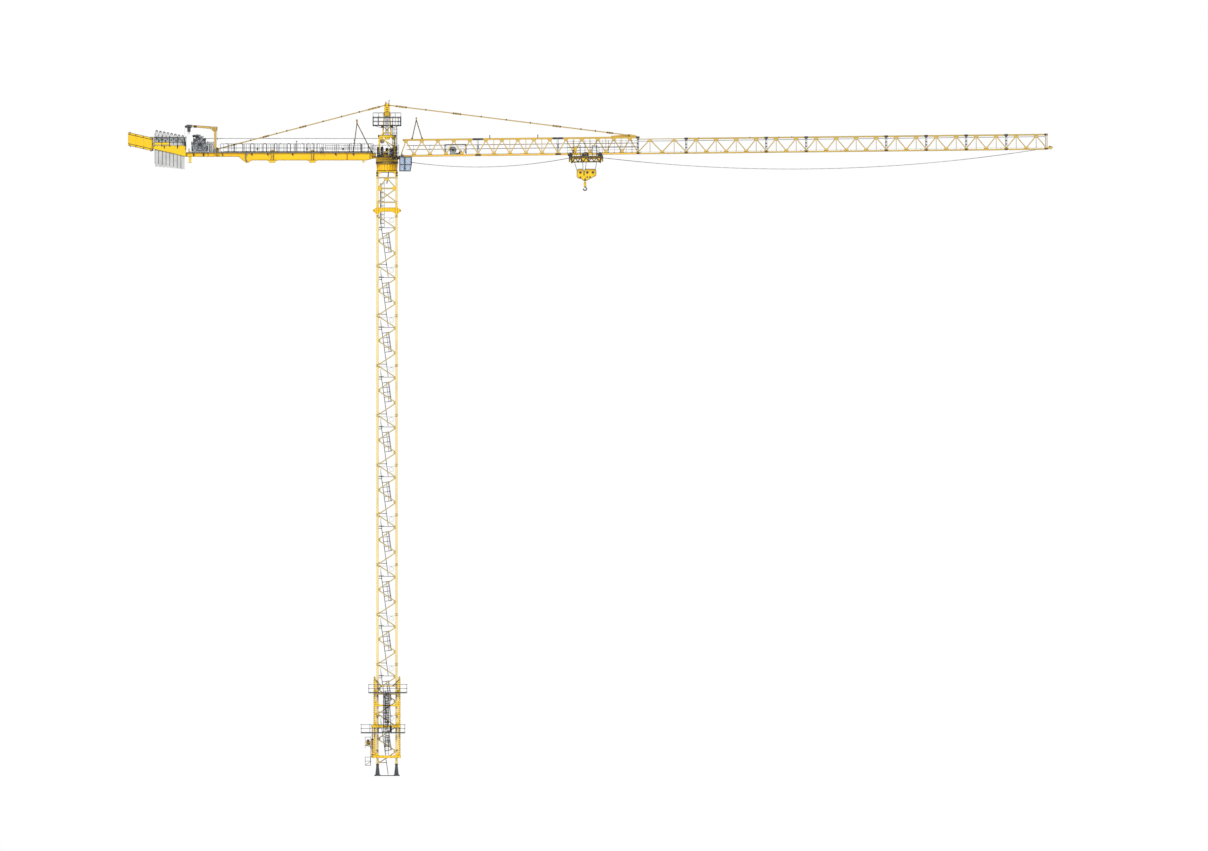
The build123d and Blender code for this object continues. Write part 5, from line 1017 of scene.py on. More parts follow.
def tower_head_fittings():
    """Gussets, base plates, pins, the inner ladder, the lamp and the rod of the tower head."""
    dark, yellow, lens = Pile(), Pile(), Pile()
    foot, upper = 0.096, 0.053
    for x, y in CORNERS:
        leg = Vector((x * foot, y * foot, TURRET_TOP))
        yellow.block(leg + Z * 0.0042, (0.036, 0.036, 0.008))
        for dx, dy in CORNERS:
            dark.bolt(leg + Vector((dx * 0.0145, dy * 0.0145, 0.008)), Z, 0.0018, 0.002)
        corner = [(0, 0), (0.044, 0), (0.03, -0.013), (0.01, -0.036), (0, -0.036)]
        yellow.plate(corner, (x * (foot - 0.0102), y * (foot + 0.008), WAIST - 0.0302), X * -x, Z, 0.004)
        yellow.plate(corner, (x * (foot + 0.008), y * (foot - 0.0102), WAIST - 0.0302), Y * -y, Z, 0.004)
        dark.block((x * 0.106, y * 0.106, WAIST - 0.014), (0.014, 0.014, 0.032), cut=0.002)
        dark.block((x * 0.06, y * 0.06, HEAD_DECK - 0.0135), (0.026, 0.02, 0.026), cut=0.002)
        base = Vector((x * upper, y * upper, WAIST))
        yellow.block(base + Z * 0.004, (0.027, 0.027, 0.008))
        wing = [(0, 0), (0.024, 0), (0.006, 0.03), (0, 0.03)]
        yellow.plate(wing, base + Vector((-x * 0.0078, 0, 0.008)), X * -x, Z, 0.004)
    for side in (-1, 1):
        dark.block((0, side * 0.1074, WAIST - 0.003), (0.214, 0.0026, 0.0062))
        dark.block((side * 0.1074, 0, WAIST - 0.003), (0.0026, 0.214, 0.0062))
        bracket = [(-0.034, 0), (0.04, 0), (0.03, -0.03), (-0.024, -0.03)]
        yellow.plate(bracket, (0, side * 0.0985, WAIST - 0.0302), X, Z, 0.006)
        for x in (-0.018, 0.003, 0.024):
            dark.bolt((x, side * 0.1017, WAIST - 0.044), Y * side, 0.003, 0.003)
        for x in (-0.028, 0.0, 0.028):
            dark.bolt((x, side * 0.0352, HEAD_TOP - 0.138), Y * side, 0.0036, 0.003)
        for x in (-0.02, 0.02):
            dark.cap((x, side * 0.0352, HEAD_TOP - 0.022), Y * side, 0.0095, 0.003, 0.004, 0.007, 16)
        for z in (0.05, 0.075, 0.1):
            dark.block((0, side * 0.0358, HEAD_TOP - z), (0.034, 0.0024, 0.007), cut=0.0006)
        strip = [(-0.046, 0), (-0.046, 0.02), (-0.028, 0.046), (-0.034, 0.046), (-0.05, 0.022), (-0.05, 0)]
        for way in (1, -1):
            dark.plate([(a * way, b) for a, b in strip], (0, side * 0.0356, HEAD_TOP - 0.156), X, Z, 0.003)
    low, high = WAIST + 0.002, HEAD_TOP - 0.157
    for x in (-0.014, 0.014):
        dark.post(x, -0.022, low, high, 0.009, 0.005)
    for k in range(13):
        z = low + 0.012 + (high - low - 0.016) * k / 12
        dark.rod((-0.014, -0.022, z), (0.014, -0.022, z), 0.0032, 6)
    dark.runner(-0.045, 0.045, -0.03, high - 0.002, 0.005, 0.006)
    dark.lathe(
        [(0, 0.0052), (0.003, 0.0064), (0.01, 0.0064), (0.013, 0.004)], (0.028, -0.031, HEAD_TOP + 0.03), Z,
        14)
    dark.cap((-0.014, 0, HEAD_TOP + 0.0002), Z, 0.008, 0.006, 0.007, 0.0065, 16)
    dark.block((0, 0, HEAD_TOP + 0.0006), (0.058, 0.066, 0.003))
    lens.lathe(
        [(0, 0.006), (0.004, 0.0064), (0.012, 0.006), (0.016, 0.004), (0.0175, 0.0015)],
        (-0.014, 0, HEAD_TOP + 0.0072), Z, 20)
    for a in bearings(3):
        cup = Vector((0.016 + 0.01 * cos(a), 0.01 * sin(a), HEAD_TOP + 0.024))
        dark.rod((0.016, 0, HEAD_TOP + 0.024), cup, 0.0008, 6)
        dark.lathe([(-0.002, 0.0012), (0.0, 0.003), (0.002, 0.0032)], cup, (-sin(a), cos(a), 0), 10)
    dark.rod((0.016, 0, HEAD_TOP), (0.016, 0, HEAD_TOP + 0.026), 0.0014, 8)
    dark.make("tower_head_fittings", UPPER, "black", "rail_grey")
    yellow.make("tower_head_plates", UPPER, "yellow", "head_yellow")
    lens.make("tower_head_lamp", UPPER, "red_lamp", "rail_grey")


def head_deck_fittings():
    """Frame, stanchions and grating bars of the deck round the head, and the ladder's straps."""
    dark, bars = Pile(), Pile()
    low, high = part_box("head_deck")
    top, rail_height = HEAD_DECK + 0.0062, 0.112
    for side, y in ((-1, low.y - 0.0014), (1, high.y + 0.0014)):
        dark.block(((low.x + high.x) / 2, y, HEAD_DECK + 0.005), (high.x - low.x, 0.003, 0.016))
        for x in (low.x + 0.006, -0.112, 0.07, 0.14, high.x - 0.008):
            dark.post(x, y, HEAD_DECK, HEAD_DECK + rail_height, 0.008, 0.004)
        for x in (low.x + 0.006, -0.1, 0.082, high.x - 0.008):
            dark.block((x, y, HEAD_DECK + rail_height), (0.014, 0.006, 0.01), cut=0.002)
        for z in (0.059, 0.106):
            dark.block(((low.x + high.x) / 2, y, HEAD_DECK + z), (high.x - low.x - 0.004, 0.003, 0.005))
        for x in (low.x + 0.01, high.x - 0.01):
            dark.block((x, y + side * -0.008, HEAD_DECK + 0.004), (0.024, 0.02, 0.018), cut=0.003)
    for x in (low.x - 0.0014, high.x + 0.0014):
        dark.block((x, 0, HEAD_DECK + 0.005), (0.003, high.y - low.y, 0.016))
        for y in (low.y + 0.006, 0.0, high.y - 0.006):
            dark.post(x, y, HEAD_DECK, HEAD_DECK + rail_height, 0.004, 0.008)
    for k in range(48):
        x = low.x + 0.01 + k * 0.0071
        for start, end in ((low.y + 0.008, -0.064), (0.064, high.y - 0.008)):
            bars.block((x, (start + end) / 2, top + 0.0008), (0.0018, end - start, 0.0026), cut=0.0003)
        if abs(x) > 0.066:
            bars.block((x, 0, top + 0.0008), (0.0018, 0.124, 0.0026), cut=0.0003)
    for x, y in CORNERS:
        dark.beam(
            (x * 0.062, y * 0.062, HEAD_DECK - 0.026), (x * 0.15, y * 0.062, HEAD_DECK - 0.001), 0.006, 0.006)
    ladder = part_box("head_ladder")
    hoops = [TURRET_TOP + 0.112 + 0.06 * k for k in range(5)]
    for a in (200, 235, 270, 305, 340):
        spot = Vector((0.096 + 0.035 * cos(radians(a)), -0.161 + 0.035 * sin(radians(a)), 0))
        dark.beam(spot + Z * (hoops[0] - 0.012), spot + Z * (hoops[-1] + 0.016), 0.0032, 0.0032)
    for x in (0.073, 0.119):
        dark.post(x, -0.1385, TURRET_TOP + 0.002, ladder[1].z, 0.0052, 0.0036)
    dark.make("head_deck_frame", UPPER, "black", "rail_grey")
    bars.make("head_deck_grating", UPPER, "zinc", "deck_grey")


def cab_fittings():
    """Chair, desks, wipers, handle, roof unit, visor and lamps of the cab."""
    dark, light = Pile(), Pile()
    floor, middle = 7.5573, -0.237
    dark.lathe(
        [(0, 0.022), (0.006, 0.022), (0.01, 0.009), (0.034, 0.009), (0.036, 0.016)],
        (0.212, middle, floor + 0.0062), Z, 18)
    dark.block((0.212, middle, floor + 0.049), (0.05, 0.052, 0.012), cut=0.004)
    lean = Matrix.Rotation(radians(-12), 3, "Y")
    dark.block((0.181, middle, floor + 0.089), (0.012, 0.05, 0.076), lean, 0.005)
    dark.block((0.172, middle, floor + 0.137), (0.01, 0.03, 0.018), lean, 0.004)
    for side in (-1, 1):
        y = middle + side * 0.04
        dark.block((0.222, y, floor + 0.046), (0.05, 0.018, 0.04), cut=0.003)
        light.block((0.222, y, floor + 0.0675), (0.044, 0.015, 0.003), cut=0.001)
        dark.rod((0.236, y, floor + 0.067), (0.24, y, floor + 0.088), 0.0024)
        dark.lathe([(0, 0.0042), (0.006, 0.0052), (0.01, 0.003)], (0.24, y, floor + 0.086), Z, 12)
    dark.block((0.286, middle, floor + 0.032), (0.01, 0.07, 0.044), cut=0.003)
    light.block((0.283, middle - 0.02, floor + 0.11), (0.005, 0.04, 0.028), cut=0.002)
    dark.rod((0.286, middle - 0.02, floor + 0.05), (0.285, middle - 0.02, floor + 0.1), 0.002)
    front = 0.3102
    for y in (middle - 0.03, middle + 0.03):
        dark.rod((front, y, 7.65), (front - 0.0005, y + 0.022, 7.715), 0.0016, 6)
        dark.beam((front - 0.0006, y + 0.015, 7.672), (front - 0.0006, y + 0.026, 7.732), 0.003, 0.003)
        dark.lathe([(-0.004, 0.005), (0.001, 0.005)], (front - 0.002, y, 7.648), X, 12)
    side = -0.3153
    for x, low, high in ((0.229, 7.565, 7.736), (0.299, 7.642, 7.736), (0.16, 7.565, 7.736)):
        dark.post(x, side, low, high, 0.005, 0.0034)
    for z in (7.5606, 7.6415, 7.74):
        dark.runner(0.156, 0.295 if z < 7.6 else 0.308, side, z, 0.003, 0.0032)
    light.post(0.223, side, 7.6, 7.632, 0.003, 0.0034)
    visor = Matrix.Rotation(radians(10), 3, "Y")
    dark.block((0.308, middle, 7.742), (0.02, 0.15, 0.003), visor, 0.0008)
    roof, unit_x, unit_y = 7.7436, 0.188, -0.256
    light.block((unit_x, unit_y, roof + 0.01), (0.05, 0.074, 0.02), cut=0.003)
    for k in range(7):
        dark.block((unit_x, -0.2936, roof + 0.004 + k * 0.0024), (0.04, 0.0012, 0.0012), cut=0.0002)
    dark.ring((unit_x, unit_y, roof + 0.0204), Z, 0.018, 0.0012, 24)
    fan = Vector((unit_x, unit_y, roof + 0.0206))
    for k in range(6):
        a = pi * k / 6
        way = Vector((cos(a), sin(a), 0)) * 0.017
        dark.beam(fan - way, fan + way, 0.0012, 0.0012)
    for y in (-0.3, -0.176):
        dark.rod((0.285, y, roof - 0.001), (0.285, y, roof + 0.01), 0.003)
        light.lathe(
            [(-0.008, 0.006), (0.004, 0.01), (0.006, 0.009)], (0.287, y, roof + 0.013), (1, 0, -0.4), 16)
    for x in (0.17, 0.23, 0.29):
        dark.block((x, -0.1545, 7.718), (0.012, 0.008, 0.036), cut=0.001)
    dark.make("cab_trim", UPPER, "black", "cab_black")
    light.make("cab_panels", UPPER, "cabinet", "cabinet_grey")


# Jib

JIB_AXIS = Vector((1, 0, JIB_RISE)).normalized()
JIB_UP = Vector((-JIB_RISE, 0, 1)).normalized()
JIB_TURN = Matrix((JIB_AXIS, Y, JIB_UP)).transposed()
INNER_LENGTH = sum(INNER_LENGTHS)
JIB_LENGTH = INNER_LENGTH + sum(OUTER_LENGTHS)
GAUGE_HALF = GAUGE / 2
RAIL_LINES = ((0.092, 0.0486), (0.142, 0.0248))


def on_jib(u, y, w):
    """Gives the place on the crane of a point of the level jib."""
    return Vector((JIB_ROOT, 0, TURRET_TOP)) + JIB_AXIS * u + Y * y + JIB_UP * w


def jib_sections():
    """Lists each section's start, end, lower nodes, upper nodes and depth."""
    sections, start = [], 0.0
    for length in INNER_LENGTHS + OUTER_LENGTHS:
        inner = start < INNER_LENGTH - 0.01
        count = round(length / (0.2 if inner else 0.25))
        pitch = 0.2 if inner else length / count
        low = [start] + [start + length - pitch * k for k in range(count - 1, -1, -1)]
        high = [start + length - pitch * (k + 0.5) for k in range(count - 1, -1, -1)]
        if inner:
            low = [u for k, u in enumerate(low) if k == 0 or u > start + 0.06]
        sections.append((start, start + length, low, high, INNER_DEPTH if inner else OUTER_DEPTH))
        start += length
    return sections


def jib_gussets():
    """Plates where the lacing meets the chords, on both leaning sides and on the floor."""
    plates = Pile()
    for _, _, low, high, depth in jib_sections():
        chord = CHORD if depth == INNER_DEPTH else CHORD - 0.004
        for side in (-1, 1):
            lean = Vector((0, -side * GAUGE_HALF, depth - CHORD / 2)).normalized()
            lean = JIB_TURN @ lean
            share = (chord + 0.001 - CHORD / 2) / (depth - CHORD / 2)
            for u in low:
                flip = 0.4 if u in (low[0], low[-1]) else 1.0
                left = 0 if u == low[0] else 0.03
                right = 0 if u == low[-1] else 0.03
                outline = [
                    (-left, 0), (right, 0), (right * 0.5, 0.02 * flip + 0.008),
                    (-left * 0.5, 0.02 * flip + 0.008)]
                if left + right > 0:
                    spot = on_jib(u, side * GAUGE_HALF * (1 - share), chord + 0.001)
                    plates.plate(outline, spot, JIB_AXIS, lean, 0.0094)
            for u in high:
                share_top = (depth - 0.014 - CHORD / 2) / (depth - CHORD / 2)
                spot = on_jib(u, side * (GAUGE_HALF * (1 - share_top) + 0.0004), depth - 0.014)
                plates.plate(
                    [(-0.03, 0.002), (0.03, 0.002), (0.014, -0.024), (-0.014, -0.024)], spot, JIB_AXIS, lean,
                    0.0094)
            for u in low[1:-1]:
                floor_plate = [(-0.026, 0), (0.026, 0), (0.012, -0.02), (-0.012, -0.02)]
                plates.plate(
                    floor_plate, on_jib(u, side * (GAUGE_HALF - CHORD / 2), 0.012), JIB_AXIS, Y * side, 0.0094
                )
    plates.make("jib_gussets", UPPER, "jib", "jib_yellow")


def jib_joints():
    """Fishplates, pins and end frames where the sections of the jib meet, in dark steel."""
    dark, bars = Pile(), Pile()
    joints = [section[1] for section in jib_sections()]
    for n, u in enumerate(joints):
        inner = n < 2
        depth = INNER_DEPTH if n < 3 else OUTER_DEPTH
        size = 0.012 if n < 3 else 0.01
        reach = 0.067 if inner else 0.022
        for side in (-1, 1):
            y = side * (size + 0.0026)
            spot = on_jib(u, y, depth - (0.0 if inner else 0.001))
            oval = [
                (-reach, 0.006), (-reach + 0.01, 0.013), (-0.012, 0.013), (0, 0.009), (0.012, 0.013),
                (reach - 0.01, 0.013), (reach, 0.006), (reach, -0.006), (reach - 0.01, -0.013),
                (0.012, -0.013), (0, -0.009), (-0.012, -0.013), (-reach + 0.01, -0.013), (-reach, -0.006)]
            short = [(-reach, -0.012), (reach, -0.012), (reach, 0.014), (-reach, 0.014)]
            dark.plate(oval if inner else short, spot, JIB_AXIS, JIB_UP, 0.0044)
            for du in ((-0.052, -0.03, 0.03, 0.052) if inner else (-0.013, 0.013)):
                bars.bolt(spot + JIB_AXIS * du + Y * side * 0.0023, Y * side, 0.0038, 0.004)
            low_spot = on_jib(u, side * (GAUGE_HALF + CHORD / 2 + 0.0022), 0.0135)
            low_reach = 0.034 if inner else 0.018
            dark.plate(
                [(-low_reach, -0.0075), (low_reach, -0.0075), (low_reach, 0.0075), (-low_reach, 0.0075)],
                low_spot, JIB_AXIS, JIB_UP, 0.004)
            for du in (-low_reach * 0.55, low_reach * 0.55):
                bars.bolt(low_spot + JIB_AXIS * du + Y * side * 0.002, Y * side, 0.0036, 0.0035)
            inside = on_jib(u, side * (GAUGE_HALF - CHORD / 2 - 0.0022), 0.0145)
            dark.plate(
                [(-low_reach, -0.009), (low_reach, -0.009), (low_reach, 0.009), (-low_reach, 0.009)],
                inside, JIB_AXIS, JIB_UP, 0.004)
            for du in ((-0.009, 0.009) if n < len(joints) - 1 else (-0.009,)):
                bottom = on_jib(u + du, side * (GAUGE_HALF - 0.006), CHORD)
                top = on_jib(u + du, side * 0.009, depth - 0.012)
                bars.rod(bottom, top, 0.0026 if inner else 0.0036, 6)
            if not inner and n < len(joints) - 1:
                for share in (0.04, 0.35, 0.62, 0.94):
                    spot = on_jib(
                        u, side * (GAUGE_HALF - 0.003) * (1 - share * 0.93), 0.024 + (depth - 0.036) * share)
                    dark.block(spot, (0.014, 0.008, 0.014), JIB_TURN, 0.003)
    dark.make("jib_joint_plates", UPPER, "black", "rail_grey")
    bars.make("jib_joint_pins", UPPER, "machine", "rail_grey")


def jib_walk_details():
    """Stanchions, rail ends and bars of the walkway, posts on the top chord and the guard fence."""
    rails, bars = Pile(), Pile()
    gap_start, gap_end = 0.53, 0.83
    for u in [0.16 + 0.2 * k for k in range(14)]:
        if gap_start < u < gap_end:
            continue
        for side in (-1, 1):
            knee, head = [on_jib(u, side * y, w) for w, y in RAIL_LINES]
            rails.beam(on_jib(u, side * 0.0285, 0.019), knee, 0.0036, 0.0036)
            rails.beam(knee, head, 0.0036, 0.0036)
    for u in (0.99, 1.987):
        for side in (-1, 1):
            (low_w, low_y), (high_w, high_y) = RAIL_LINES
            turn = []
            for k in range(13):
                a = pi * k / 12
                w = (low_w + high_w) / 2 - (high_w - low_w) / 2 * cos(a)
                y = low_y + (high_y - low_y) * (w - low_w) / (high_w - low_w)
                turn.append(on_jib(u - 0.025 * sin(a), side * y, w))
            rails.tube(turn, 0.003, 8)
    for k in range(int((INNER_LENGTH - 0.14) / 0.0125)):
        u = 0.125 + k * 0.0125
        if gap_start < u < gap_end + 0.005:
            continue
        bars.block(on_jib(u, 0, 0.02), (0.0022, 0.056, 0.0026), JIB_TURN, 0.0003)
    for side in (-1, 1):
        for low, high in ((0.122, 0.533), (0.832, INNER_LENGTH - 0.01)):
            bars.block(
                on_jib((low + high) / 2, side * 0.0292, 0.0225), (high - low, 0.0014, 0.008), JIB_TURN, 0.0003
            )
    for x in (1.2875, 1.8875, 3.9, 4.5375, 4.9, 5.0625):
        u = (x - JIB_ROOT) / JIB_AXIS.x
        depth = INNER_DEPTH if u < INNER_LENGTH else OUTER_DEPTH
        half = 0.012 if u < INNER_LENGTH + 0.6 else 0.01
        if u < INNER_LENGTH:
            rails.block(on_jib(u, 0, depth + half + 0.002), (0.018, 0.018, 0.004), JIB_TURN, 0.001)
            rails.beam(on_jib(u, 0, depth + half), on_jib(u, 0, depth + half + 0.036), 0.01, 0.008)
            rails.cap(on_jib(u, 0, depth + half + 0.03), JIB_UP, 0.007, 0.006, 0.008, 0.005, 12)
        else:
            rails.block(on_jib(u, 0, depth + half - 0.003), (0.012, 0.024, 0.012), JIB_TURN, 0.002)
    fence = [(2.08 + 0.0735 * k) for k in range(13)]
    for side in (-1, 1):
        def beside_lacing(u, w):
            return on_jib(
                u, side * (GAUGE_HALF * (1 - (w - CHORD / 2) / (INNER_DEPTH - CHORD / 2)) + 0.009), w)
        for w in (0.06, 0.1, 0.142, 0.172):
            rails.beam(beside_lacing(2.075, w), beside_lacing(2.962, w), 0.0032, 0.0026)
        for k, u in enumerate(fence):
            rails.beam(beside_lacing(u, 0.026), beside_lacing(u, 0.186), 0.0048 if k % 2 else 0.0028, 0.0028)
            for w in ((0.06, 0.1, 0.142) if k % 2 else ()):
                rails.block(beside_lacing(u, w), (0.01, 0.006, 0.01), JIB_TURN, 0.002)
            rails.block(beside_lacing(u, 0.03), (0.01, 0.008, 0.008), JIB_TURN, 0.0015)
    rails.make("jib_handrail_posts", UPPER, "rail", "rail_grey")
    bars.make("jib_walkway_bars", UPPER, "zinc", "deck_grey")


def trolley_winch_details():
    """Windings, bolts and cables of the trolley winch, and the travel ropes' sheave at the tip."""
    dark, steel, light = Pile(), Pile(), Pile()
    base, travel_rope = 0.0163, 0.06
    drum_u, drum_w = 0.65, base + 0.064
    windings, steps = 17, 20
    coil = []
    for k in range(windings * steps + 1):
        a = 2 * pi * k / steps
        coil.append(
            on_jib(drum_u + 0.0315 * cos(a), -0.02 + 0.04 * k / (windings * steps), drum_w + 0.0315 * sin(a)))
    steel.tube(coil, 0.0013, 6)
    for side in (-1, 1):
        hub = on_jib(drum_u, side * 0.0358, drum_w)
        dark.cap(hub, Y * side, 0.014, 0.004, 0.007, 0.009, 18)
        dark.ring(on_jib(drum_u, side * 0.028, drum_w), Y, 0.043, 0.0016, 30)
        for a in bearings(6):
            steel.bolt(
                on_jib(drum_u + 0.034 * cos(a), side * 0.0281, drum_w + 0.034 * sin(a)), Y * side, 0.0022,
                0.002)
            dark.beam(
                on_jib(drum_u + 0.012 * cos(a), side * 0.0284, drum_w + 0.012 * sin(a)),
                on_jib(drum_u + 0.041 * cos(a), side * 0.0284, drum_w + 0.041 * sin(a)), 0.0032, 0.0016)
    for k in range(9):
        dark.ring(on_jib(drum_u + 0.095, -0.03 + k * 0.0075, base + 0.03), Y, 0.0224, 0.0011, 22, 4)
    dark.cap(on_jib(drum_u + 0.095, -0.0335, base + 0.03), -Y, 0.023, 0.01, 0.013, 0.017, 20)
    light.block(on_jib(drum_u + 0.095, 0, base + 0.058), (0.024, 0.024, 0.014), JIB_TURN, 0.002)
    for u in (0.56, 0.805):
        light.block(on_jib(u, 0.0, base + 0.06), (0.018, 0.04, 0.05), JIB_TURN, 0.002)
        for w in (0.03, 0.08, 0.115):
            dark.block(on_jib(u, 0, base + w), (0.014, 0.014, 0.01), JIB_TURN, 0.002)
    for u in (0.555, 0.585, 0.79, 0.81):
        for y in (-0.038, 0.038):
            steel.bolt(on_jib(u, y, base + 0.006), JIB_UP, 0.0026, 0.003)
    for w in (0.102, 0.134):
        dark.beam(on_jib(0.548, -0.036, base + w), on_jib(0.817, -0.036, base + w), 0.0034, 0.0034)
    for u in (0.548, 0.817):
        dark.beam(on_jib(u, -0.036, base + 0.004), on_jib(u, -0.036, base + 0.134), 0.006, 0.005)
        dark.beam(on_jib(u, -0.036, base + 0.134), on_jib(u, 0.0, base + 0.134), 0.0034, 0.0034)
    tip = JIB_LENGTH + 0.046
    for side in (-1, 1):
        dark.lathe(
            [(-0.003, 0.011), (-0.002, 0.016), (0.002, 0.016), (0.003, 0.011)],
            on_jib(tip, side * travel_rope, 0.034), Y, 20)
        steel.bolt(on_jib(tip, side * 0.063, 0.034), Y * side, 0.004, 0.003)
        dark.beam(
            on_jib(JIB_LENGTH + 0.022, side * travel_rope, 0.026), on_jib(tip, side * travel_rope, 0.034),
            0.01, 0.003)
        dark.block(
            on_jib(JIB_LENGTH + 0.01, side * (GAUGE_HALF + 0.008), 0.014), (0.02, 0.01, 0.016), JIB_TURN,
            0.002)
    for side in (-1, 1):
        steel.beam(
            on_jib(0.7, side * travel_rope, 0.03), on_jib(JIB_LENGTH + 0.04, side * travel_rope, 0.0345),
            0.0018, 0.0018)
    for u in [1.0 + 0.5 * k for k in range(14)]:
        for side in (-1, 1):
            dark.block(on_jib(u, side * travel_rope, 0.026), (0.008, 0.008, 0.01), JIB_TURN, 0.0015)
            dark.beam(
                on_jib(u, side * travel_rope, 0.021), on_jib(u, side * (GAUGE_HALF - 0.01), 0.018), 0.004,
                0.004)
    lug = INNER_LENGTH - 0.11
    for side in (-1, 1):
        dark.cap(on_jib(lug, side * 0.017, INNER_DEPTH + 0.028), Y * side, 0.01, 0.003, 0.0045, 0.007, 16)
    dark.make("trolley_winch_dark", UPPER, "black", "machine_grey")
    steel.make("trolley_winch_steel", UPPER, "steel", "steel")
    light.make("trolley_winch_boxes", UPPER, "cabinet", "cabinet_grey")


GANTRY_FOOT = TURRET_TOP + 0.06
REAR_GANTRY = Vector((-0.375, 0, TURRET_TOP + 0.054 + 0.415))
REAR_SHOES = (-0.422, -0.191)
FRONT_GANTRY = on_jib(0.197, 0, INNER_DEPTH + 0.28)
FRONT_SHOES = (0.141, 0.266)


def gantry_and_tie_details():
    """Tan heads, pins and shoes of the erection gantries, and bolts and straps on the tie bars."""
    dark, tan_parts = Pile(), Pile()
    apex = REAR_GANTRY
    cap = [
        (-0.0095, -0.05), (0.0095, -0.05), (0.0105, -0.012), (0.004, 0.0), (-0.012, 0.0), (-0.0125, -0.012)]
    tan_parts.plate(cap, apex - Z * 0.0005, X, Z, 0.034)
    for side in (-1, 1):
        dark.cap(apex + Vector((0, side * 0.016, -0.056)), Y * side, 0.0075, 0.004, 0.005, 0.005, 14)
        tan_parts.ring(apex + Vector((-0.001, side * 0.018, -0.014)), Y, 0.0075, 0.002, 16)
        for x in REAR_SHOES:
            shoe = Vector((x, side * 0.09, GANTRY_FOOT))
            dark.plate(
                [(-0.016, 0), (0.016, 0), (0.008, 0.02), (-0.008, 0.02)], shoe + Y * side * 0.0062, X, Z,
                0.003)
            dark.bolt(shoe + Vector((0, side * 0.0078, 0.012)), Y * side, 0.0034, 0.003)
            dark.block(shoe + Z * 0.002, (0.032, 0.026, 0.005))
    post = Vector((-0.4165, -0.078, TURRET_TOP + 0.15))
    for z in (0.0, 0.05, 0.09):
        dark.block(post + Vector((z * 0.1, z * 0.17, z - 0.03)), (0.015, 0.014, 0.016), cut=0.002)
    top = FRONT_GANTRY
    tan_parts.plate(
        [(-0.0085, -0.036), (0.0085, -0.036), (0.0095, -0.008), (0.002, 0.0045), (-0.0095, -0.006)], top, X,
        Z, 0.0225)
    for side in (-1, 1):
        dark.cap(top + Vector((0, side * 0.0085, -0.042)), Y * side, 0.007, 0.003, 0.004, 0.0045, 14)
        tan_parts.ring(top + Vector((0, side * 0.012, -0.008)), Y, 0.0065, 0.0018, 16)
        for u in FRONT_SHOES:
            shoe = on_jib(u, side * 0.0085, INNER_DEPTH + 0.012)
            dark.plate(
                [(-0.013, 0), (0.013, 0), (0.006, 0.018), (-0.006, 0.018)], shoe, JIB_AXIS, JIB_UP, 0.003)
            dark.bolt(shoe + JIB_UP * 0.011 + Y * side * 0.0015, Y * side, 0.003, 0.003)
    pin_level = HEAD_TOP - 0.022
    front = (Vector((0.02, 0, pin_level)), on_jib(INNER_LENGTH - 0.11, 0, INNER_DEPTH + 0.028))
    rear = (Vector((-0.02, 0, pin_level)), Vector((-2.125, 0, TURRET_TOP + 0.098)))
    for (start, end), half, shares, spots in (
        (
            front, 0.0165, ((0.053, 0.022), (0.284, 0.016), (0.7, 0.016), (0.92, 0.012)),
            (0.155, 0.385, 0.49, 0.59, 0.8, 0.86)),
        (
            rear, 0.0, ((0.068, 0.034), (0.49, 0.018), (0.71, 0.016)),
            (0.155, 0.26, 0.37, 0.585, 0.645, 0.8, 0.9))
    ):
        way = (end - start).normalized()
        up = Vector((-way.z, 0, way.x)) * (1 if way.x > 0 else -1)
        turn = Matrix((way, Y, way.cross(Y))).transposed()
        for side in (-1, 1):
            for share, reach in shares:
                y = half if half else 0.016 + (0.071 - 0.016) * share + 0.0062
                for step in (-0.8, -0.3, 0.3, 0.8):
                    spot = start + (end - start) * (share + reach * step)
                    dark.bolt(Vector((spot.x, side * y, spot.z)), Y * side, 0.0048, 0.0042)
                for step in (-1, 0, 1):
                    spot = start + (end - start) * (share + reach * step)
                    dark.block((spot.x, side * (y - 0.001), spot.z), (0.006, 0.004, 0.025), turn, 0.001)
            for share in spots:
                spot = start + (end - start) * share
                y = 0.011 if half else 0.016 + (0.071 - 0.016) * share
                dark.block((spot.x, side * y, spot.z), (0.013, 0.009, 0.0185), turn, 0.002)
                dark.block(
                    Vector((spot.x, side * y, spot.z)) + up * 0.009, (0.018, 0.007, 0.005), turn, 0.001)
    dark.make("tie_and_gantry_pins", UPPER, "black", "rail_grey")
    tan_parts.make("gantry_heads", UPPER, "tie", "tie_grey")


# Counter jib

DECK_TOP = TURRET_TOP + 0.054
DECK_FACE = DECK_TOP + 0.0063
GIRDER_BOTTOM = DECK_TOP - 0.097
GIRDER_FACE = GIRDER_SPACING / 2 + 0.015
BALLAST_TOP = DECK_TOP + 0.092
WINCH_X = -2.34
WINCH_AXIS = TURRET_TOP + 0.16
ROPE_LEVEL = TURRET_TOP + 0.232


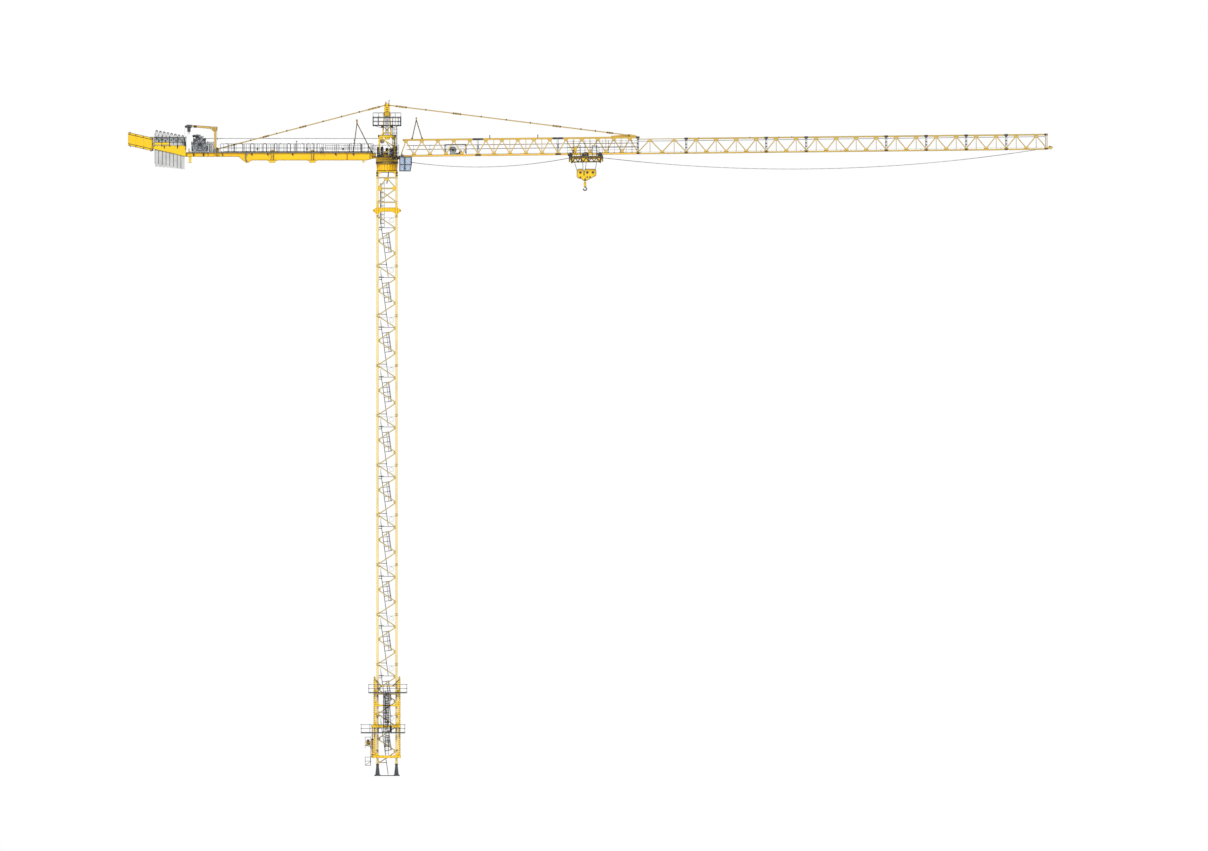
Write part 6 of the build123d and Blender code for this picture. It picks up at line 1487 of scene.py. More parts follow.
def girder_details():
    """Pins, clamps, hinge and rivets along the girders, and the bars between them."""
    dark, yellow, pale = Pile(), Pile(), Pile()
    for side in (-1, 1):
        face = side * (GIRDER_FACE + 0.0003)
        for x in (-1.691, -1.491, -0.42, -0.64, -1.18):
            dark.cap((x, face, DECK_TOP - 0.022), Y * side, 0.0105, 0.003, 0.004, 0.008, 16)
            dark.block((x, side * (GIRDER_FACE + 0.0014), DECK_TOP - 0.01), (0.01, 0.003, 0.016), cut=0.001)
        for x, width, height in (
            (-2.417, 0.014, 0.036), (-2.294, 0.014, 0.036), (-2.058, 0.012, 0.018), (-2.236, 0.008, 0.014)
        ):
            dark.block(
                (x, side * (GIRDER_FACE + 0.0012), DECK_TOP - 0.028), (width, 0.003, height), cut=0.001)
            dark.block(
                (x, side * (GIRDER_FACE + 0.002), DECK_TOP - 0.008), (width + 0.012, 0.004, 0.006), cut=0.001)
        for x in (-0.932, -1.435):
            yellow.block(
                (x, side * (GIRDER_FACE + 0.0048), DECK_TOP + 0.016), (0.046, 0.004, 0.03), cut=0.0015)
            for rise in (0.0018, 0.032):
                dark.block((x, side * (GIRDER_FACE + 0.005), DECK_TOP + rise), (0.05, 0.0052, 0.0034))
            for dx in (-0.014, 0.014):
                dark.post(x + dx, side * (GIRDER_FACE + 0.0036), GIRDER_BOTTOM, DECK_TOP, 0.0046, 0.0026)
            for k in range(5):
                dark.bolt(
                    (x, side * (GIRDER_FACE + 0.0031), GIRDER_BOTTOM + 0.012 + k * 0.018), Y * side, 0.0026,
                    0.0026)
            for dx in (-0.045, 0.045):
                dark.bolt(
                    (x + dx * 0.7, side * (GIRDER_FACE - 0.0008), GIRDER_BOTTOM - 0.026), Y * side, 0.0026,
                    0.0026)
        hinge = Vector((-1.75, side * (GIRDER_FACE + 0.002), 0))
        block = [(-0.026, 0), (0.018, 0), (0.018, 0.018), (-0.008, 0.024), (-0.026, 0.01)]
        yellow.plate(block, hinge + Z * DECK_TOP, X, Z, 0.008)
        dark.plate(
            [(-0.028, -0.003), (0.02, -0.003), (0.02, 0), (-0.028, 0)], hinge + Z * DECK_TOP, X, Z, 0.0092)
        bow = arc((-1.7, side * (GIRDER_FACE + 0.001), DECK_TOP - 0.058), 0.066, 118, 236, 18)
        pale.tube(bow, 0.0034, 8)
        dark.tube([p + X * -0.0075 for p in bow], 0.0036, 6)
        for z in (-0.02, -0.096):
            dark.cap(
                (-1.762, side * (GIRDER_FACE + 0.0002), DECK_TOP + z), Y * side, 0.0085, 0.005, 0.006, 0.006,
                16)
        hump = arc((-2.125, side * 0.0858, DECK_TOP + 0.03), 0.0265, 0, 180, 16)
        dark.tube([hump[0] - Z * 0.026] + hump + [hump[-1] - Z * 0.026], 0.0032, 8)
        dark.cap((-2.125, side * 0.0892, DECK_TOP + 0.044), Y * side, 0.0095, 0.003, 0.004, 0.006, 16)
        yellow.block((-2.475, side * 0.086, DECK_TOP + 0.029), (0.014, 0.016, 0.044), cut=0.002)
        yellow.block((-2.462, side * 0.086, DECK_TOP + 0.011), (0.03, 0.014, 0.008), cut=0.001)
        dark.bolt((-2.475, side * 0.0942, DECK_TOP + 0.04), Y * side, 0.0036, 0.003)
        for x in [-0.3 - 0.03 * k for k in range(73)]:
            if abs(x + 0.932) > 0.03 and abs(x + 1.435) > 0.03 and abs(x + 1.75) > 0.035:
                dark.bolt((x, side * (GIRDER_FACE + 0.0001), DECK_TOP - 0.0032), Y * side, 0.0014, 0.0016)
    for x in (-0.56, -0.755, -1.2, -1.6, -1.9, -2.3):
        yellow.block((x, 0, DECK_TOP - 0.016), (0.01, 0.146, 0.018), cut=0.0015)
    for low, high in ((-0.34, -0.92), (-0.96, -1.42), (-1.46, -1.72)):
        for way in (-1, 1):
            yellow.beam(
                (low, way * 0.066, DECK_TOP - 0.074), (high, -way * 0.066, DECK_TOP - 0.074), 0.008, 0.008)
    dark.make("girder_pins_and_slots", UPPER, "black", "rail_grey")
    yellow.make("girder_stiffeners", UPPER, "girder", "jib_yellow")
    pale.make("girder_hinge_bows", UPPER, "zinc", "rail_grey")


def rail_details():
    """Hooked stanchions, toe boards, deck bars, the cable reel and the lamp post along the deck."""
    dark, rails, bars, lens = Pile(), Pile(), Pile(), Pile()
    top, low = DECK_FACE + 0.106, DECK_FACE
    rail_line = 0.1082
    hooks = (
        (-1.8, -1), (-1.706, 1), (-1.662, -1), (-1.55, 1), (-1.506, -1), (-1.412, 1), (-1.375, -1),
        (-1.35, 1), (-1.25, 1), (-1.206, -1), (-1.15, 1), (-1.037, -1), (-1.0, 1), (-0.912, -1), (-0.875, 1),
        (-0.47, 1), (-0.32, -1), (-0.235, 1), (-1.906, 1), (-1.985, -1))
    for side in (-1, 1):
        y = side * 0.1103
        for x, way in hooks:
            bend = [(x, y, low + 0.002), (x, y, top - 0.014)]
            bend += [
                (x + way * 0.014 * (1 - cos(a)), y, top - 0.014 + 0.014 * sin(a)) for a in (0.5, 1.0, 1.4)]
            bend += [(x + way * 0.026, y, top)]
            dark.tube(bend, 0.0052, 8)
            dark.block((x, y, low + 0.052), (0.008, 0.006, 0.008), cut=0.002)
            dark.block((x, side * 0.109, low + 0.005), (0.014, 0.006, 0.01), cut=0.002)
        rails.block((-1.13, side * 0.1072, low + 0.0035), (1.91, 0.0014, 0.006), cut=0.0003)
        for k in range(28):
            rails.block((-0.18 - k * 0.07, side * 0.1088, low + 0.005), (0.011, 0.004, 0.012), cut=0.001)
        for k in range(24):
            rails.post(-0.205 - k * 0.08, side * rail_line, low, top - 0.001, 0.0034, 0.0026)
        for z in (0.052, 0.1045):
            rails.runner(-0.17, -2.08, side * rail_line, low + z, 0.0052, 0.0034)
    for k in range(268):
        x = -0.18 - k * 0.0087
        if abs(x + 2.125) > 0.034 and not -2.45 < x < -2.155:
            bars.block((x, 0, low + 0.0006), (0.0018, 0.146, 0.0024), cut=0.0003)
    for side in (-1, 1):
        bars.block((-1.15, side * 0.0745, low + 0.001), (1.93, 0.0018, 0.003), cut=0.0003)
    reel = Vector((-0.816, -0.115, low + 0.034))
    for size in (1.0, 0.55):
        oval = [reel + Vector((0.0175 * size * cos(a), 0, 0.03 * size * sin(a))) for a in bearings(28)]
        dark.tube(oval, 0.0022, 8, True)
    for k in range(5):
        ring = [reel + Vector((0.0115 * cos(a), 0.002 + 0.0022 * k, 0.0205 * sin(a))) for a in bearings(24)]
        dark.tube(ring, 0.0011, 6, True)
    for dx in (-0.012, 0.012):
        dark.beam(reel + Vector((dx, 0.001, -0.02)), reel + Vector((dx * 1.4, 0.001, -0.058)), 0.006, 0.004)
        dark.block(reel + Vector((dx * 1.4, 0.006, -0.036)), (0.01, 0.012, 0.006), cut=0.001)
    post = Vector((-1.13, -0.1085, top))
    rails.rod(post - Z * 0.1, post + Z * 0.022, 0.0022, 8)
    dark.block(post + Z * 0.028, (0.018, 0.012, 0.014), cut=0.002)
    lens.lathe([(0, 0.0042), (0.004, 0.0044), (0.007, 0.003)], post + Vector((0, -0.0062, 0.028)), -Y, 14)
    for x in (-1.0, -0.55, -1.62):
        dark.block((x, -0.1125, low + 0.04), (0.02, 0.008, 0.028), cut=0.002)
        dark.rod((x, -0.1125, low + 0.026), (x, -0.111, low + 0.002), 0.0016, 6)
    cable = [
        (-0.2 - 0.04 * k, -0.104 + 0.0006 * (k % 3), low + 0.0085 + 0.0006 * ((k * 7) % 4)) for k in range(47)
    ]
    dark.tube(cable, 0.0024, 6)
    dark.make("counter_jib_stanchions", UPPER, "black", "rail_grey")
    rails.make("counter_jib_rail_trim", UPPER, "rail", "rail_grey")
    bars.make("counter_jib_deck_bars", UPPER, "zinc", "deck_grey")
    lens.make("counter_jib_lamp", UPPER, "red_lamp", "rail_grey")


def winch_details():
    """Windings, bolts, guard wheels, fins and screens of the hoist winch, and the cabinet's doors."""
    dark, steel, light, coil = Pile(), Pile(), Pile(), Pile()
    windings, steps = 19, 28
    frame_face = 0.0918
    path = []
    for k in range(windings * steps + 1):
        a = 2 * pi * k / steps
        path.append(
            (WINCH_X + 0.0722 * cos(a), -0.065 + 0.13 * k / (windings * steps), WINCH_AXIS + 0.0722 * sin(a)))
    coil.tube(path, 0.0034, 6)
    for side in (-1, 1):
        dark.ring((WINCH_X, side * 0.0765, WINCH_AXIS), Y, 0.0832, 0.0018, 40)
        dark.ring((WINCH_X, side * 0.0915, WINCH_AXIS), Y, 0.04, 0.003, 30)
        dark.lathe(
            [(0, 0.026), (0.004, 0.026), (0.006, 0.021), (0.01, 0.021), (0.011, 0.016)],
            (WINCH_X, side * 0.0912, WINCH_AXIS), Y * side, 24)
        rim = [(WINCH_X + 0.09, DECK_TOP + 0.014), (WINCH_X + 0.06, WINCH_AXIS + 0.014)]
        rim += [
            (WINCH_X + 0.06 * cos(a), WINCH_AXIS + 0.014 + 0.048 * sin(a))
            for a in [pi * k / 12 for k in range(1, 12)]]
        rim += [(WINCH_X - 0.06, WINCH_AXIS + 0.014), (WINCH_X - 0.09, DECK_TOP + 0.014)]
        dark.tube([(x, side * frame_face, z) for x, z in rim], 0.0022, 6)
        for a in bearings(10):
            steel.bolt(
                (WINCH_X + 0.034 * cos(a), side * 0.0912, WINCH_AXIS + 0.034 * sin(a)), Y * side, 0.0026,
                0.003)
        for x in (-0.092, -0.046, 0.046, 0.092):
            steel.bolt((WINCH_X + x, side * 0.09, DECK_TOP + 0.0186), Z, 0.0034, 0.004)
        for x in (-0.044, 0.044):
            dark.beam(
                (WINCH_X + x, side * frame_face, DECK_TOP + 0.02),
                (WINCH_X + x * 0.55, side * frame_face, WINCH_AXIS - 0.02), 0.004, 0.003)
        for k in range(4):
            z = DECK_TOP + 0.03 + k * 0.017
            dark.block((WINCH_X + 0.01, side * frame_face, z), (0.11 - k * 0.012, 0.0022, 0.0026), cut=0.0005)
    dark.block((WINCH_X, 0, DECK_TOP + 0.007), (0.214, 0.198, 0.004))
    for x in (-2.415, -2.378):
        for y in (-0.03, 0.03):
            dark.lathe(
                [(-0.004, 0.007), (-0.003, 0.012), (0.003, 0.012), (0.004, 0.007)], (x, y, 8.002), Y, 20)
            steel.bolt((x, y + (0.004 if y > 0 else -0.004), 8.002), Y if y > 0 else -Y, 0.003, 0.003)
    for y in (-0.036, 0.036):
        dark.runner(-2.42, -2.373, y, 7.989, 0.006, 0.004)
        dark.beam((-2.418, y, 7.989), (-2.426, y * 1.5, DECK_TOP + 0.12), 0.006, 0.005)
        dark.beam((-2.376, y, 7.989), (-2.38, y * 2.1, DECK_TOP + 0.15), 0.006, 0.005)
        dark.beam((-2.426, y * 1.5, DECK_TOP + 0.12), (-2.436, y * 1.9, DECK_TOP + 0.118), 0.006, 0.005)
    motor = Vector((WINCH_X - 0.03, 0.062, WINCH_AXIS + 0.103))
    for k in range(17):
        dark.ring(motor + X * (-0.036 + k * 0.0045), X, 0.0173, 0.001, 24, 4)
    dark.cap(motor - X * 0.0485, -X, 0.0152, 0.01, 0.013, 0.01, 20)
    light.block(motor + Vector((0.004, -0.001, 0.018)), (0.028, 0.02, 0.008), cut=0.002)
    for k in range(4):
        light.block(
            (WINCH_X + 0.02, -0.0868, WINCH_AXIS + 0.084 + k * 0.006), (0.04, 0.0016, 0.0024), cut=0.0004)
    light.block((WINCH_X + 0.02, -0.089, WINCH_AXIS + 0.06), (0.024, 0.003, 0.02), cut=0.001)
    gear = Vector((WINCH_X + 0.062, -0.1024, WINCH_AXIS - 0.018))
    dark.ring(gear, Y, 0.0262, 0.002, 30)
    dark.ring(gear - Y * 0.006, Y, 0.0155, 0.0014, 24)
    for a in bearings(8):
        steel.bolt(gear + Vector((0.0215 * cos(a), 0, 0.0215 * sin(a))), -Y, 0.0018, 0.002)
    for z in (0.03, 0.062, 0.094):
        dark.beam(
            (WINCH_X - 0.096, -0.07, DECK_FACE + z), (WINCH_X - 0.096, 0.07, DECK_FACE + z), 0.004, 0.003)
    for k in range(9):
        y = -0.056 + k * 0.014
        dark.post(WINCH_X - 0.096, y, DECK_FACE + 0.004, DECK_FACE + 0.112, 0.0024, 0.0024)
    hose = [
        (-2.3, -0.088, 7.905), (-2.288, -0.096, 7.88), (-2.282, -0.1, 7.85), (-2.27, -0.098, 7.822),
        (-2.25, -0.09, 7.81)]
    dark.tube(hose, 0.0026, 8)
    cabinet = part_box("control_cabinet")
    for side, y in ((-1, cabinet[0].y + 0.004), (1, cabinet[1].y - 0.004)):
        for x in (-2.212, -2.18):
            light.block((x, y + side * 0.0012, DECK_FACE + 0.062), (0.028, 0.0024, 0.104), cut=0.001)
            dark.block((x + 0.011, y + side * 0.0034, DECK_FACE + 0.064), (0.003, 0.003, 0.018), cut=0.0008)
            for k in range(5):
                dark.block(
                    (x, y + side * 0.0026, DECK_FACE + 0.092 + k * 0.004), (0.018, 0.001, 0.0014), cut=0.0003)
        dark.block((-2.196, y + side * 0.002, DECK_FACE + 0.062), (0.0014, 0.0024, 0.106), cut=0.0003)
    for x in (cabinet[0].x + 0.004, cabinet[1].x - 0.004):
        for y in (-0.012, 0.02, 0.052):
            light.block((x, y, DECK_FACE + 0.062), (0.003, 0.028, 0.1), cut=0.001)
            for k in range(4):
                dark.block((x, y, DECK_FACE + 0.03 + k * 0.004), (0.0044, 0.018, 0.0014), cut=0.0003)
    dark.make("winch_trim", UPPER, "black", "machine_grey")
    steel.make("winch_bolts", UPPER, "steel", "steel")
    light.make("cabinet_doors", UPPER, "cabinet", "cabinet_grey")
    coil.make("winch_windings", UPPER, "rope", "rope")


def ballast_details():
    """Lifting eyes, dark rails and end machinery of the ballast, and slots and seams on the tail."""
    dark, grey, yellow, pale = Pile(), Pile(), Pile(), Pile()
    rear, front = -2.912, -2.512
    for k in range(8):
        x = -2.5533 - 0.0464 * k
        low = BALLAST_TOP + 0.103 - 0.398 + 0.009 * k
        high = low + 0.398
        knob = Vector((x, 0, high + 0.008))
        dark.ring(knob, Y, 0.0125, 0.0042, 20)
        dark.ring(knob, X, 0.012, 0.003, 20)
        dark.cap((x, 0, high - 0.0035), Z, 0.009, 0.004, 0.005, 0.006, 14)
        for side in (-1, 1):
            grey.block((x, side * 0.1241, high - 0.06), (0.014, 0.003, 0.024), cut=0.001)
            dark.bolt((x, side * 0.1254, high - 0.06), Y * side, 0.004, 0.004)
            pale.block((x, side * 0.1036, (low + BALLAST_TOP) / 2 - 0.05), (0.04, 0.0016, 0.2), cut=0.0005)
            dark.post(x - 0.0225, side * 0.1032, low + 0.003, BALLAST_TOP - 0.052, 0.0058, 0.003)
            dark.post(x - 0.0225, side * 0.1244, BALLAST_TOP + 0.004, high - 0.012, 0.0058, 0.003)
        dark.block((x, 0, low - 0.0002), (0.038, 0.18, 0.0016), cut=0.0003)
    for side in (-1, 1):
        y = side * 0.1278
        dark.runner(rear, front, y, 7.979, 0.011, 0.006)
        for z in (7.939, 7.966):
            grey.runner(rear, front, y, z, 0.005, 0.004)
        for k in range(18):
            x = rear + k * 0.02353
            grey.post(x, y, 7.937, 7.98, 0.0032, 0.0036)
        for x in (rear, -2.815, -2.72, -2.62, front):
            dark.post(x, y, BALLAST_TOP + 0.001, 7.999, 0.006, 0.006)
            dark.block((x, side * 0.1225, BALLAST_TOP - 0.006), (0.014, 0.012, 0.01), cut=0.002)
        yellow.block((-2.815, side * 0.1262, 7.904), (0.19, 0.004, 0.03), cut=0.001)
        dark.runner(rear, front, side * 0.1288, 7.921, 0.0042, 0.003)
        for x in (-2.784, -2.619):
            dark.block((x, side * 0.1175, 7.856), (0.013, 0.003, 0.03), cut=0.001)
            dark.block((x, side * 0.1185, 7.8735), (0.022, 0.003, 0.006), cut=0.001)
        edge = [(-2.915, 7.8385), (-2.66, 7.78), (-2.518, 7.743)]
        for start, end in zip(edge, edge[1:]):
            dark.beam((start[0], side * 0.1176, start[1]), (end[0], side * 0.1176, end[1]), 0.003, 0.0024)
        for k in range(7):
            dark.bolt((-2.54 - k * 0.055, side * 0.1171, BALLAST_TOP - 0.012), Y * side, 0.003, 0.003)
        for z in (7.76, 7.8, 7.84, 7.876):
            dark.bolt((-2.5205, side * 0.1171, z), Y * side, 0.003, 0.003)
        for x, width, low, high in (
            (-2.53, 0.02, 7.882, 7.97), (-2.552, 0.012, 7.89, 7.93), (-2.515, 0.01, 7.82, 7.93)
        ):
            dark.block((x, side * 0.125, (low + high) / 2), (width, 0.01, high - low), cut=0.002)
    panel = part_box("tail_panel")
    panel_face = 0.1178
    start = Vector((-2.9346, 0, BALLAST_TOP - 0.072))
    end = Vector((panel[0].x, 0, BALLAST_TOP - 0.072 + 0.069))
    for side in (-1, 1):
        y = side * 0.1153
        for height in (0.026, 0.142):
            low_point, high_point = start + Z * height, end + Z * height
            dark.beam((low_point.x, y, low_point.z), (high_point.x + 0.001, y, high_point.z), 0.0075, 0.0028)
        for height in (0.002, 0.166):
            low_point, high_point = start + Z * height, end + Z * height
            dark.beam((low_point.x, y, low_point.z), (high_point.x + 0.001, y, high_point.z), 0.005, 0.0034)
        for share in (0.06, 0.36, 0.68, 0.93):
            spot = start + (end - start) * share
            yellow.block((spot.x, side * 0.1155, spot.z + 0.084), (0.003, 0.001, 0.1), cut=0.0004)
            for height in (0.013, 0.155):
                dark.cap((spot.x, side * 0.1152, spot.z + height), Y * side, 0.0062, 0.002, 0.003, 0.004, 14)
        for share in (0.05, 0.9):
            spot = start + (end - start) * share
            for height in (-0.004, 0.17):
                dark.block((spot.x, side * 0.112, spot.z + height), (0.012, 0.01, 0.012), cut=0.002)
        for z in (BALLAST_TOP - 0.055, BALLAST_TOP + 0.02, BALLAST_TOP + 0.088):
            dark.block((-2.928, side * panel_face, z), (0.016, 0.006, 0.014), cut=0.002)
        for x, width in ((-2.9345, 0.0075), (-2.9208, 0.0032)):
            dark.post(x, side * panel_face, BALLAST_TOP - 0.072, BALLAST_TOP + 0.104, width, 0.0036)
    dark.make("ballast_dark_trim", UPPER, "black", "rail_grey")
    grey.make("ballast_eyes_and_rails", UPPER, "zinc", "rail_grey")
    yellow.make("ballast_strips", UPPER, "girder", "jib_yellow")
    pale.make("ballast_faces", UPPER, "concrete", "concrete")


def davit_details():
    """Cap, bolts, hand chain, pull weight and the hoist's fins on the davit."""
    dark, yellow, steel = Pile(), Pile(), Pile()
    axis = Vector((-2.147, -0.132, 0))
    top = DECK_TOP + 0.322
    yellow.cap(axis + Z * (top - 0.05), Z, 0.0205, 0.006, 0.008, 0.017, 20)
    dark.block(axis + Vector((0.025, 0, top - 0.019)), (0.008, 0.03, 0.044), cut=0.002)
    dark.block(axis + Vector((0, 0, top + 0.0014)), (0.06, 0.042, 0.004), cut=0.001)
    for side in (-1, 1):
        for x in (-0.012, 0.014):
            dark.bolt(axis + Vector((x, side * 0.0192, top - 0.02)), Y * side, 0.0042, 0.004)
        for reach, rise in ((0.06, 0.004), (0.33, 0.0245)):
            dark.beam(
                axis + Vector((-reach, side * 0.0084, top + rise)),
                axis + Vector((-reach, side * 0.0084, top - 0.022 + rise)), 0.005, 0.003)
        for near, far in ((0.006, 0.0255), (-0.0225, 0.0026)):
            strip = [
                axis + Vector((-0.062, side * 0.0086, top + near)),
                axis + Vector((-0.35, side * 0.0086, top + far))]
            dark.beam(*strip, 0.003, 0.002)
    dark.block(axis + Vector((-0.25, 0, top + 0.0045)), (0.04, 0.0185, 0.03), cut=0.002)
    weight = axis + Vector((0.0285, -0.012, 0))
    steel.rod(weight + Z * (top - 0.04), weight + Z * 7.972, 0.0008, 6)
    dark.lathe(
        [(0, 0.002), (0.003, 0.007), (0.009, 0.0085), (0.015, 0.007), (0.018, 0.002)], weight + Z * 7.955, Z,
        16)
    wheel = axis + Vector((-0.366, 0, top + 0.004))
    dark.lathe([(-0.004, 0.01), (-0.003, 0.0155), (0.003, 0.0155), (0.004, 0.01)], wheel, Y, 20)
    dark.beam(wheel, axis + Vector((-0.345, 0, top + 0.01)), 0.012, 0.006)
    for way in (-1, 1):
        x = wheel.x + way * 0.0145
        for k in range(17):
            z = wheel.z - 0.004 - k * 0.007
            link = [
                (0.0016, 0.003), (0.0016, -0.003), (0, -0.0045), (-0.0016, -0.003), (-0.0016, 0.003),
                (0, 0.0045)]
            across = X if k % 2 else Y
            steel.tube([Vector((x, wheel.y, z)) + across * a + Z * b for a, b in link], 0.0006, 5, True)
    loop = [
        (wheel.x + 0.0145 * cos(a), wheel.y, wheel.z - 0.123 + 0.0145 * sin(a))
        for a in [pi + pi * k / 10 for k in range(11)]]
    steel.tube(loop, 0.0012, 6)
    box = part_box("davit_hoist")
    lift = Vector(((box[0].x + box[1].x) / 2, -0.132, box[0].z))
    for k in range(5):
        dark.block(lift + Vector((0, 0, 0.04 + k * 0.009)), (0.043, 0.043, 0.0024), cut=0.0008)
    for side in (-1, 1):
        dark.cap(lift + Vector((0, side * 0.0152, 0.088)), Y * side, 0.01, 0.003, 0.005, 0.006, 16)
        for x in (-0.024, 0.024):
            for z in (0.108, 0.076):
                steel.bolt(lift + Vector((x, side * 0.015, z)), Y * side, 0.0036, 0.003)
    dark.make("davit_trim", "davit", "black", "rail_grey")
    yellow.make("davit_collar", "davit", "yellow", "jib_yellow")
    steel.make("davit_chain", "davit", "steel", "steel")


# Trolley and hook block

TROLLEY_CENTRE = 2.312
TROLLEY_SPOT = on_jib(TROLLEY_CENTRE, 0, 0)
HOOK_X = TROLLEY_SPOT.x - 0.012
BLOCK_LEVEL = TROLLEY_SPOT.z - 0.218
SHEAVES = (-0.18, -0.017, 0.162)
SHEAVE_LEVEL = -0.056
BLOCK_AXLES = (-0.058, 0.027, 0.098)


def trolley_details():
    """Trusses on the trolley's side plates, wheel guards, uprights, rope guards and bolts."""
    dark, yellow, steel, light = Pile(), Pile(), Pile(), Pile()
    start, end = TROLLEY_CENTRE - 0.2125, TROLLEY_CENTRE + 0.2125
    low, high = -0.092, -0.014
    upright_face, guard_face = 0.1256, 0.132
    for side in (-1, 1):
        def face(u, w, out=0.1296):
            return on_jib(u, side * out, w)
        for w, left, right in (
            (high - 0.003, 0, 0), (low + 0.004, 0.032, 0.032), ((low + high) / 2 + 0.019, 0.004, 0.004)
        ):
            dark.beam(face(start + left, w), face(end - right, w), 0.012, 0.0034)
        teeth = 12
        for k in range(teeth):
            u = start + 0.01 + (end - start - 0.02) * k / teeth
            step = (end - start - 0.02) / teeth
            first, second = (low + 0.008, high - 0.02) if k % 2 else (high - 0.02, low + 0.008)
            dark.beam(face(u, first), face(u + step, second), 0.0105, 0.003)
        for u in (
            start + 0.004, start + 0.034, TROLLEY_CENTRE - 0.06, TROLLEY_CENTRE + 0.03, end - 0.034,
            end - 0.004
        ):
            dark.beam(face(u, low + 0.004, 0.1306), face(u, high + 0.008, 0.1306), 0.012, 0.0044)
        for u, radius, rise in (
            (TROLLEY_CENTRE - 0.199, 0.02, 0.016), (TROLLEY_CENTRE - 0.008, 0.034, 0.02),
            (TROLLEY_CENTRE + 0.175, 0.02, 0.016)
        ):
            guard = arc((0, 0, 0), radius, 0, 180, 14)
            path = [face(u + p.x, 0.01 + max(0.0, p.z) * rise / radius, guard_face) for p in guard]
            path = [face(u + radius, -0.012, guard_face)] + path + [face(u - radius, -0.012, guard_face)]
            dark.tube(path, 0.0078, 8)
            dark.plate(
                [
                    (-radius * 0.8, -0.022), (radius * 0.8, -0.022), (radius * 0.7, 0.006),
                    (-radius * 0.7, 0.006)],
                face(u, 0.006, 0.1312), JIB_AXIS, JIB_UP, 0.003)
        for u in (-0.185, -0.04, 0.015, 0.17):
            hub = face(TROLLEY_CENTRE + u, 0.0133, 0.1284)
            dark.cap(hub, Y * side, 0.0068, 0.003, 0.0045, 0.004, 14)
        for u, width, top, pile in (
            (-0.143, 0.009, 0.118, yellow), (-0.118, 0.009, 0.118, yellow), (-0.17, 0.0036, 0.096, dark),
            (-0.07, 0.0075, 0.12, dark), (0.08, 0.0065, 0.12, dark), (0.135, 0.0115, 0.122, dark),
            (0.165, 0.004, 0.096, dark)
        ):
            pile.beam(
                face(TROLLEY_CENTRE + u, -0.016, upright_face), face(TROLLEY_CENTRE + u, top, upright_face),
                width, 0.005)
        for w in (0.06, 0.118):
            dark.beam(
                face(TROLLEY_CENTRE - 0.17, w - 0.022, upright_face),
                face(TROLLEY_CENTRE - 0.07, w, upright_face), 0.0036, 0.0036)
            dark.beam(
                face(TROLLEY_CENTRE + 0.08, w, upright_face),
                face(TROLLEY_CENTRE + 0.165, w - 0.022, upright_face), 0.0036, 0.0036)
        light.block(face(TROLLEY_CENTRE + 0.104, 0.098, 0.124), (0.038, 0.012, 0.034), JIB_TURN, 0.003)
        for w in (0.098, 0.114):
            dark.block(face(TROLLEY_CENTRE + 0.104, w, 0.1307), (0.044, 0.0016, 0.004), JIB_TURN, 0.0005)
        yellow.block(face(TROLLEY_CENTRE - 0.13, 0.07, 0.1246), (0.03, 0.008, 0.044), JIB_TURN, 0.003)
        for u in (start + 0.034, end - 0.034):
            dark.block(face(u, low - 0.004, 0.124), (0.02, 0.014, 0.012), JIB_TURN, 0.002)
        for u in SHEAVES:
            spot = on_jib(TROLLEY_CENTRE + u, side * 0.0132, SHEAVE_LEVEL)
            steel.cap(spot, Y * side, 0.008, 0.003, 0.004, 0.005, 14)
            for a in (40, 90, 140):
                steel.bolt(
                    on_jib(
                        TROLLEY_CENTRE + u + 0.01 * cos(radians(a)), side * 0.0131,
                        SHEAVE_LEVEL + 0.01 * sin(radians(a))),
                    Y * side, 0.0014, 0.0012)
        for k in range(9):
            steel.bolt(
                on_jib(TROLLEY_CENTRE - 0.19 + 0.0475 * k, side * 0.0131, -0.03), Y * side, 0.0022, 0.002)
    for u in (-0.09, 0.06):
        yellow.block(on_jib(TROLLEY_CENTRE + u, 0, -0.03), (0.018, 0.2, 0.006), JIB_TURN, 0.001)
        for side in (-1, 1):
            rib = [(0, 0), (0.03, 0), (0, -0.024)]
            yellow.plate(rib, on_jib(TROLLEY_CENTRE + u, side * 0.1228, -0.037), Y * -side, JIB_UP, 0.005)
    for u in SHEAVES:
        for a in (200, 340):
            x, z = 0.0275 * cos(radians(a)), 0.0275 * sin(radians(a))
            steel.rod(
                on_jib(TROLLEY_CENTRE + u + x, -0.0125, SHEAVE_LEVEL + z),
                on_jib(TROLLEY_CENTRE + u + x, 0.0125, SHEAVE_LEVEL + z), 0.0018, 8)
    dark.make("trolley_trusses", "trolley", "black", "rail_grey")
    yellow.make("trolley_uprights", "trolley", "yellow", "jib_yellow")
    steel.make("trolley_bolts", "trolley", "steel", "steel")
    light.make("trolley_box", "trolley", "cabinet", "cabinet_grey")


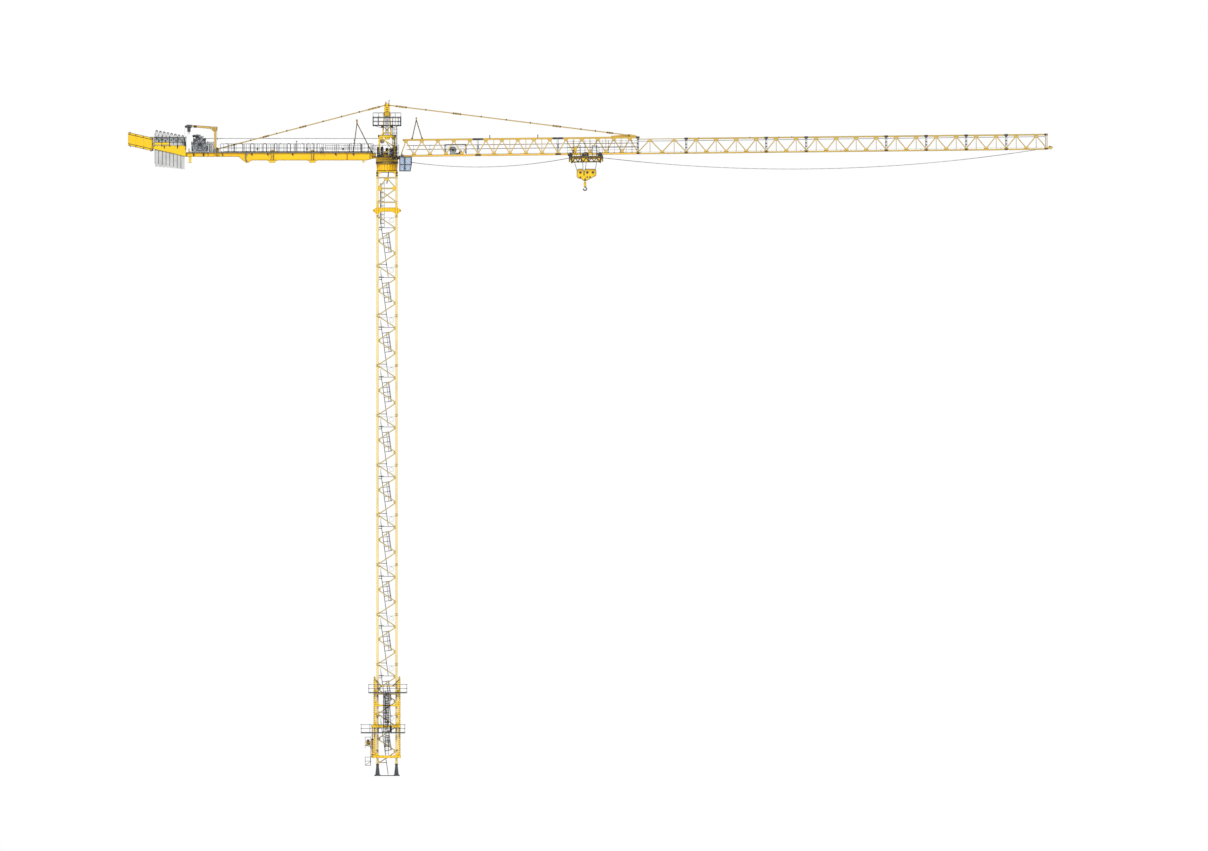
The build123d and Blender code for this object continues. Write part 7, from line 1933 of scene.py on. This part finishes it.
def hook_details():
    """Axle caps, edge strips and rope guards of the hook block, the hook's latch and its collar."""
    dark, yellow, steel, latch = Pile(), Pile(), Pile(), Pile()
    centre = Vector((HOOK_X, 0, BLOCK_LEVEL))
    cheek = [
        (-0.1, 0.024), (-0.084, 0.042), (-0.034, 0.042), (-0.016, 0.024), (-0.014, -0.038), (-0.009, -0.038),
        (-0.008, 0.028), (0.006, 0.042), (0.118, 0.042), (0.138, 0.024), (0.138, -0.04), (0.092, -0.062),
        (0.058, -0.082), (0.02, -0.102), (-0.02, -0.102), (-0.042, -0.082), (-0.084, -0.072), (-0.1, -0.054)]
    for side in (-1, 1):
        for (x, z), (x_next, z_next) in zip(cheek, cheek[1:] + cheek[:1]):
            dark.beam(
                centre + Vector((x, side * 0.0126, z)), centre + Vector((x_next, side * 0.0126, z_next)),
                0.0058, 0.0024)
        for x in BLOCK_AXLES:
            yellow.cap(centre + Vector((x, side * 0.012, 0)), Y * side, 0.0195, 0.002, 0.003, 0.017, 24)
            dark.lathe(
                [(0.003, 0.0125), (0.0075, 0.0125), (0.009, 0.0085)], centre + Vector((x, side * 0.012, 0)),
                Y * side, 18)
            for a in bearings(6):
                steel.bolt(
                    centre + Vector((x + 0.016 * cos(a), side * 0.0148, 0.016 * sin(a))), Y * side, 0.0014,
                    0.0014)
        for x, z in ((-0.058, -0.06), (0.027, -0.058), (0.062, -0.058), (0, -0.088)):
            dark.cap(centre + Vector((x, side * 0.0122, z)), Y * side, 0.01, 0.0045, 0.0055, 0.0075, 16)
        for x, z in (
            (-0.085, 0.03), (-0.036, 0.03), (0.012, 0.032), (0.06, 0.032), (0.124, 0.028), (0.124, -0.034),
            (-0.088, -0.058)
        ):
            steel.bolt(centre + Vector((x, side * 0.0121, z)), Y * side, 0.0022, 0.002)
        rib = [(-0.004, -0.1), (0.004, -0.1), (0.01, -0.066), (-0.01, -0.066)]
        yellow.plate(rib, centre + Y * side * 0.013, X, Z, 0.003)
    for x, z in ((-0.093, 0.018), (-0.026, 0.018), (0.003, 0.02), (0.132, 0.018), (0.062, 0.034)):
        steel.rod(centre + Vector((x, -0.0085, z)), centre + Vector((x, 0.0085, z)), 0.002, 8)
    swivel = BLOCK_LEVEL - 0.128
    dark.disc((HOOK_X, 0, swivel - 0.006), Z, 0.0166, 0.004, 24)
    dark.lathe([(0, 0.015), (0.003, 0.0166), (0.006, 0.0166)], (HOOK_X, 0, swivel - 0.0482), Z, 24)
    for a in bearings(8, 0.5):
        steel.bolt(
            (HOOK_X + 0.0162 * cos(a), 0.0162 * sin(a), swivel - 0.02), (cos(a), sin(a), 0), 0.0022, 0.002)
    bowl = Vector((HOOK_X, 0, swivel - 0.078))
    gate = [
        bowl + Vector((-0.019, 0, -0.006)), bowl + Vector((-0.017, 0, 0.006)),
        bowl + Vector((-0.01, 0, 0.017)), bowl + Vector((-0.006, 0, 0.02))]
    latch.tube(gate, 0.0022, 8)
    latch.lathe([(-0.008, 0.0036), (0.008, 0.0036)], bowl + Vector((-0.0065, 0, 0.02)), Y, 12)
    for a in range(3):
        latch.ring(bowl + Vector((-0.0065, -0.0062 + 0.0062 * a, 0.02)), Y, 0.0042, 0.0008, 16)
    latch.disc(bowl + Z * 0.0262, Z, 0.0086, 0.003, 18)
    dark.make("hook_block_trim", "hook_block", "black", "rail_grey")
    yellow.make("hook_block_bosses", "hook_block", "yellow", "jib_yellow")
    steel.make("hook_block_bolts", "hook_block", "steel", "steel")
    latch.make("hook_latch", "hook", "steel", "steel")


# Ropes

ROPE_RADIUS = 0.005
FOOT_SHEAVE = Vector((0.19, 0, TURRET_TOP - 0.025))


def wire_path(start, end, sag, step=0.006):
    """Points along a rope that hangs in a shallow arc between two ends."""
    start, end = Vector(start), Vector(end)
    count = max(2, int((end - start).length / step))
    return [
        start.lerp(end, k / count) - Z * (4 * sag * (k / count) * (1 - k / count)) for k in range(count + 1)]


def laid_rope(pile, points, radius=ROPE_RADIUS, lay=0.036):
    """Lays three strands round a line of points."""
    first, second = frame_along(points[-1] - points[0])
    run, lengths = 0.0, [0.0]
    for near, far in zip(points, points[1:]):
        run += (far - near).length
        lengths.append(run)
    strand = radius * 0.5
    for k in range(3):
        path = []
        for point, length in zip(points, lengths):
            a = 2 * pi * (length / lay + k / 3)
            path.append(point + first * ((radius - strand) * cos(a)) + second * ((radius - strand) * sin(a)))
        pile.tube(path, strand, 6)


def lay_ropes():
    """Hoist rope to the head and down to the jib's foot, along the jib, and the falls to the hook block."""
    def piece(name, runs):
        pile = Pile()
        for points in runs:
            laid_rope(pile, points)
        return pile.make(name, None, "rope", "rope")

    head_sheave = Vector((-0.06, 0, ROPE_LEVEL - 0.032))
    head_reach, foot_reach = 0.0317, 0.0246
    span = FOOT_SHEAVE - head_sheave
    cross = degrees(atan2(span.z, span.x)) - degrees(atan2(head_reach + foot_reach, hypot(span.x, span.z)))
    def round_wheel(centre, reach, angle):
        return centre + Vector((reach * cos(radians(angle)), 0, reach * sin(radians(angle))))
    runs = [
        wire_path((WINCH_X, 0, ROPE_LEVEL), (head_sheave.x, 0, ROPE_LEVEL), 0.0),
        wire_path(
            round_wheel(head_sheave, head_reach, cross + 90),
            round_wheel(FOOT_SHEAVE, foot_reach, cross - 90), 0.0)]
    rope = piece("hoist_rope_strands", runs)
    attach(rope, UPPER)
    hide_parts("hoist_rope")
    wheels = [on_jib(TROLLEY_CENTRE + u, 0, SHEAVE_LEVEL) for u in SHEAVES]
    reach = 0.0242
    inner_start = round_wheel(FOOT_SHEAVE, foot_reach, -102)
    inner_end = round_wheel(wheels[0], reach, 102)
    outer_start = round_wheel(wheels[2], reach, 83)
    outer_end = on_jib(JIB_LENGTH + 0.0092, 0, 0.022)
    inner = piece("jib_rope_inner", [wire_path(inner_start, inner_end, 0.095)])
    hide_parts("jib_ropes")
    inner_end - X * 0.30
    inner_end - X * 0.01
    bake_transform(inner)
    outer = piece("jib_rope_outer", [wire_path(outer_start, outer_end, 0.2)])
    outer_start + X * 0.30
    outer_start + X * 0.01
    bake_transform(outer)
    block = Vector((HOOK_X, 0, BLOCK_LEVEL))
    big, small = 0.0338, 0.0261
    tops = (wheels[0].x + reach, wheels[1].x - reach, wheels[1].x + reach, wheels[2].x - reach)
    bottoms = (BLOCK_AXLES[0] - big, BLOCK_AXLES[0] + big, BLOCK_AXLES[1] - small, BLOCK_AXLES[2] + small)
    falls = piece("hoist_fall_strands", [
        wire_path((top, 0, wheels[1].z), (block.x + bottom, 0, block.z), 0.0)
        for top, bottom in zip(tops, bottoms)])
    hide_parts("hoist_falls")
    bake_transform(falls)


# Ring support and heavier members


def ring_support_shell():
    """The slewing ring's seat: a drum with a flange on four arched side plates, with bolts and a black strip
    of painted shade along each arch.
    """
    shell, dark = Pile(), Pile()
    low, high = RING_BOX
    bottom, seat, flange, top = low.z, low.z + RING_SKIRT, high.z - RING_FLANGE, high.z
    middle = 0.118
    section = [(seat, 0.098), (top, 0.098), (top, 0.138), (flange, 0.138), (flange, 0.124), (seat, 0.124)]
    circle = arc((0, 0, 0), middle, 0, 360, 72, (1, 0, 0), (0, 1, 0))[:-1]
    shell.tube(circle, 0, 6, True, [(z, radius - middle) for z, radius in section])
    bend = [(0.101, 0)] + [
        (0.06 + 0.041 * cos(radians(a)), 0.02 + 0.04 * sin(radians(a))) for a in range(0, 91, 15)]
    arch = bend + [(-x, z) for x, z in bend[::-1]]
    outline = [(-0.131, 0), (-0.131, RING_SKIRT), (0.131, RING_SKIRT), (0.131, 0)] + arch
    corner = [(0.131, 0.01), (0.131, 0.131), (0.01, 0.131)]
    corner += [(0.11 * cos(radians(a)), 0.11 * sin(radians(a))) for a in range(85, 0, -10)]
    for across, out in ((X, Y), (X, -Y), (Y, X), (Y, -X)):
        shell.plate(outline, out * 0.125 + Z * bottom, across, Z, 0.012)
        # Painted shade: a black strip along the top of each arch.
        dark.tube([out * 0.129 + across * x + Z * (bottom + z - 0.001) for x, z in arch[4:-4]], 0.0046, 8)
        for x in (-0.117, 0.117):
            for rise, radius in ((0.05, 0.0068), (0.02, 0.005)):
                dark.bolt(out * 0.131 + across * x + Z * (bottom + rise), out, radius, 0.004)
    for x, y in CORNERS:
        shell.plate([(x * a, y * b) for a, b in corner], (0, 0, seat - 0.003), X, Y, 0.006)
        shell.block((x * 0.1165, y * 0.1165, (bottom + seat) / 2), (0.028, 0.028, seat - bottom - 0.001))
    seat_piece = shell.make("ring_support_shell", "tower", "yellow", "head_yellow")
    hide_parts("ring_support")
    dark.make("ring_support_bolts_and_arch_shade", "tower", "black", "rail_grey")


def gantry_sleeves():
    """Round sleeves on the legs of the erection gantries."""
    sleeves = Pile()
    legs = [
        (REAR_GANTRY - Z * 0.045 + Y * side * 0.012, Vector((x, side * 0.09, GANTRY_FOOT)))
        for x in REAR_SHOES for side in (-1, 1)]
    legs += [(FRONT_GANTRY - Z * 0.03, on_jib(u, 0, INNER_DEPTH + 0.012)) for u in FRONT_SHOES]
    for start, end in legs:
        sleeves.rod(start.lerp(end, 0.03), start.lerp(end, 0.95), 0.0062, 12)
        for share in (0.03, 0.34, 0.66, 0.95):
            spot = start.lerp(end, share)
            sleeves.lathe([(-0.004, 0.0074), (0.004, 0.0074)], spot, end - start, 12)
    sleeves.make("gantry_leg_sleeves", UPPER, "bronze", "tie_grey")


def rail_sleeves():
    """Round rails of the jib walkway and the head deck, and the line along the outer jib."""
    rails, lines = Pile(), Pile()
    for w, y in RAIL_LINES:
        for side in (-1, 1):
            rails.tube([on_jib(0.095, side * y, w), on_jib(INNER_LENGTH - 0.02, side * y, w)], 0.0036, 8)
            for k in range(9):
                rails.lathe(
                    [(-0.004, 0.0052), (0.004, 0.0052)], on_jib(0.11 + 0.2625 * k, side * y, w), JIB_AXIS, 10)
    for start, end, _, high_nodes, depth in jib_sections():
        if start > INNER_LENGTH - 0.01:
            level = depth - 0.026
            rails.tube([on_jib(start + 0.006, 0.012, level), on_jib(end - 0.006, 0.012, level)], 0.003, 8)
            for u in high_nodes:
                rails.block(on_jib(u, 0.006, level), (0.01, 0.016, 0.012), JIB_TURN, 0.002)
    rails.make("jib_handrail_sleeves", UPPER, "rail", "rail_grey")
    low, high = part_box("head_deck")
    for z in (0.05, 0.098, high.z - HEAD_DECK - 0.004):
        for side in (-1, 1):
            y = (low.y if side < 0 else high.y) - side * 0.004
            lines.tube([(low.x + 0.012, y, HEAD_DECK + z), (high.x - 0.012, y, HEAD_DECK + z)], 0.0034, 8)
    lines.make("head_deck_rail_sleeves", UPPER, "rail", "rail_grey")


def cage_front_ladder():
    """Hooped ladder, switch box and conduit on the front of the climbing cage."""
    cage = Pile()
    y = -CAGE_OUTER - 0.024
    left, middle, right = -0.046, -0.021, 0.004
    for x in (left, right):
        cage.post(x, y, 0.548, 1.03, 0.006, 0.006)
    for k in range(24):
        cage.rod((left, y, 0.562 + k * 0.02), (right, y, 0.562 + k * 0.02), 0.003, 8)
    for k in range(6):
        z = 0.64 + k * 0.072
        hoop = [(left, y, z)] + [
            (middle - 0.034 * cos(a), y - 0.032 * sin(a), z) for a in [pi * n / 8 for n in range(1, 8)]
        ] + [(right, y, z)]
        cage.tube(hoop, 0.0026, 6)
    for a in (0.3, 0.5, 0.7):
        x, out = middle - 0.034 * cos(pi * a), 0.032 * sin(pi * a)
        cage.post(x, y - out, 0.64, 1.0, 0.0034, 0.0024)
    for z in (0.56, 0.72, 0.88, 1.02):
        for x in (left, right):
            cage.beam((x, y, z), (x, -CAGE_OUTER + 0.001, z), 0.005, 0.005)
    cage.block((0.046, -CAGE_OUTER - 0.026, 0.58), (0.028, 0.03, 0.066), cut=0.003)
    cage.block((0.046, -CAGE_OUTER - 0.028, 0.616), (0.034, 0.034, 0.008), cut=0.002)
    cage.tube(
        [
            (0.046, y, 0.616), (0.046, y, 0.76), (0.036, y + 0.004, 0.86), (0.04, y + 0.004, 0.98),
            (0.046, y, 1.03)],
        0.004, 8)
    cage.make("cage_front_ladder", "climbing_cage", "rail", "rail_grey")


def winch_guards():
    """Rim, spokes and housings on the ends of the hoist winch, and fittings on the ballast rails."""
    winch = Pile()
    for side in (-1, 1):
        y = side * 0.0906
        for radius, thick, steps in ((0.082, 0.0042, 40), (0.056, 0.0026, 32)):
            winch.ring((WINCH_X, y, WINCH_AXIS), Y, radius, thick, steps)
        for k in range(9):
            way = Vector((cos(2 * pi * k / 9 + 0.2), 0, sin(2 * pi * k / 9 + 0.2)))
            spot = Vector((WINCH_X, y, WINCH_AXIS))
            winch.beam(spot + way * 0.024, spot + way * 0.082, 0.007, 0.004)
        for x, z, width, height in (
            (-0.094, -0.052, 0.022, 0.06), (0.094, -0.05, 0.024, 0.064), (-0.07, 0.058, 0.022, 0.034),
            (0.066, 0.062, 0.026, 0.03), (0.01, 0.076, 0.05, 0.016), (0.1, 0.01, 0.016, 0.05),
            (-0.1, 0.012, 0.014, 0.044)
        ):
            winch.block((WINCH_X + x, y - side * 0.006, WINCH_AXIS + z), (width, 0.014, height), cut=0.002)
    for k in range(15):
        x = -2.905 + k * 0.0265
        for side in (-1, 1):
            winch.block(
                (x, side * 0.1284, 7.952 + 0.012 * sin(k * 2.3)),
                (0.011 + 0.004 * (k % 3), 0.006, 0.014 + 0.007 * (k % 4)), cut=0.002)
    winch.make("winch_guards", UPPER, "machine", "machine_grey")


turret_fittings()
tower_head_fittings()
head_deck_fittings()
cab_fittings()
jib_gussets()
jib_joints()
jib_walk_details()
trolley_winch_details()
gantry_and_tie_details()
girder_details()
rail_details()
winch_details()
ballast_details()
davit_details()
trolley_details()
hook_details()
lay_ropes()
ring_support_shell()
gantry_sleeves()
rail_sleeves()
cage_front_ladder()
winch_guards()


# Stage: camera, floor and light

camera_data = bpy.data.cameras.new("side_view")
camera_data.type = "ORTHO"
camera_data.ortho_scale = 15.1
camera_data.clip_end = 200.0
camera = bpy.data.objects.new("side_view", camera_data)
camera.location = (2.7125, -40.0, 4.381)
camera.rotation_euler = (radians(90), 0, 0)
bpy.context.scene.collection.objects.link(camera)
bpy.context.scene.camera = camera


def backdrop(tree, surface, light):
    """Shows plain white to the eye, and to glass and metal, in place of a surface or a world."""
    path = tree.nodes.new("ShaderNodeLightPath")
    seen = tree.nodes.new("ShaderNodeMath")
    seen.operation = "MAXIMUM"
    tree.links.new(path.outputs["Is Camera Ray"], seen.inputs[0])
    tree.links.new(path.outputs["Is Transmission Ray"], seen.inputs[1])
    both = tree.nodes.new("ShaderNodeMath")
    both.operation = "MAXIMUM"
    tree.links.new(seen.outputs[0], both.inputs[0])
    tree.links.new(path.outputs["Is Glossy Ray"], both.inputs[1])
    white = tree.nodes.new(light)
    white.inputs["Color"].default_value = (1, 1, 1, 1)
    white.inputs["Strength"].default_value = 1.0
    blend = tree.nodes.new("ShaderNodeMixShader")
    tree.links.new(both.outputs[0], blend.inputs[0])
    tree.links.new(surface, blend.inputs[1])
    tree.links.new(white.outputs[0], blend.inputs[2])
    return blend.outputs[0]


world = bpy.data.worlds.new("studio")
world.use_nodes = True
sky = world.node_tree.nodes["Background"]
sky.inputs["Color"].default_value = (1, 1, 1, 1)
sky.inputs["Strength"].default_value = 0.5
world.node_tree.links.new(
    backdrop(world.node_tree, sky.outputs[0], "ShaderNodeBackground"),
    world.node_tree.nodes["World Output"].inputs["Surface"])
bpy.context.scene.world = world
bpy.context.scene.view_settings.view_transform = "Standard"

floor_mesh = bpy.data.meshes.new("floor")
reach = 60.0
floor_mesh.from_pydata(
    [(-reach, -reach, 0), (reach, -reach, 0), (reach, reach, 0), (-reach, reach, 0)], [], [(0, 1, 2, 3)])
floor = bpy.data.objects.new("floor", floor_mesh)
floor.location.z = -0.002
bpy.context.scene.collection.objects.link(floor)
ground = Finish("pale_floor")
ground.set(Base_Color=from_srgb(236, 236, 236), Roughness=0.9, Specular_IOR_Level=0.1)
floor_mesh.materials.append(ground.material)

for name, turn, strength, spread in (
    ("key_light", (52, 0, -28), 1.9, 14), ("fill_light", (60, 0, 140), 0.7, 40),
):
    lamp = bpy.data.lights.new(name, "SUN")
    lamp.energy = strength
    lamp.angle = radians(spread)
    lamp_object = bpy.data.objects.new(name, lamp)
    lamp_object.rotation_euler = [radians(a) for a in turn]
    bpy.context.scene.collection.objects.link(lamp_object)
